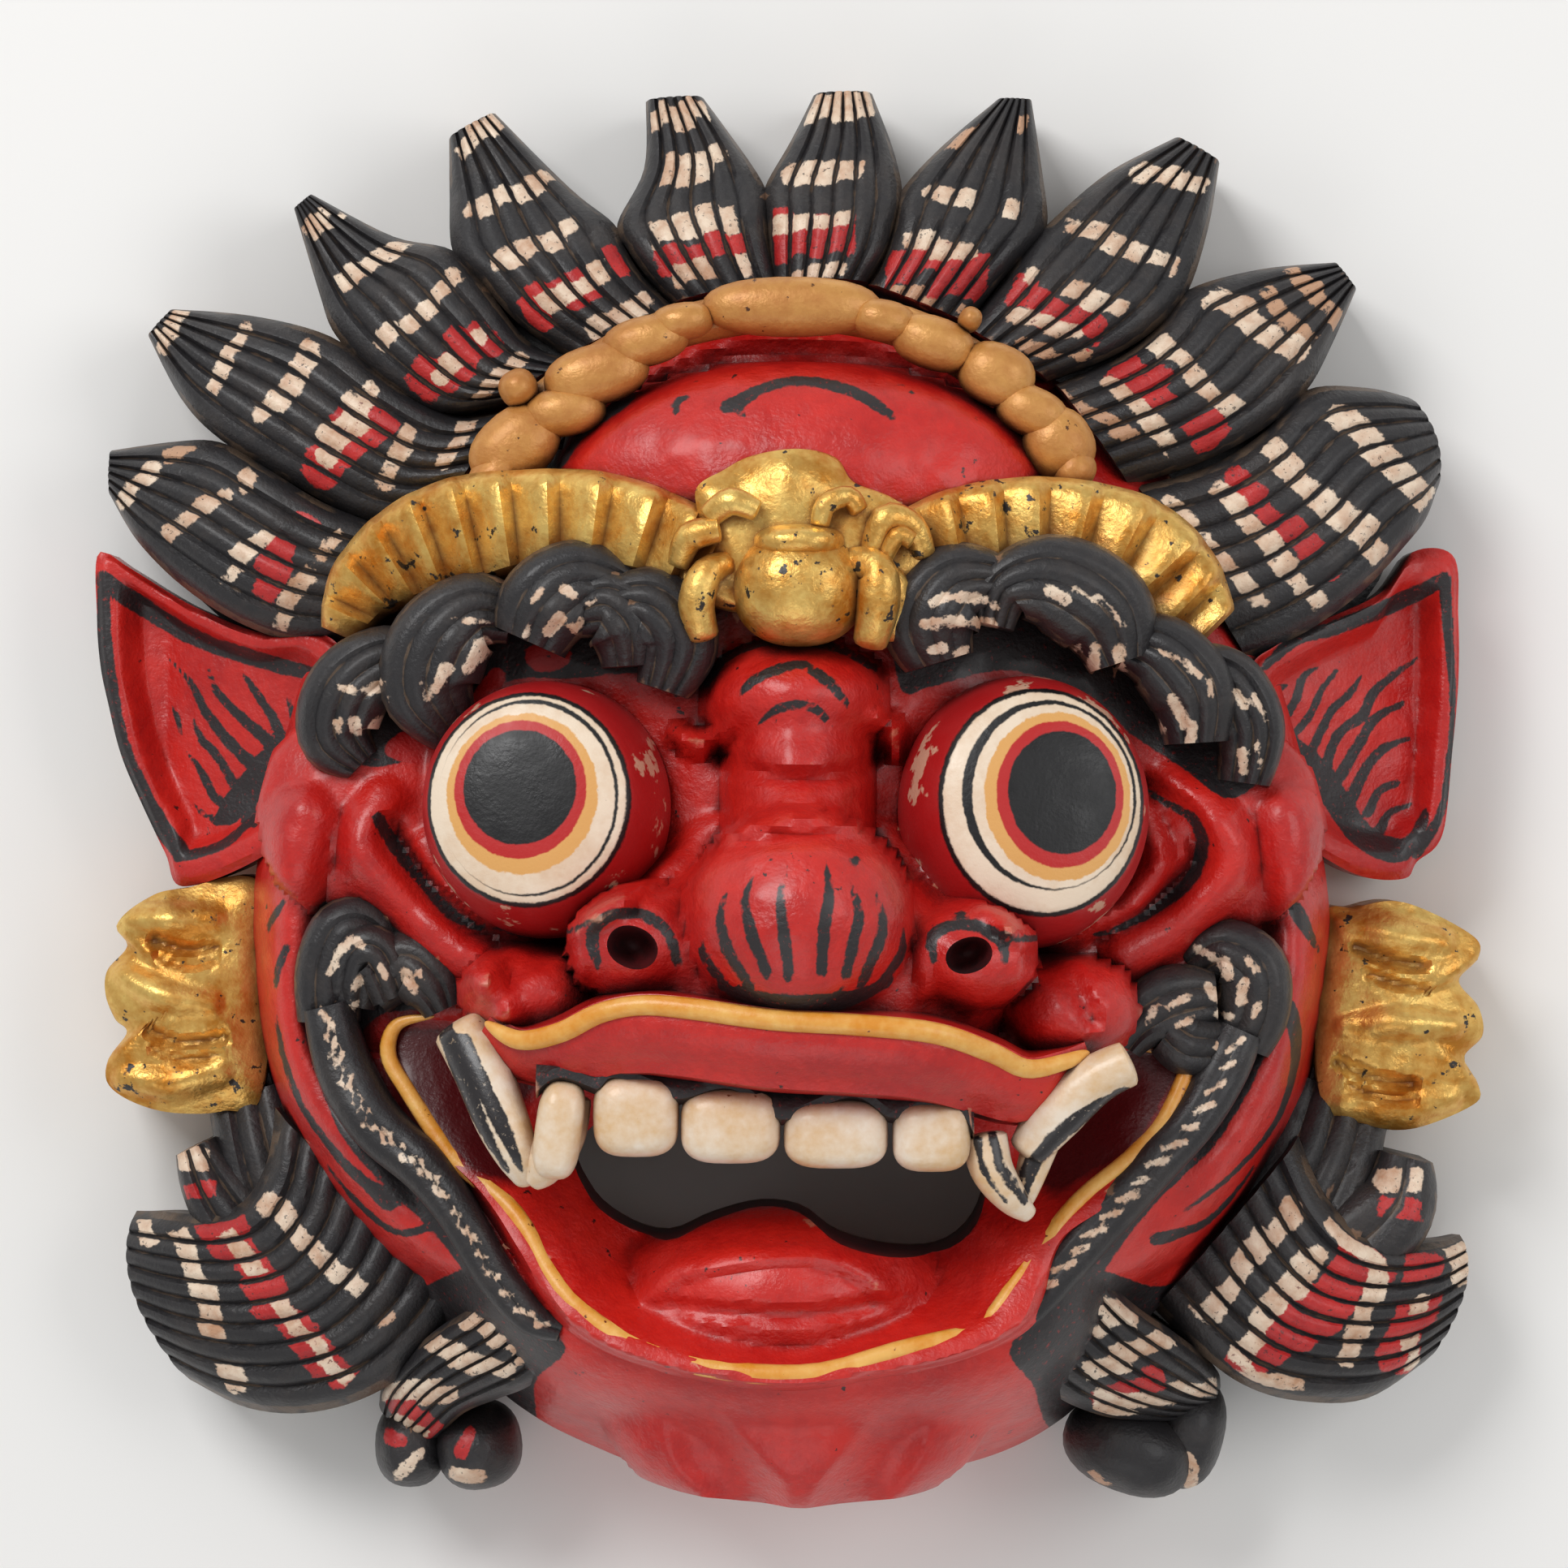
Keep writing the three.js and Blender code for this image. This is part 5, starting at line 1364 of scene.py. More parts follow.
BROW_CURLS = CurlSet("brow_curl", (
    ((-68.7, 24.6, 70, 5), (-76.2, 24.1, 71, 7), (-83, 18.8, 71, 8), (-85.2, 10.5, 68, 7.5),
        (-80.5, 5, 64, 4)),
    ((-51.8, 32.3, 74, 5), (-58.5, 33.5, 77, 7.5), (-65.2, 27.7, 78, 9.5), (-67.5, 18.7, 76, 9),
        (-62.6, 10.5, 70, 5)),
    ((-29.8, 36.7, 80, 5), (-38.7, 38.8, 83, 8), (-45.4, 34.3, 84, 9), (-48.6, 27.7, 80, 7)),
    ((-41.1, 32.2, 80, 4), (-34.2, 34.3, 84, 7), (-29.7, 29.8, 84, 8), (-29.1, 23.2, 80, 6)),
    ((-35.7, 34.4, 82, 4), (-26, 34.3, 85, 7.5), (-21.2, 27.6, 84, 8), (-23.8, 18.7, 80, 5)),
    ((39, 38.8, 84, 5), (30.7, 38.2, 87, 8), (25.9, 31.2, 87, 9), (27.8, 23.9, 82, 6.5)),
    ((37.5, 30.6, 82, 4), (39.6, 37.2, 86, 6), (48.6, 38.7, 86, 9), (58.4, 32.8, 83, 9.5),
        (61.7, 24, 78, 6)),
    ((62.6, 27.8, 76, 5), (69.2, 25.5, 78, 7.5), (75.3, 18, 77, 8), (76.1, 9, 72, 6)),
    ((76.6, 23.4, 70, 5), (82.5, 19.6, 72, 6.5), (86.3, 11.3, 71, 6.5), (85.2, 1.5, 66, 5)),
), (
    Stroke(((-83.6, 19.6, 0.7), (-81.8, 18.8, 0.9))), Stroke(((-78.4, 18.8, 1.2), (-76.4, 19.6, 1.2))),
        Stroke(((-84.6, 13.1, 0.8), (-84.4, 11.3, 0.8))),
    Stroke(((-81.5, 12.8, 1.2), (-81.2, 11.3, 1.1))), Stroke(((-77.9, 12, 1), (-76.1, 13.1, 1.1))),
        Stroke(((-74.9, 18.1, 0.5), (-73.1, 18.8, 0.5))),
    Stroke(((-60, 22.5, 0.9), (-57, 27, 1.6))), Stroke(((-66, 18.7, 0.9), (-63.8, 22.5, 1.2))),
        Stroke(((-68.3, 19.5, 0.6), (-67.1, 16.5, 0.5))),
    Stroke(((-62.3, 32, 0.5), (-59.3, 31.5, 0.7))), Stroke(((-57.5, 31.5, 0.4), (-55.4, 31.4, 0.4))),
    Stroke(((-47.6, 35, 0.5), (-45.7, 36.8, 0.6))), Stroke(((-41.7, 37.3, 1), (-40.2, 36.2, 0.9))),
        Stroke(((-44.6, 29.4, 1.1), (-42.4, 31.8, 1.2))),
    Stroke(((-49.1, 28.3, 0.5), (-48.1, 30.6, 0.4))), Stroke(((-40, 29.8, 0.8), (-38.5, 31.3, 0.7))),
        Stroke(((-37.2, 34.3, 0.4), (-35.7, 35.3, 0.4))),
    Stroke(((26.2, 34.7, 0.9), (28.9, 35.7, 1))), Stroke(((31.4, 35.7, 1), (34.4, 35.3, 1))),
        Stroke(((35.9, 35.3, 0.6), (37.8, 33.8, 0.7))),
    Stroke(((24.7, 30.5, 0.9), (27, 30.8, 1.1))), Stroke(((29.2, 31.2, 1.2), (31.4, 31.2, 1.1))),
        Stroke(((34.4, 31.2, 1.1), (37.4, 30.5, 1))),
    Stroke(((26.2, 26, 1), (28.4, 26.3, 1))), Stroke(((30.7, 25.3, 0.9), (32.2, 26, 0.9))),
        Stroke(((38.9, 27.5, 0.6), (40.4, 26, 0.6))),
    Stroke(((47.1, 37.2, 0.9), (50.4, 35.3, 1.3))), Stroke(((52.3, 37.2, 0.5), (56, 35, 0.4))),
        Stroke(((56.3, 35.7, 0.5), (59.7, 32.7, 0.5), (62, 29.8, 0.4))),
    Stroke(((49, 27.6, 0.5), (50.2, 24.9, 0.6))), Stroke(((52.4, 26.1, 0.5), (53.4, 26.8, 0.6))),
        Stroke(((56.4, 26.8, 0.9), (56.1, 22.3, 1))),
    Stroke(((60.6, 26.1, 1.2), (61.3, 22.3, 1.1))), Stroke(((55.4, 21.6, 0.6), (62.1, 21.9, 0.6))),
        Stroke(((46, 26.8, 0.5), (46.6, 25.2, 0.4))),
    Stroke(((67.7, 26.2, 0.5), (71.5, 24.4, 0.5))), Stroke(((73, 24, 0.5), (76, 21, 0.6))),
        Stroke(((77.5, 21, 0.5), (78.1, 16.5, 0.5))),
    Stroke(((70.7, 17.2, 0.9), (73.3, 12.7, 1.1))), Stroke(((67.7, 13.5, 0.5), (69.7, 11.2, 0.5))),
        Stroke(((74.8, 12, 0.9), (74.2, 8.2, 1))),
    Stroke(((82.8, 18.1, 1), (84.7, 15.8, 0.9))), Stroke(((86.2, 18.1, 0.4), (88.5, 13.5, 0.5))),
        Stroke(((84.3, 7.5, 0.9), (84.9, 3.7, 0.8))), Stroke(((87, 9, 0.4), (87.9, 4.5, 0.5))),
))

MOUTH_CURLS = CurlSet("moustache_curl", (
    ((-75.9, -35.3, 58, 5), (-79.1, -26.8, 62, 5.5), (-84.1, -26.7, 63, 6.5), (-87.2, -34.4, 62, 6.5),
        (-87.3, -43.6, 60, 6)),
    ((-83.1, -40.5, 60, 5), (-81.2, -32, 65, 6), (-77.7, -31.2, 66, 5.5), (-74.4, -38.9, 64, 4.5)),
    ((-79.1, -38.2, 62, 5), (-72.7, -32.7, 66, 6.5), (-67.4, -36.5, 67, 6), (-65.1, -41.1, 66, 4)),
    ((75.9, -33.7, 58, 5), (81, -30.1, 62, 6), (87, -33.6, 63, 7), (87.5, -41.2, 62, 7),
        (84.9, -48.2, 60, 6)),
    ((80.2, -38.9, 62, 5), (72.3, -39.6, 66, 7), (65.4, -43.6, 67, 6), (62.4, -47.9, 66, 4)),
    ((83.4, -48.2, 60, 5), (75.3, -47.9, 66, 6), (70.8, -44.9, 66, 5)),
), (
    Stroke(((-82.5, -27.5, 0.8), (-80, -29, 0.9))), Stroke(((-85.5, -31, 0.9), (-83.5, -29, 1))),
        Stroke(((-86.7, -34, 0.8), (-85.5, -32.8, 0.7))),
    Stroke(((-82.5, -38.1, 0.6), (-80.9, -35.1, 0.8))), Stroke(((-83.5, -41.9, 0.6), (-81.5, -39.6, 0.5))),
        Stroke(((-88.5, -40.4, 0.5), (-87.9, -42.7, 0.5))),
    Stroke(((-76.8, -32.7, 0.5), (-75.9, -35, 0.6))), Stroke(((-72, -34.2, 1), (-70.5, -37, 1))),
        Stroke(((-69.7, -33.5, 0.4), (-68.9, -35, 0.4))),
    Stroke(((-82.8, -43.7, 0.6), (-81.2, -46.5, 0.7))), Stroke(((-87, -45, 0.5), (-85.5, -48, 0.5))),
    Stroke(((76.7, -29.7, 0.9), (79.3, -31.3, 0.8))), Stroke(((81.3, -32, 1.1), (82.3, -34.3, 1.2))),
        Stroke(((85.4, -31.3, 0.6), (87.7, -33.5, 0.8))),
    Stroke(((85.4, -35.8, 0.9), (84.6, -39.6, 1))), Stroke(((88, -39.6, 0.6), (86.9, -42.7, 0.6))),
        Stroke(((78.5, -36.6, 1), (80.1, -38.9, 1))),
    Stroke(((70.8, -40.3, 0.7), (74.6, -38.5, 0.8))), Stroke(((66.5, -43.4, 0.6), (68.5, -40.3, 0.7))),
        Stroke(((79.9, -41.8, 0.6), (82.9, -42.6, 0.8))),
    Stroke(((72.3, -44.1, 0.5), (75.3, -42.6, 0.6))), Stroke(((80.1, -48, 0.7), (83.1, -46.5, 0.7))),
), strands=3, under=44.0)


@dataclass
class Hair:
    """Crown of flames, side locks, beard, moustache and brows."""

    crown_board: tuple[float, float] = (36.0, 22.0)

    def board(self) -> Carving:
        """Cuts the board that the flames stand on."""
        inner, edge = self.crown_board

        def height(x: np.ndarray, y: np.ndarray, share: np.ndarray) -> np.ndarray:
            """Height of the board, falling towards its edge."""
            return inner + (edge - inner) * share**2 + 0.4 * ripple(x, y, 6.0, 21)

        made = plate("crown_board", CROWN_EDGE, (0, 50), 46, height, Paint.BLACK)
        made.strand[:, 0] = 0.5
        return made

    def shell(self) -> list[Carving]:
        """Forms that are hollowed from behind with the head."""
        locks = [lock.build(i) for i, lock in enumerate(FLAMES + SIDE_LOCKS)]
        return [self.board(), *locks, *(k.build() for k in KNOBS)]

    def raised(self) -> list[Carving]:
        """Forms that stand on the face."""
        ropes = [rope.build(40 + i) for i, rope in enumerate(ROPES)]
        return [*ropes, *BROW_CURLS.build(50), *MOUTH_CURLS.build(70)]


# ---------------------------------------------------------------- gilded headdress, ears, earrings


@dataclass
class Band:
    """Fan-folded gilded band: (x, y, z, half width) controls and how many folds it has."""

    name: str
    spine: Rows
    folds: int
    flip: int = 1

    def build(self) -> Carving:
        """Cuts the band's folds, each with a sloping face and a short steep one."""
        steps = self.folds * 8
        t = np.linspace(0, 1, steps + 1)
        left, right, z = spine_edges(self.spine, t)
        if self.flip < 0:
            left, right = right, left
        phase = (t * self.folds) % 1.0
        tooth = np.where(phase < 0.72, phase / 0.72, (1 - phase) / 0.28)
        profile, values = [], []
        run = np.concatenate([[0], np.cumsum(np.linalg.norm(np.diff((left + right) / 2, axis=0), axis=1))])
        for k in range(13):
            u = k / 12
            place = right * (1 - u) + left * u
            amount = 4.4 * np.sin(np.pi * np.clip(0.12 + 0.8 * u, 0, 1)) ** 0.7
            edge = 4.5 * max(0.0, (u - 0.9) / 0.1) ** 1.5 + 3.5 * max(0.0, (0.1 - u) / 0.1)
            lift = 1.5 + amount * tooth - edge
            profile.append(np.column_stack([place, z - 1.5 + lift]))
            values.append(np.column_stack([tooth, np.full_like(t, u), run]))
        for u, low in ((1.0, 44.0), (0.0, 44.0)):
            place = right * (1 - u) + left * u
            profile.append(np.column_stack([place, np.full_like(z, low)]))
            values.append(np.column_stack([tooth * 0, np.full_like(t, u), run]))
        return stacked(self.name, np.stack(profile, 1), np.stack(values, 1), Paint.GOLD)


@dataclass
class Headdress:
    """Folded bands, leaf border and centre jewel."""

    bands: tuple[Band, ...] = (
        Band("left_band", ((-84.9, 29.4, 60, 4), (-80.6, 38, 63, 7), (-72, 44.4, 66, 9.5),
            (-61.2, 48.4, 69, 10.5), (-48.9, 50.5, 72, 9.5), (-35.2, 50.3, 76, 9), (-21.6, 46.4, 79, 8),
            (-14.1, 42.7, 80, 6)), 11, -1),
        Band("right_band", ((19.6, 45.7, 80, 5), (28.6, 47.9, 79, 7.5), (40, 49.6, 76, 8.5),
            (52.3, 49.3, 72, 9), (64.6, 44.7, 68, 10.5), (73.2, 36.4, 64, 10), (79.6, 30, 60, 6)), 9, -1),
    )
    leaves: Rows = (
        (0.2, 91.1) + (15.6, 3.8, 0), (-20.4, 88.3) + (5.6, 2.4, 8), (-27.3, 84.6) + (7.8, 3.2, 14),
            (-36.5, 78.3) + (9.4, 3.9, 16),
        (-42.6, 71.3) + (7.4, 3.1, 8), (-51.9, 64.7) + (8.6, 4.6, 42), (-51.2, 75.8) + (3.4, 2.4, 30),
            (-55.5, 58.9) + (5.0, 3.0, 40),
        (17.4, 88.6) + (5.8, 2.6, -10), (26.9, 84.3) + (7.4, 3.4, -18), (38.8, 78.3) + (6.8, 4.0, -22),
            (45.5, 71.3) + (6.6, 3.2, -24),
        (50.6, 65.2) + (6.4, 4.4, -60), (53.3, 60.1) + (3.6, 3.0, -40), (33.8, 88.7) + (2.0, 1.6, -30),
    )

    def leaf_border(self) -> list[Carving]:
        """Cuts the ledge behind the forehead and the overlapping leaves on it."""
        ledge = ((-57.5, 57.6, 53, 4), (-49.7, 69.8, 54, 4.2), (-37.4, 79.7, 55, 4.2), (-22.1, 87.3, 56, 4),
            (0.2, 90.8, 57, 4), (20.9, 87.7, 57, 4), (36.2, 79.6, 56, 4.2), (47, 69.7, 55, 4.2), (54, 59.1,
            53, 4))
        made = [rod("leaf_ledge", ledge, Paint.OCHRE, 60, 12, 1.0)]
        for i, (x, y, long, wide, turn) in enumerate(self.leaves):
            out = math.hypot(x, y - 36)
            height = 65.0 - 0.02 * out
            made.append(pebble(f"leaf_{i + 1}", (x, y, height - 4), (long * 1.08, wide * 1.5, 6.2),
                Paint.OCHRE, turn, 0.85, 26, 12))
        return made

    def jewel(self) -> list[Carving]:
        """Cuts the fan, the bud, its petals and the curled leaves beside it."""
        corners = ((-17.3, 50), (-17.3, 55.9), (-12.5, 59.2), (-7.3, 61.9), (1.6, 63.1), (8.4, 61.6),
            (11.6, 57.1), (18.8, 54.1), (23.6, 50), (26.6, 42.5), (20.3, 36.5), (1.6, 32.1), (-18.5, 36.5))

        def fan_height(x: np.ndarray, y: np.ndarray, share: np.ndarray) -> np.ndarray:
            """Flutes that spread from the bud to the scalloped edge."""
            ray = np.arctan2(x + 0.5, y - 30)
            return 85 + 1.3 * np.cos(11 * ray) * share - 4.5 * share**4

        fan = plate("jewel_fan", corners, (1.6, 48.5), 50, fan_height, Paint.GOLD, base=50,
        under=Paint.GOLD)
        bud = pebble("jewel_bud", (1.6, 37.6) + (80,), (12.4, 11.0, 12.6), Paint.GOLD, 0, 0.9, 48, 24)
        collar = pebble("jewel_collar", (1.6, 45.8) + (82,), (8.6, 3.4, 10.0), Paint.GOLD, 0, 0.8, 36, 16)
        made = [fan, bud, collar]
        petals = (
            ((-10.3, 42.5, 83, 2), (-15.2, 40.2, 85, 3), (-17.3, 34.3, 85, 3.4), (-15.5, 27.6, 83, 2.6)),
            ((9.8, 42.5, 84, 2.4), (15.5, 40.9, 87, 3.6), (16.1, 34.2, 87, 4), (14.3, 26.1, 84, 3)),
            ((12.5, 40.9, 86, 2), (18.8, 38.8, 84, 2.6), (19.6, 32.8, 83, 2.6), (18.1, 27.6, 81, 2)),
            ((-15.5, 49.9, 85, 2.2), (-11, 53.1, 87, 2.6), (-5.8, 51.3, 87, 2)),
            ((-20.8, 41.1, 82, 2), (-18.5, 46.6, 85, 2.8), (-12.8, 48.1, 86, 2.4)),
            ((5.3, 48.3, 87, 1.8), (6.5, 52.5, 88, 2), (10.6, 54, 87, 2), (12.8, 51.1, 86, 1.8)),
            ((14.6, 42.5, 84, 2.2), (17.3, 49.9, 86, 2.8), (22.5, 48.5, 84, 2.6), (24.8, 42.6, 82, 2.2)),
            ((16.5, 41, 85, 1.4), (19.5, 46.8, 87, 1.8), (22.5, 45.7, 86, 1.6)),
        )
        made += [rod(f"jewel_petal_{i + 1}", p, Paint.GOLD, 18, 12) for i, p in enumerate(petals)]
        return made

    def build(self) -> list[Carving]:
        """Cuts the whole headdress."""
        return [*(band.build() for band in self.bands), *self.leaf_border(), *self.jewel()]


@dataclass
class Ear:
    """Pointed ear: a dished plate with a raised rim and a painted lining."""

    name: str
    corners: Rows
    centre: tuple[float, float]
    strokes: tuple[Stroke, ...]
    patches: tuple[Patch, ...] = ()

    def build(self) -> Carving:
        """Cuts the ear and paints its lines."""
        def height(x: np.ndarray, y: np.ndarray, share: np.ndarray) -> np.ndarray:
            """Height that climbs towards the head, with a rim round the dish."""
            climb = 0.55 * np.maximum(0, 122 - np.abs(x))
            rim = 6 * smoothstep((share - 0.66) / 0.2) - 1.6 * smoothstep((share - 0.93) / 0.07)
            return 19 + climb + rim + 0.4 * ripple(x, y, 6.0, 31)

        made = plate(self.name, self.corners, self.centre, 68, height, Paint.RED, base=8, under=Paint.BLACK)
        x, y = made.points[:, 0], made.points[:, 1]
        made.mark(2, [s.distance(x, y) for s in self.strokes] + [p.distance(x, y) for p in self.patches])
        return made


EARS = (
    Ear("left_ear", ((-134.7, 46.2), (-128.7, 43.4), (-121.6, 39), (-114.5, 35.2), (-101.8, 30.4),
        (-90.7, 30.4), (-84.4, 25.2), (-79.7, 11.7), (-90.7, -4.1), (-103.4, -13.6), (-118, -18.6),
        (-121.6, -12.3), (-126.3, -2.5), (-130.3, 7), (-132.7, 16.5), (-134.3, 24.4), (-135, 33.9)),
        (-107.8, 13.3), (
        Stroke(((-133.9, 41.3, 1.6), (-128.3, 37.2, 1.8), (-121.9, 33, 1.8), (-114.1, 29, 1.6),
            (-104.6, 25.9, 1.6), (-90.4, 22, 1.4))),
        Stroke(((-133.5, 40.1, 1.2), (-133.5, 30.7, 1.6), (-132.3, 19.6, 1.7), (-130.1, 8.6, 1.8),
            (-126.6, 0.7, 1.8), (-122.2, -7.2, 1.9), (-118.2, -12, 1.7))),
        Stroke(((-118.9, -12.7, 1.2), (-113.9, -11.9, 1.0), (-108.4, -9.6, 1.0), (-104.4, -5.6, 0.8))),
        Stroke(((-90.2, 16, 0.8), (-92.3, 10.1, 1.8), (-98.6, 6.2, 3.0), (-104.8, 1, 2.6),
            (-108.7, -4, 2.4), (-111.6, -5.9, 1.0))),
        Stroke(((-97.8, 7.7, 2.2), (-101.7, 4.6, 2.6), (-105.6, -2.5, 2.2), (-103.7, -5.6, 1.4))),
        Stroke(((-122.5, 26.5, 0.2), (-117.4, 21.8, 0.6), (-113.4, 14.8, 1.0), (-108, 8.5, 1.2),
            (-102.5, 3.8, 1.2))),
        Stroke(((-113.4, 23.9, 0.2), (-111.6, 19.5, 0.8), (-107.2, 14.8, 1.0), (-102.5, 10.9, 1.2),
            (-98.6, 6.9, 1.2))),
        Stroke(((-106.4, 22.9, 0.2), (-103.7, 19.5, 0.8), (-100.1, 14, 1.0), (-97.8, 9.3, 1.2))),
        Stroke(((-97, 17.9, 0.3), (-95.9, 14.8, 0.8), (-94.3, 10.1, 1.2))),
        Stroke(((-91.8, 19.5, 0.3), (-91.2, 15.6, 0.8), (-92.8, 10.1, 1.2))),
        Stroke(((-116.3, 14, 0.3), (-114.7, 10.1, 0.8), (-111.6, 6.9, 0.9), (-108, 1.5, 1.0),
            (-105.6, -0.1, 0.9))),
        Stroke(((-117.8, 7.7, 0.2), (-114.7, 3.8, 0.7), (-111.6, -1.7, 1.0), (-107.2, -2.5, 1.0))),
        Stroke(((-120.5, 16.4, 0.3), (-119.4, 13.2, 0.6), (-118.8, 10.9, 0.3))),
        Stroke(((-117.8, -1.7, 0.2), (-112.7, -5.3, 0.6), (-108, -5.6, 0.8))),
        Stroke(((-100.5, -5.6, 0.2), (-96.6, -3.7, 0.5), (-93, -3.4, 0.2))),
        )),
    Ear("right_ear", ((129.2, 45.6), (121.3, 46.5), (114.9, 38.6), (102.3, 32.6), (92.8, 27.6), (88, 23.6),
        (83.3, 11.7), (89.6, -2.5), (99.1, -10.4), (110.2, -16.4), (119.4, -17.1), (122, -13.9),
        (127, -8.5), (129, 8.6), (130.1, 21.2), (130.1, 33.9)),
        (108.2, 11.7), (
        Stroke(((127.4, 41.3, 1.2), (121.6, 38.2, 1.6), (114.5, 35, 1.6), (105, 31.4, 1.4), (97.2, 29, 1.2),
            (90.5, 23.5, 0.8))),
        Stroke(((127.3, 40.1, 1.2), (128.1, 29.1, 1.0), (128.9, 18, 0.7), (128.3, 7, 0.6),
            (126.6, -4.1, 0.9), (121.8, -12, 1.3))),
        Stroke(((93.1, 12.5, 1.2), (97, 7.8, 2.6), (102.5, 3, 2.8), (106.4, -2.5, 2.6), (111.1, -8.8, 2.6),
            (117.4, -11.6, 2.4), (121.4, -9.6, 1.6), (123.7, -4, 0.6))),
        Stroke(((90.4, 16.4, 0.3), (93.8, 19.5, 0.8), (95.8, 20.3, 0.3))),
        Stroke(((93.8, 12.4, 0.9), (97.4, 17.1, 0.9), (99, 21.8, 0.8), (102.1, 23.9, 0.3))),
        Stroke(((96.6, 10.4, 0.8), (100.1, 14, 0.8), (102.9, 19.5, 0.7), (106, 23.4, 0.3))),
        Stroke(((100.5, 6.9, 1.0), (104.5, 14.8, 0.9), (108.4, 18.7, 0.8), (111, 22.3, 0.3))),
        Stroke(((103.7, 4.6, 1.2), (106.3, 10.9, 1.0), (111.5, 14.8, 1.1), (113.9, 19.5, 1.0),
            (122.5, 25.8, 0.4))),
        Stroke(((106.8, 3, 1.3), (110.7, 9.3, 1.1), (113.9, 14, 1.0), (119.8, 17.1, 0.4))),
        Stroke(((108.4, -2.5, 1.3), (112.3, 4.6, 1.1), (116.2, 8.5, 0.9), (120.9, 10.1, 0.4))),
        Stroke(((112.6, -4, 1.1), (114.7, -0.1, 0.9), (118.6, 1.5, 0.6))),
        Stroke(((114.7, -7.9, 1.1), (117, -4.3, 0.8), (122, -2.5, 0.4))),
        )),
)


@dataclass
class EarOrnament:
    """Gilded ear ornament of three rounded lobes."""

    name: str
    corners: Rows
    centre: tuple[float, float]
    swells: tuple[Swell, ...]

    def build(self) -> Carving:
        """Cuts the lobes and the double grooves across them."""
        def height(x: np.ndarray, y: np.ndarray, share: np.ndarray) -> np.ndarray:
            """Rounded top of the ornament."""
            z = 24 + 10 * np.sqrt(1 - 0.82 * share**2) + 0.8 * ripple(x, y, 5.0, 41)
            for swell in self.swells:
                z = swell.raised(x, y, z)
            return z

        return plate(self.name, self.corners, self.centre, 56, height, Paint.GOLD, base=8, under=Paint.GOLD)


EAR_ORNAMENTS = (
    EarOrnament("left_ear_ornament",
        ((-101.5, -19.5), (-118, -19), (-125.1, -21.1), (-130.6, -26.1), (-128.6, -30.1), (-132.4, -34.8),
            (-132.7, -39.5), (-130.9, -44.3), (-128.6, -46.9), (-132.2, -52.1), (-132.2, -56.9),
            (-127, -60.5), (-119.6, -62.4), (-110.1, -62.1), (-102.2, -57.7)),
        (-114.4, -39.4), (
        Swell(((-122.9, -29.1, 1.6, -2.6), (-117.4, -30.7, 1.8, -3), (-111.1, -30.4, 1.6, -2.4)), 1.0),
        Swell(((-122.1, -31.9, 1.3, -1.6), (-116.9, -33.5, 1.4, -2), (-111.1, -32.6, 1.3, -1.6)), 1.0),
        Swell(((-123.6, -46.4, 1.6, -2.6), (-117.4, -48.7, 1.8, -3), (-109.5, -47.6, 1.6, -2.4)), 1.0),
        Swell(((-122.9, -49.8, 1.3, -1.6), (-116.6, -51.8, 1.4, -2), (-110.3, -50.7, 1.3, -1.6)), 1.0),
        Swell(((-129.1, -35.4, 3, 2), (-121.3, -39.3, 4, 3), (-111.9, -40.9, 3, 1.5)), 1.4),
        Swell(((-129.1, -55.8, 3, 2), (-119.7, -56.5, 4, 3), (-110.3, -55, 3, 1.5)), 1.4),
        Swell(((-127.6, -24.4, 3, 2), (-119.7, -24.4, 4, 3), (-111.9, -24.4, 3, 1.5)), 1.4),
        )),
    EarOrnament("right_ear_ornament",
        ((102.7, -26.1), (109.8, -22.7), (119.2, -21.7), (132.2, -28), (133.4, -32.4), (129.6, -36.8),
            (133.4, -41.9), (134.2, -47.4), (130.6, -51.7), (133.4, -56.9), (132.6, -60.8), (120.8, -65.5),
            (111.4, -64.6), (102.7, -59.2)),
        (116.4, -42.5), (
        Swell(((109.5, -30.4, 1.6, -2.4), (115.4, -32.6, 1.8, -3), (122, -33.8, 1.6, -2.4)), 1.0),
        Swell(((111.5, -35.4, 1.3, -1.6), (117, -37.3, 1.5, -2.4), (123, -38.5, 1.3, -1.6)), 1.0),
        Swell(((106, -52.6, 1.6, -2.4), (113.1, -55.5, 1.8, -3), (120.5, -56.7, 1.6, -2.4)), 1.0),
        Swell(((108.4, -57, 1.3, -1.6), (114.7, -59.2, 1.5, -2.2), (120.5, -59.8, 1.3, -1.6)), 1.0),
        Swell(((107.6, -26, 3, 1.5), (115.4, -26.8, 4, 3), (126.4, -29.1, 3, 2)), 1.4),
        Swell(((107.6, -45.6, 3, 1.5), (117, -44.8, 4, 3), (128, -45.6, 3, 2)), 1.4),
        Swell(((107.6, -61.3, 3, 1.5), (117, -62, 4, 2), (128, -59.7, 3, 2)), 1.4),
        )),
)


# ---------------------------------------------------------------- cutters


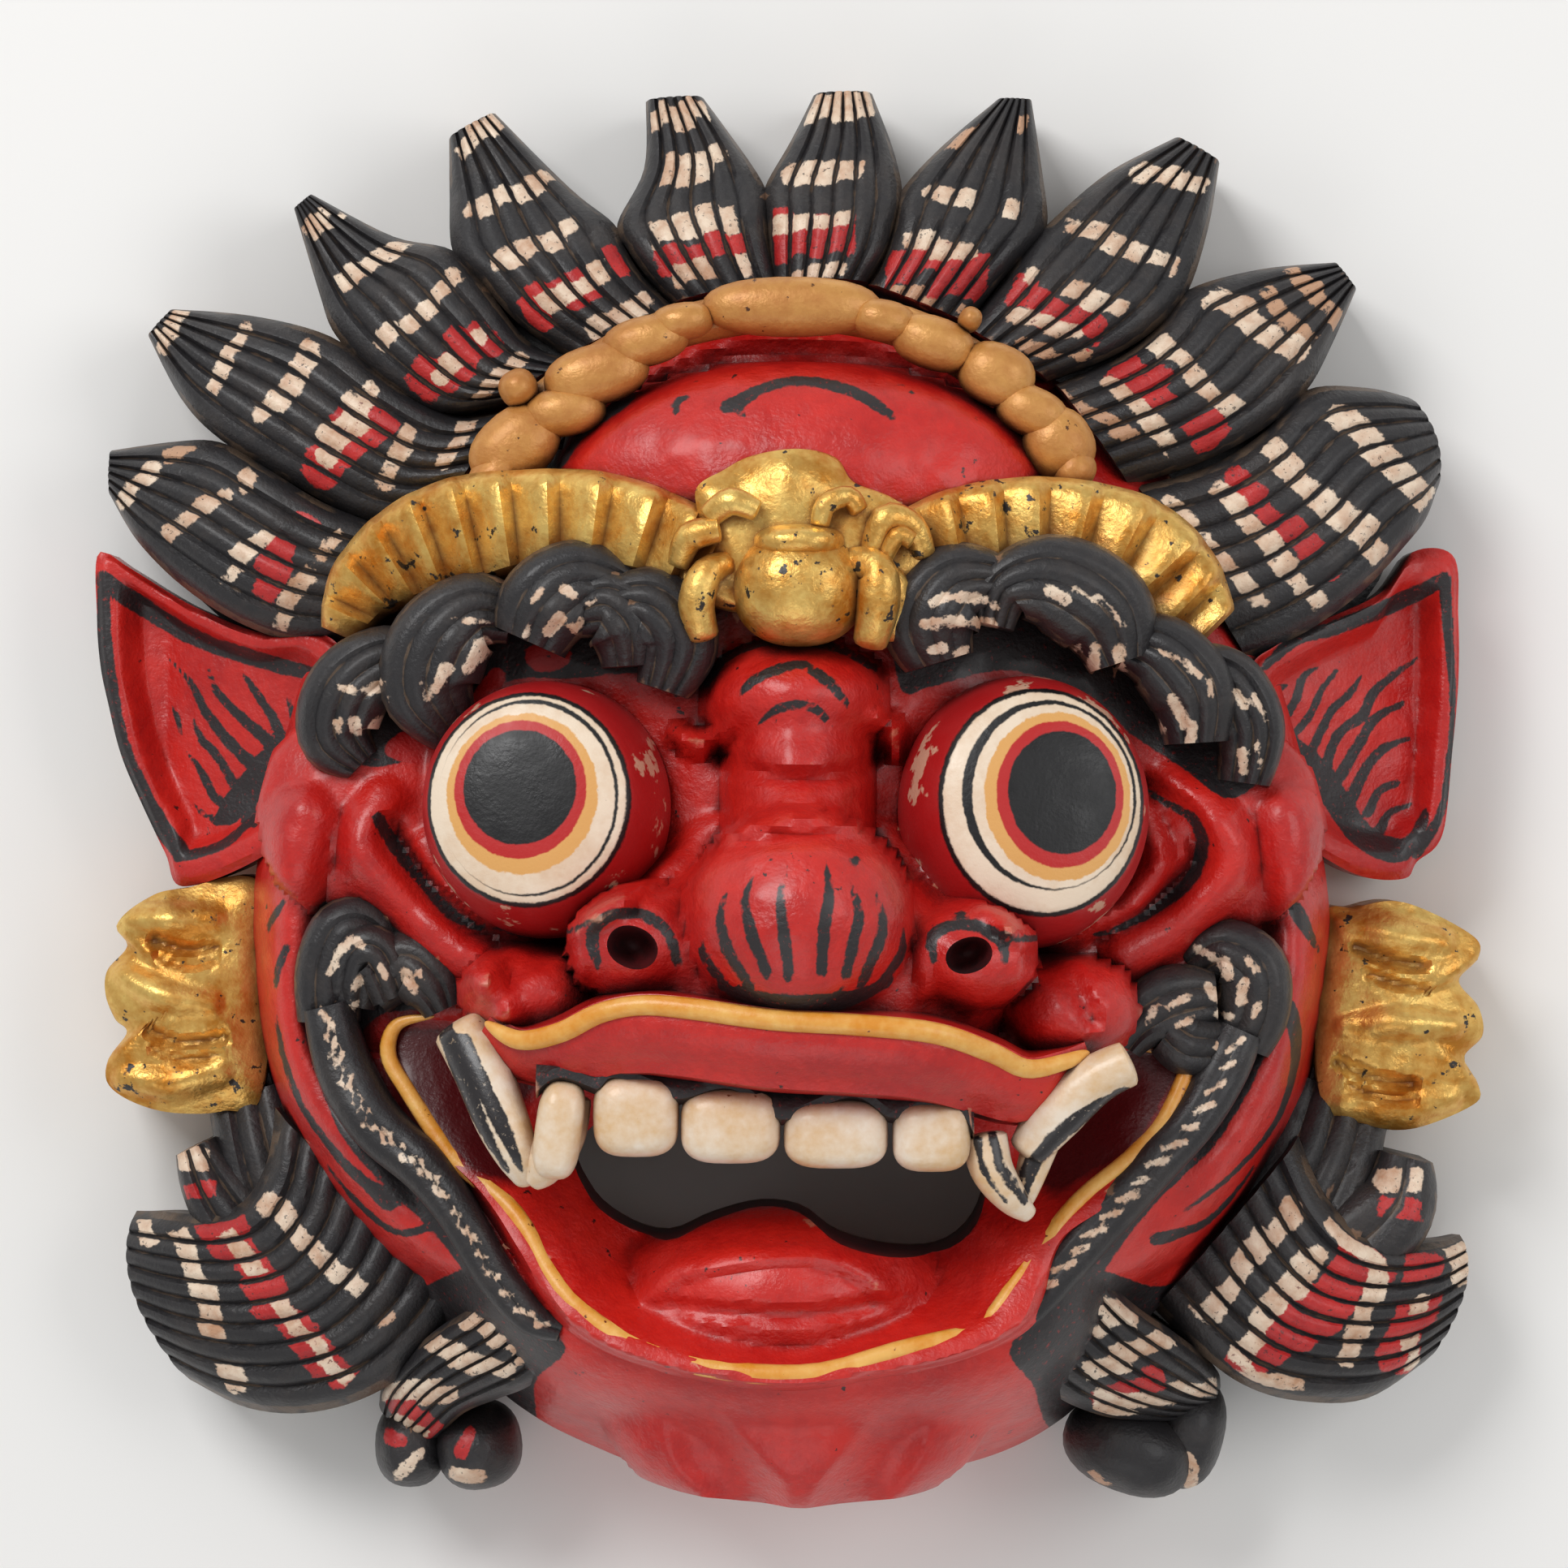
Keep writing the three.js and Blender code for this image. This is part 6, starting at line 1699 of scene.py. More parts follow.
@dataclass
class Hollow:
    """Room for the wearer's face, the nose, the mouth and the nostrils."""

    half_width: float = 86.0
    up: float = 90.0
    down: float = 92.0
    top: float = 54.0

    def roof(self, x: np.ndarray, y: np.ndarray, share: np.ndarray) -> np.ndarray:
        """Height of the hollow's roof, gouged by hand.

        Args:
            x, y: places in millimetres.
            share: share of the way out to the edge.

        Returns:
            Heights in millimetres.
        """
        out = np.hypot(x / self.half_width, (y - HEAD_MIDDLE) / np.where(y > HEAD_MIDDLE, self.up,
            self.down))
        dome = self.top * (1 - np.clip(out, 0, 1) ** 2.4) ** 0.55
        nose = Boss(1.5, -20, 20, 26, 40, 39, 6).raised(x, y, dome)
        gouges = 0.9 * ripple(x + 0.4 * y, y, 9.0, 51)
        return np.where(share > 0.985, 0.0, nose + gouges)

    def build(self) -> list[Carving]:
        """Makes the cutters."""
        edge = [(self.half_width * math.cos(a),
            HEAD_MIDDLE + (self.up if math.sin(a) > 0 else self.down) * math.sin(a))
                for a in np.linspace(0, 2 * math.pi, 28, endpoint=False)]
        room = plate("face_hollow", edge, (1.5, -20), 50, self.roof, Paint.WOOD, base=-5)
        return [room, self.mouth_hole(), *self.nostrils()]

    def mouth_hole(self) -> Carving:
        """Cutter of the way through the mouth."""
        shape = closed_outline(MOUTH_HOLE, 80)
        levels = np.linspace(-5, 110, 12)
        rings = np.stack([np.column_stack([shape, np.full(len(shape), z)]) for z in levels])
        return stacked("mouth_hole", rings, np.zeros_like(rings), Paint.DARK)

    def nostrils(self) -> list[Carving]:
        """Cutters of the nostrils."""
        return [
            pebble("left_nostril", (-28.7, -28.3) + (104,), (5.0, 4.0, 13), Paint.DARK, -24, 0.95),
            pebble("right_nostril", (32.3, -29.7) + (104,), (4.6, 3.4, 13), Paint.DARK, 20, 0.95),
        ]


MOUTH_HOLE = ((-40, -66), (-38, -76), (-31, -82), (-23, -84), (-15, -80.5), (-6, -78), (2, -79), (9, -84),
    (20, -87),
              (30, -86), (36, -79), (36, -68), (24, -58), (-22, -57))


# ---------------------------------------------------------------- shader tools


Colour = tuple[float, float, float, float]
Feed = bpy.types.NodeSocket | float


def screen(red: float, green: float, blue: float) -> Colour:
    """Shader colour of a colour given as it looks on a screen, 0 to 255."""
    def linear(value: float) -> float:
        """One channel, taken off the screen's curve."""
        value /= 255
        return value / 12.92 if value <= 0.04045 else ((value + 0.055) / 1.055) ** 2.4

    return (linear(red), linear(green), linear(blue), 1.0)


class Effect(Enum):
    """Shader groups that the finishes share."""

    # edge wear, and a crevice mask for grime with painted shade
    WEAR = "worn_edges_and_crevice_shade"
    BRUSH = "brushed_edge"
    MOTTLE = "mottled_paint"
    FLECK = "small_flecks"
    SURFACE = "hand_laid_surface"


@dataclass
class Graph:
    """Short way to add and join the nodes of one shader tree."""

    tree: bpy.types.NodeTree

    def add(self, kind: str, inputs: dict | None = None, **settings) -> bpy.types.Node:
        """Adds a node.

        Args:
            kind: the node's type.
            inputs: values or sockets for its inputs.
            settings: the node's own options.

        Returns:
            The node.
        """
        node = self.tree.nodes.new(kind)
        for key, value in settings.items():
            setattr(node, key, value)
        for key, value in (inputs or {}).items():
            if isinstance(value, bpy.types.NodeSocket):
                self.tree.links.new(value, node.inputs[key])
            else:
                node.inputs[key].default_value = value
        return node

    def math(self, operation: str, *values: Feed, clamp: bool = False) -> bpy.types.NodeSocket:
        """Result of an arithmetic node."""
        inputs = dict(enumerate(values))
        return self.add("ShaderNodeMath", inputs, operation=operation, use_clamp=clamp).outputs[0]

    def blend(self, factor: Feed, first: Feed | Colour, second: Feed | Colour) -> bpy.types.NodeSocket:
        """Mix of two colours."""
        node = self.add("ShaderNodeMix", {0: factor, 6: first, 7: second}, data_type="RGBA")
        return node.outputs[2]

    def between(self, value: Feed, low: float, high: float, start: float = 0.0,
        end: float = 1.0) -> bpy.types.NodeSocket:
        """Smooth change from start to end as the value goes from low to high."""
        inputs = {"Value": value, "From Min": low, "From Max": high, "To Min": start, "To Max": end}
        return self.add("ShaderNodeMapRange", inputs, interpolation_type="SMOOTHSTEP").outputs["Result"]

    def noise(self, scale: Feed, detail: float = 3.0, rough: float = 0.55,
              place: bpy.types.NodeSocket | None = None) -> bpy.types.NodeSocket:
        """Noise value in the mask's own coordinates."""
        place = place or self.place()
        inputs = {"Vector": place, "Scale": scale, "Detail": detail, "Roughness": rough}
        return self.add("ShaderNodeTexNoise", inputs).outputs["Fac"]

    def place(self) -> bpy.types.NodeSocket:
        """Coordinates of the mask itself."""
        return self.add("ShaderNodeTexCoord").outputs["Object"]

    def channels(self, title: str) -> list[bpy.types.NodeSocket]:
        """Three values of a corner attribute."""
        source = self.add("ShaderNodeAttribute", attribute_name=title, attribute_type="GEOMETRY")
        return list(self.add("ShaderNodeSeparateXYZ", {0: source.outputs["Vector"]}).outputs)

    def effect(self, which: Effect, **inputs: Feed | Colour) -> bpy.types.Node:
        """Adds one of the shared groups."""
        node = self.tree.nodes.new("ShaderNodeGroup")
        node.node_tree = bpy.data.node_groups[which.value]
        for key, value in inputs.items():
            if isinstance(value, bpy.types.NodeSocket):
                self.tree.links.new(value, node.inputs[key])
            else:
                node.inputs[key].default_value = value
        return node


@dataclass
class EffectShop:
    """Makes the shader groups that the finishes share."""

    def start(self, which: Effect, inputs: dict[str, float | Colour],
              outputs: dict[str, str]) -> tuple["Graph", bpy.types.Node, bpy.types.Node]:
        """Opens a new group with its sockets.

        Args:
            which: the group.
            inputs: default value of each input.
            outputs: socket type of each output.

        Returns:
            The group's graph, its input node and its output node.
        """
        tree = bpy.data.node_groups.new(which.value, "ShaderNodeTree")
        for title, value in inputs.items():
            kind = "NodeSocketColor" if isinstance(value, tuple) else "NodeSocketFloat"
            tree.interface.new_socket(name=title, in_out="INPUT", socket_type=kind).default_value = value
        for title, kind in outputs.items():
            tree.interface.new_socket(name=title, in_out="OUTPUT", socket_type=kind)
        graph = Graph(tree)
        return graph, graph.add("NodeGroupInput"), graph.add("NodeGroupOutput")

    def wear_and_shade(self) -> None:
        """Edges rubbed thin, from the curvature of the carving, and a crevice mask from curvature and
        ambient occlusion that lays grime together with painted shade.
        """
        g, given, made = self.start(Effect.WEAR, {"Grain": 260.0, "Rub": 1.0},
                                    {"Edge": "NodeSocketFloat", "GrimeAndShade": "NodeSocketFloat"})
        curve = g.add("ShaderNodeNewGeometry").outputs["Pointiness"]
        fine = g.noise(given.outputs["Grain"], 5.0, 0.65)
        broad = g.noise(38.0, 2.0)
        edge = g.math("ADD", curve, g.math("MULTIPLY", g.math("SUBTRACT", fine, 0.5), 0.16))
        edge = g.math("ADD", edge, g.math("MULTIPLY", g.math("SUBTRACT", broad, 0.5), 0.10))
        edge = g.math("MULTIPLY", g.between(edge, 0.575, 0.62), given.outputs["Rub"], clamp=True)
        # hollow curvature, part of the crevice mask for grime with painted shade
        low = g.math("ADD", curve, g.math("MULTIPLY", g.math("SUBTRACT", fine, 0.5), 0.05))
        g.tree.links.new(edge, made.inputs["Edge"])
        # ambient occlusion: the crevice mask follows where shade falls, so it paints shade as well as grime
        shelter = g.add("ShaderNodeAmbientOcclusion", {"Distance": 0.007}, samples=6).outputs["AO"]
        shelter = g.math("ADD", shelter, g.math("MULTIPLY", g.math("SUBTRACT", fine, 0.5), 0.35))
        held = g.math("MAXIMUM", g.between(low, 0.475, 0.40), g.between(shelter, 0.62, 0.22))
        g.tree.links.new(held, made.inputs["GrimeAndShade"])

    def brush(self) -> None:
        """Mask of a brush mark from the distance to its edge, in millimetres."""
        g, given, made = self.start(Effect.BRUSH, {"Distance": 9.0, "Wobble": 0.45, "Soft": 0.12,
            "Dry": 0.0},
                                    {"Mask": "NodeSocketFloat"})
        coarse = g.math("SUBTRACT", g.noise(420.0, 2.0), 0.5)
        fine = g.math("SUBTRACT", g.noise(1500.0, 3.0), 0.5)
        wander = g.math("ADD", g.math("MULTIPLY", coarse, 1.6), g.math("MULTIPLY", fine, 0.9))
        away = g.math("ADD", given.outputs["Distance"], g.math("MULTIPLY", wander, given.outputs["Wobble"]))
        soft = given.outputs["Soft"]
        share = g.math("DIVIDE", g.math("SUBTRACT", soft, away), g.math("MULTIPLY", soft, 2.0), clamp=True)
        gaps = g.between(g.noise(900.0, 4.0, 0.7), 0.60, 0.66)
        kept = g.math("SUBTRACT", 1.0, g.math("MULTIPLY", gaps, given.outputs["Dry"]), clamp=True)
        g.tree.links.new(g.math("MULTIPLY", share, kept), made.inputs["Mask"])

    def mottle(self) -> None:
        """Two shades of one paint, patchy as if laid by hand."""
        g, given, made = self.start(Effect.MOTTLE, {"First": (1, 1, 1, 1), "Second": (0, 0, 0, 1),
            "Scale": 60.0,
                                                    "Middle": 0.5}, {"Color": "NodeSocketColor"})
        broad = g.noise(given.outputs["Scale"], 4.0, 0.6)
        fine = g.noise(520.0, 3.0)
        both = g.math("ADD", g.math("MULTIPLY", broad, 0.72), g.math("MULTIPLY", fine, 0.28))
        share = g.math("ADD", g.math("MULTIPLY", g.math("SUBTRACT", both, given.outputs["Middle"]), 4.0),
            0.5, clamp=True)
        g.tree.links.new(g.blend(share, given.outputs["First"], given.outputs["Second"]),
            made.inputs["Color"])

    def fleck(self) -> None:
        """Mask of scattered chips and specks."""
        g, given, made = self.start(Effect.FLECK, {"Scale": 300.0, "Level": 0.68},
            {"Mask": "NodeSocketFloat"})
        value = g.noise(given.outputs["Scale"], 4.0, 0.62)
        gate = g.noise(45.0, 2.0)
        both = g.math("ADD", value, g.math("MULTIPLY", g.math("SUBTRACT", gate, 0.5), 0.25))
        over = g.math("MULTIPLY", g.math("SUBTRACT", both, given.outputs["Level"]), 30.0, clamp=True)
        g.tree.links.new(over, made.inputs["Mask"])

    def surface(self) -> None:
        """Height of the brush marks and small dents of the paint."""
        g, given, made = self.start(Effect.SURFACE, {"Dents": 0.5, "Grit": 0.3},
            {"Height": "NodeSocketFloat"})
        dents = g.math("MULTIPLY", g.noise(190.0, 3.0), given.outputs["Dents"])
        grit = g.math("MULTIPLY", g.noise(1300.0, 3.0, 0.6), given.outputs["Grit"])
        g.tree.links.new(g.math("ADD", dents, grit), made.inputs["Height"])

    def build(self) -> None:
        """Makes every group."""
        for make in (self.wear_and_shade, self.brush, self.mottle, self.fleck, self.surface):
            make()
        log.info("made %d shader groups", len(Effect))


@dataclass
class Skin:
    """What a finish feeds to its shader."""

    color: bpy.types.NodeSocket | Colour
    roughness: bpy.types.NodeSocket | float = 0.5
    metallic: bpy.types.NodeSocket | float = 0.0
    coat: bpy.types.NodeSocket | float = 0.0
    dents: float = 0.5
    grit: float = 0.25
    strength: float = 0.25


@dataclass(frozen=True)
class Finish:
    """One painted or gilded finish."""

    paint: Paint

    def skin(self, g: Graph) -> Skin:
        """Lays the finish's nodes and returns what they feed."""
        raise NotImplementedError

    def build(self) -> bpy.types.Material:
        """Makes the material.

        Returns:
            The material, under the name of its paint.
        """
        material = bpy.data.materials.new(self.paint.value)
        material.use_nodes = True
        g = Graph(material.node_tree)
        g.tree.nodes.clear()
        skin = self.skin(g)
        height = g.effect(Effect.SURFACE, Dents=skin.dents, Grit=skin.grit).outputs["Height"]
        bump = g.add("ShaderNodeBump", {"Strength": skin.strength, "Distance": 0.0012, "Height": height})
        shader = g.add("ShaderNodeBsdfPrincipled", {
            "Base Color": skin.color, "Roughness": skin.roughness, "Metallic": skin.metallic,
            "Coat Weight": skin.coat, "Coat Roughness": 0.22, "Normal": bump.outputs["Normal"]})
        g.add("ShaderNodeOutputMaterial", {"Surface": shader.outputs["BSDF"]})
        log.info("finish %s", self.paint.value)
        return material


@dataclass(frozen=True)
class RedLacquer(Finish):
    """Red lacquer with black brush lines over it, rubbed and dirty."""

    paint: Paint = Paint.RED
    bright: Colour = screen(210, 34, 24)
    main: Colour = screen(180, 20, 18)
    # darkest red, laid in the crevices as painted shade with grime
    deep: Colour = screen(62, 6, 8)
    ink: Colour = screen(34, 28, 30)
    maroon: Colour = screen(74, 10, 14)
    chip: Colour = screen(214, 150, 118)
    dirt: Colour = screen(58, 16, 16)

    def skin(self, g: Graph) -> Skin:
        """Red with painted shade and grime in its crevices, black lines, red touches, chips and dirt."""
        wear_and_shade = g.effect(Effect.WEAR, Grain=320.0)
        deep, over, ink = g.channels("marks")
        color = g.effect(Effect.MOTTLE, First=self.main, Second=self.bright, Scale=46.0).outputs["Color"]
        # painted shade with grime: crevices darkened towards the darkest red
        color = g.blend(wear_and_shade.outputs["GrimeAndShade"], color, self.deep)
        cavity = g.effect(Effect.BRUSH, Distance=deep, Wobble=0.8, Soft=1.2).outputs["Mask"]
        color = g.blend(cavity, color, self.maroon)
        line = g.effect(Effect.BRUSH, Distance=ink, Wobble=0.5, Soft=0.14, Dry=0.35).outputs["Mask"]
        color = g.blend(line, color, self.ink)
        touch = g.effect(Effect.BRUSH, Distance=over, Wobble=0.5, Soft=0.15).outputs["Mask"]
        color = g.blend(touch, color, self.main)
        specks = g.effect(Effect.FLECK, Scale=360.0, Level=0.70).outputs["Mask"]
        color = g.blend(specks, color, self.dirt)
        color = g.blend(g.math("MULTIPLY", wear_and_shade.outputs["Edge"], 0.55), color, self.chip)
        rough = g.between(g.noise(90.0, 3.0), 0.35, 0.7, 0.34, 0.5)
        rough = g.math("ADD", rough, g.math("MULTIPLY", line, 0.12))
        return Skin(color, rough, 0.0, 0.30, dents=1.0, grit=0.3, strength=0.55)


@dataclass(frozen=True)
class BlackHair(Finish):
    """Black hair with brown showing in its cuts and cream, red and tan dashes."""

    paint: Paint = Paint.BLACK
    black: Colour = screen(36, 34, 36)
    soft: Colour = screen(58, 52, 50)
    cut: Colour = screen(104, 84, 66)
    cream: Colour = screen(238, 216, 192)
    old_cream: Colour = screen(196, 150, 118)
    red: Colour = screen(170, 26, 30)
    bright_red: Colour = screen(200, 44, 42)
    tan: Colour = screen(196, 152, 120)
    worn: Colour = screen(150, 112, 84)

    def skin(self, g: Graph) -> Skin:
        """Black with cut lines, dashes, rubbed edges and painted shade in its crevices."""
        wear_and_shade = g.effect(Effect.WEAR, Grain=420.0)
        strand, _, kind = g.channels("strand")
        cream, red, tan = g.channels("marks")
        color = g.effect(Effect.MOTTLE, First=self.black, Second=self.soft, Scale=70.0,
            Middle=0.6).outputs["Color"]
        part = g.math("FRACT", g.math("ADD", strand, 0.0002))
        side = g.math("MINIMUM", part, g.math("SUBTRACT", 1.0, part))
        wander = g.math("MULTIPLY", g.math("SUBTRACT", g.noise(300.0, 3.0), 0.5), 0.24)
        side = g.math("ADD", side, wander)
        free = g.between(kind, -0.4, -0.6)
        inner = g.math("MAXIMUM", g.between(side, 0.10, 0.16), free)
        line = g.math("MULTIPLY", g.between(side, 0.06, 0.015), g.between(g.noise(120.0, 2.0), 0.42, 0.56))
        color = g.blend(g.math("MULTIPLY", line, 0.7), color, self.cut)

        def laid(distance: bpy.types.NodeSocket, wobble: float) -> bpy.types.NodeSocket:
            """Mask of dashes kept off the cuts."""
            mask = g.effect(Effect.BRUSH, Distance=distance, Wobble=wobble, Soft=0.16,
                Dry=0.8).outputs["Mask"]
            return g.math("MULTIPLY", mask, inner)

        fresh_red = g.effect(Effect.MOTTLE, First=self.red, Second=self.bright_red,
            Scale=90.0).outputs["Color"]
        fresh_cream = g.effect(Effect.MOTTLE, First=self.cream, Second=self.old_cream, Scale=110.0,
            Middle=0.53)
        color = g.blend(laid(tan, 1.3), color, self.tan)
        color = g.blend(laid(red, 1.1), color, fresh_red)
        color = g.blend(laid(cream, 1.0), color, fresh_cream.outputs["Color"])
        color = g.blend(g.math("MULTIPLY", wear_and_shade.outputs["Edge"], 0.6), color, self.worn)
        # painted shade with grime: crevices darkened to black
        color = g.blend(g.math("MULTIPLY", wear_and_shade.outputs["GrimeAndShade"], 0.5), color, self.black)
        rough = g.between(g.noise(110.0, 3.0), 0.35, 0.7, 0.42, 0.6)
        return Skin(color, rough, 0.0, 0.12, dents=0.8, grit=0.35, strength=0.5)


@dataclass(frozen=True)
class GoldLeaf(Finish):
    """Gold leaf over ochre, rubbed through in places and flecked with black."""

    paint: Paint = Paint.GOLD
    leaf: Colour = screen(244, 206, 118)
    old: Colour = screen(200, 132, 44)
    ground: Colour = screen(112, 54, 20)
    black: Colour = screen(38, 30, 24)

    def skin(self, g: Graph) -> Skin:
        """Leaf with dark ochre in its recesses, as ochre ground showing through and painted shade, and
        black flecks.
        """
        wear_and_shade = g.effect(Effect.WEAR, Grain=300.0)
        color = g.effect(Effect.MOTTLE, First=self.leaf, Second=self.old, Scale=85.0).outputs["Color"]
        # ochre ground in the recesses, darkened as painted shade
        color = g.blend(g.math("MULTIPLY", wear_and_shade.outputs["GrimeAndShade"], 0.85), color, self.ground)
        flecks = g.effect(Effect.FLECK, Scale=300.0, Level=0.635).outputs["Mask"]
        color = g.blend(flecks, color, self.black)
        dull = g.math("MAXIMUM", flecks, g.math("MULTIPLY", wear_and_shade.outputs["GrimeAndShade"], 0.8))
        metal = g.between(dull, 0.0, 1.0, 0.72, 0.0)
        rough = g.between(g.noise(150.0, 3.0), 0.3, 0.7, 0.3, 0.48)
        return Skin(color, rough, metal, 0.1, dents=0.8, strength=0.45)


@dataclass(frozen=True)
class OchreLeaves(Finish):
    """Bronze-ochre paint of the leaf border."""

    paint: Paint = Paint.OCHRE
    light: Colour = screen(214, 156, 84)
    main: Colour = screen(186, 122, 58)
    dark: Colour = screen(84, 48, 24)

    def skin(self, g: Graph) -> Skin:
        """Ochre with painted shade in its recesses."""
        wear_and_shade = g.effect(Effect.WEAR, Grain=300.0)
        color = g.effect(Effect.MOTTLE, First=self.light, Second=self.main, Scale=75.0).outputs["Color"]
        # painted shade with grime: recesses darkened to dark brown
        color = g.blend(wear_and_shade.outputs["GrimeAndShade"], color, self.dark)
        flecks = g.effect(Effect.FLECK, Scale=360.0, Level=0.69).outputs["Mask"]
        color = g.blend(flecks, color, self.dark)
        rough = g.between(g.noise(150.0, 3.0), 0.3, 0.7, 0.36, 0.52)
        return Skin(color, rough, 0.25, 0.1, dents=0.7, strength=0.4)


@dataclass(frozen=True)
class PaintedEye(Finish):
    """Ringed eye: black pupil, red, yellow and cream, outlined in black on a red ball."""

    paint: Paint = Paint.EYE
    pupil: Colour = screen(16, 15, 17)
    red: Colour = screen(188, 34, 34)
    yellow: Colour = screen(226, 168, 96)
    cream: Colour = screen(240, 220, 196)
    shade: Colour = screen(222, 190, 158)
    ball: Colour = screen(176, 28, 30)
    chip: Colour = screen(222, 190, 160)

    def skin(self, g: Graph) -> Skin:
        """Rings from the ball inwards, each laid over the last."""
        pupil, red, yellow = g.channels("marks")
        ring, white, disc = g.channels("strand")

        def inside(distance: bpy.types.NodeSocket, wobble: float = 0.35) -> bpy.types.NodeSocket:
            """Mask of one ring and all within it."""
            return g.effect(Effect.BRUSH, Distance=distance, Wobble=wobble, Soft=0.14).outputs["Mask"]

        cream = g.effect(Effect.MOTTLE, First=self.cream, Second=self.shade, Scale=70.0,
            Middle=0.56).outputs["Color"]
        bare = g.effect(Effect.FLECK, Scale=110.0, Level=0.60).outputs["Mask"]
        color = g.blend(g.math("MULTIPLY", bare, 0.7), self.ball, self.chip)
        color = g.blend(inside(g.math("SUBTRACT", disc, 0.5)), color, self.pupil)
        color = g.blend(inside(g.math("ADD", disc, 0.3)), color, cream)
        color = g.blend(inside(ring), color, self.pupil)
        color = g.blend(inside(white), color, cream)
        color = g.blend(inside(yellow, 0.6), color, self.yellow)
        color = g.blend(inside(red), color, self.red)
        color = g.blend(inside(pupil), color, self.pupil)
        specks = g.effect(Effect.FLECK, Scale=420.0, Level=0.74).outputs["Mask"]
        color = g.blend(specks, color, self.pupil)
        return Skin(color, g.between(g.noise(160.0, 3.0), 0.3, 0.7, 0.34, 0.5), 0.0, 0.0, strength=0.25)


@dataclass(frozen=True)
class YellowLip(Finish):
    """Orange-yellow line of the lips, rubbed paler in patches."""

    paint: Paint = Paint.LIP
    main: Colour = screen(226, 146, 40)
    pale: Colour = screen(240, 184, 96)
    dark: Colour = screen(110, 40, 20)

    def skin(self, g: Graph) -> Skin:
        """Yellow with rubbed places, dirty flecks and painted shade in its crevices."""
        wear_and_shade = g.effect(Effect.WEAR, Grain=300.0)
        color = g.effect(Effect.MOTTLE, First=self.main, Second=self.pale, Scale=110.0).outputs["Color"]
        # painted shade with grime: crevices darkened to dark brown
        color = g.blend(wear_and_shade.outputs["GrimeAndShade"], color, self.dark)
        flecks = g.effect(Effect.FLECK, Scale=420.0, Level=0.70).outputs["Mask"]
        color = g.blend(flecks, color, self.dark)
        return Skin(color, 0.4, 0.0, 0.2, strength=0.3)


@dataclass(frozen=True)
class PaintedTooth(Finish):
    """Cream teeth, yellowed, with black stripes."""

    paint: Paint = Paint.TOOTH
    light: Colour = screen(240, 224, 204)
    yellowed: Colour = screen(222, 184, 136)
    dark: Colour = screen(120, 70, 40)
    ink: Colour = screen(34, 30, 32)

    def skin(self, g: Graph) -> Skin:
        """Cream with yellowed places, stripes and brown in its crevices, as staining and painted shade."""
        wear_and_shade = g.effect(Effect.WEAR, Grain=300.0)
        stripe = g.channels("marks")[2]
        color = g.effect(Effect.MOTTLE, First=self.light, Second=self.yellowed, Scale=60.0).outputs["Color"]
        # brown at the roots: staining with painted shade, from the crevice mask
        color = g.blend(g.math("MULTIPLY", wear_and_shade.outputs["GrimeAndShade"], 0.6), color, self.dark)
        mask = g.effect(Effect.BRUSH, Distance=stripe, Wobble=0.6, Soft=0.14, Dry=0.3).outputs["Mask"]
        color = g.blend(mask, color, self.ink)
        flecks = g.effect(Effect.FLECK, Scale=420.0, Level=0.73).outputs["Mask"]
        color = g.blend(flecks, color, self.dark)
        return Skin(color, 0.36, 0.0, 0.25, strength=0.25)


@dataclass(frozen=True)
class MouthMaroon(Finish):
    """Dark red inside the nostrils and the way through the mouth."""

    paint: Paint = Paint.DARK
    main: Colour = screen(96, 12, 16)
    dark: Colour = screen(44, 8, 10)

    def skin(self, g: Graph) -> Skin:
        """Patchy dark red."""
        color = g.effect(Effect.MOTTLE, First=self.main, Second=self.dark, Scale=80.0).outputs["Color"]
        return Skin(color, 0.6, 0.0, 0.0, strength=0.3)


@dataclass(frozen=True)
class BareWood(Finish):
    """Pale gouged wood of the back, with its grain along the mask."""

    paint: Paint = Paint.WOOD
    light: Colour = screen(206, 160, 112)
    dark: Colour = screen(150, 102, 64)
    crevice_shade: Colour = screen(96, 64, 42)

    def skin(self, g: Graph) -> Skin:
        """Wood with long grain and painted shade in its crevices."""
        wear_and_shade = g.effect(Effect.WEAR, Grain=200.0)
        stretch = g.add("ShaderNodeMapping", {"Vector": g.place(), "Scale": (1.0, 0.12, 1.0)}).outputs[0]
        grain = g.noise(330.0, 5.0, 0.6, stretch)
        broad = g.effect(Effect.MOTTLE, First=self.light, Second=self.dark, Scale=26.0).outputs["Color"]
        color = g.blend(g.between(grain, 0.42, 0.68, 0.0, 0.7), broad, self.dark)
        # painted shade: crevices darkened to dark brown
        color = g.blend(g.math("MULTIPLY", wear_and_shade.outputs["GrimeAndShade"], 0.7), color, self.crevice_shade)
        return Skin(color, 0.72, 0.0, 0.0, strength=0.35)


FINISHES = (RedLacquer(), BlackHair(), GoldLeaf(), OchreLeaves(), PaintedEye(), YellowLip(), PaintedTooth(),
            MouthMaroon(), BareWood())


# ---------------------------------------------------------------- the mask


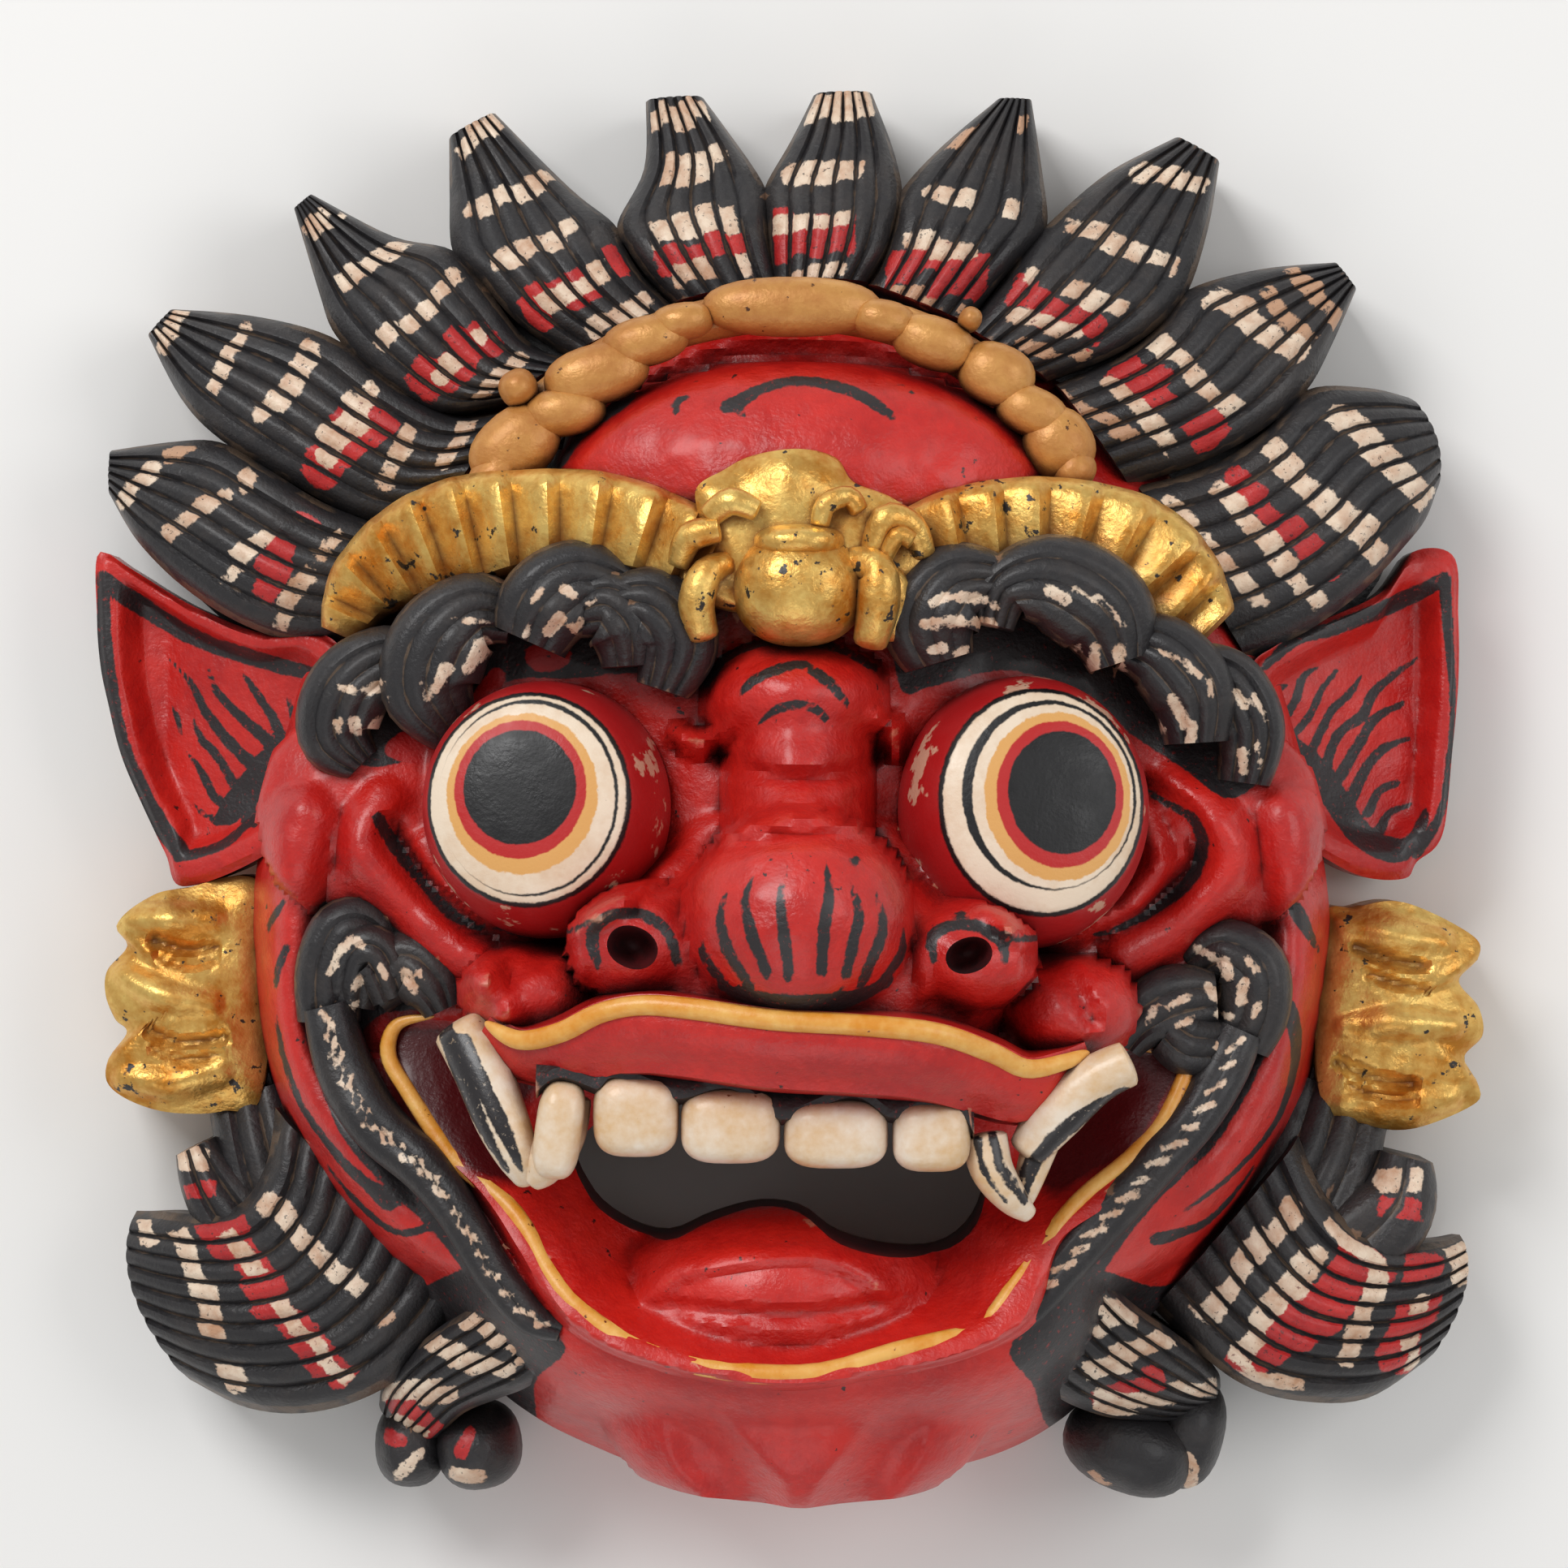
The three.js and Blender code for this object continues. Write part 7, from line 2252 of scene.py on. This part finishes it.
@dataclass
class BarongMask:
    """The whole mask, carved from one block.

    Attributes:
        face: head, wrinkles and nose.
        mouth: jaw, lips and gum.
        teeth: teeth and tusks.
        hair: flames, locks, beard, moustache and brows.
        headdress: bands, leaves and jewel.
        hollow: what is cut away from behind.
        crease: edges sharper than this many degrees stay sharp.
    """

    face: Face = field(default_factory=lambda: Face(strokes=FACE_STROKES, patches=FACE_PATCHES,
        reds=BROW_REDS))
    mouth: Mouth = field(default_factory=Mouth)
    teeth: Teeth = field(default_factory=Teeth)
    hair: Hair = field(default_factory=Hair)
    headdress: Headdress = field(default_factory=Headdress)
    hollow: Hollow = field(default_factory=Hollow)
    crease: float = 42.0

    def gather(self, title: str, forms: list[Carving]) -> bpy.types.Collection:
        """Puts forms in a collection of their own."""
        group = bpy.data.collections.new(title)
        for form in forms:
            group.objects.link(form.mesh_object())
        log.info("%s: %d forms, %d faces", title, len(forms), sum(len(f.faces) for f in forms))
        return group

    def build(self) -> bpy.types.Object:
        """Cuts every form and joins them into the one piece.

        Returns:
            The finished mask.
        """
        head, *_ = self.face.build()
        jaw, *lips = self.mouth.build()
        shell = [jaw, *self.hair.shell(), *(ear.build() for ear in EARS),
            *(e.build() for e in EAR_ORNAMENTS)]
        raised = [*lips, *self.teeth.build(), *self.hair.raised(), *self.headdress.build()]
        raised += [form for eye in EYES for form in eye.build()]
        steps = (("UNION", self.gather("shell_forms", shell)),
                 ("DIFFERENCE", self.gather("cutters", self.hollow.build())),
                 ("UNION", self.gather("raised_forms", raised)))
        start = head.mesh_object()
        bpy.context.scene.collection.objects.link(start)
        for operation, group in steps:
            cut = start.modifiers.new(operation.lower(), "BOOLEAN")
            cut.operation = operation
            cut.operand_type = "COLLECTION"
            cut.collection = group
            cut.solver = "MANIFOLD"
            cut.material_mode = "TRANSFER"
        graph = bpy.context.evaluated_depsgraph_get()
        carved = bpy.data.meshes.new_from_object(start.evaluated_get(graph), preserve_all_data_layers=True,
                                                 depsgraph=graph)
        for _, group in steps:
            for form in list(group.objects):
                bpy.data.objects.remove(form)
            bpy.data.collections.remove(group)
        bpy.data.objects.remove(start)
        carved.name = "carved_mask"
        carved.polygons.foreach_set("use_smooth", [True] * len(carved.polygons))
        carved.set_sharp_from_angle(angle=math.radians(self.crease))
        mask = bpy.data.objects.new("carved_mask", carved)
        bpy.context.scene.collection.objects.link(mask)
        triangles = sum(len(p.vertices) - 2 for p in carved.polygons)
        log.info("carved_mask: %d triangles, %d materials", triangles, len(carved.materials))
        return mask


@dataclass
class Studio:
    """Pale floor, soft lights and a camera straight above the mask."""

    camera_at: tuple[float, float, float] = (-1.2 + CENTRING[0], 1.3 + CENTRING[1], 1120.0)
    lens: float = 129.3
    floor_color: Colour = screen(246, 245, 243)

    def floor(self) -> bpy.types.Object:
        """Lays the floor."""
        material = bpy.data.materials.new("studio_paper")
        material.use_nodes = True
        g = Graph(material.node_tree)
        g.tree.nodes.clear()
        soft = g.noise(6.0, 2.0)
        color = g.blend(g.math("MULTIPLY", soft, 0.04), self.floor_color, screen(232, 230, 226))
        shader = g.add("ShaderNodeBsdfPrincipled", {"Base Color": color, "Roughness": 0.9})
        g.add("ShaderNodeOutputMaterial", {"Surface": shader.outputs["BSDF"]})
        half = 2.0
        mesh = bpy.data.meshes.new("studio_floor")
        mesh.from_pydata([(-half, -half, 0), (half, -half, 0), (half, half, 0), (-half, half, 0)], [],
            [(0, 1, 2, 3)])
        mesh.materials.append(material)
        floor = bpy.data.objects.new("studio_floor", mesh)
        bpy.context.scene.collection.objects.link(floor)
        return floor

    def light(self, name: str, at: Sequence[float], size: float, power: float) -> None:
        """Hangs a soft light that faces the mask.

        Args:
            name: the light's name.
            at: its place in metres.
            size: width of its square in metres.
            power: watts.
        """
        lamp = bpy.data.lights.new(name, "AREA")
        lamp.shape = "SQUARE"
        lamp.size = size
        lamp.energy = power
        holder = bpy.data.objects.new(name, lamp)
        holder.location = at
        length = math.sqrt(sum(c * c for c in at))
        holder.rotation_euler = (math.acos(at[2] / length), 0.0, math.atan2(at[0], -at[1]))
        bpy.context.scene.collection.objects.link(holder)

    def build(self) -> bpy.types.Object:
        """Sets up the whole studio.

        Returns:
            The floor.
        """
        scene = bpy.context.scene
        scene.view_settings.view_transform = "Standard"
        world = bpy.data.worlds.new("studio_world")
        scene.world = world
        world.use_nodes = True
        world.node_tree.nodes["Background"].inputs["Color"].default_value = (1, 1, 1, 1)
        world.node_tree.nodes["Background"].inputs["Strength"].default_value = 0.42
        self.light("key_light", (-0.75, 0.95, 1.25), 0.7, 15.0)
        self.light("fill_light", (1.05, 0.3, 1.1), 0.8, 5.0)
        self.light("low_light", (-0.1, -1.1, 1.0), 0.9, 2.5)
        lens = bpy.data.cameras.new("camera")
        lens.sensor_width = 36
        lens.lens = self.lens
        camera = bpy.data.objects.new("camera", lens)
        camera.location = [c * MM for c in self.camera_at]
        scene.collection.objects.link(camera)
        scene.camera = camera
        log.info("studio ready")
        return self.floor()


def main() -> None:
    """Carves the mask, dresses it and sets up the studio."""
    logging.basicConfig(level=logging.INFO, format="%(name)s: %(message)s")
    EffectShop().build()
    for finish in FINISHES:
        finish.build()
    mask = BarongMask().build()
    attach(mask, "root")
    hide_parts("mask")
    Studio().build()
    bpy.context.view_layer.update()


if __name__ == "__main__":
    main()
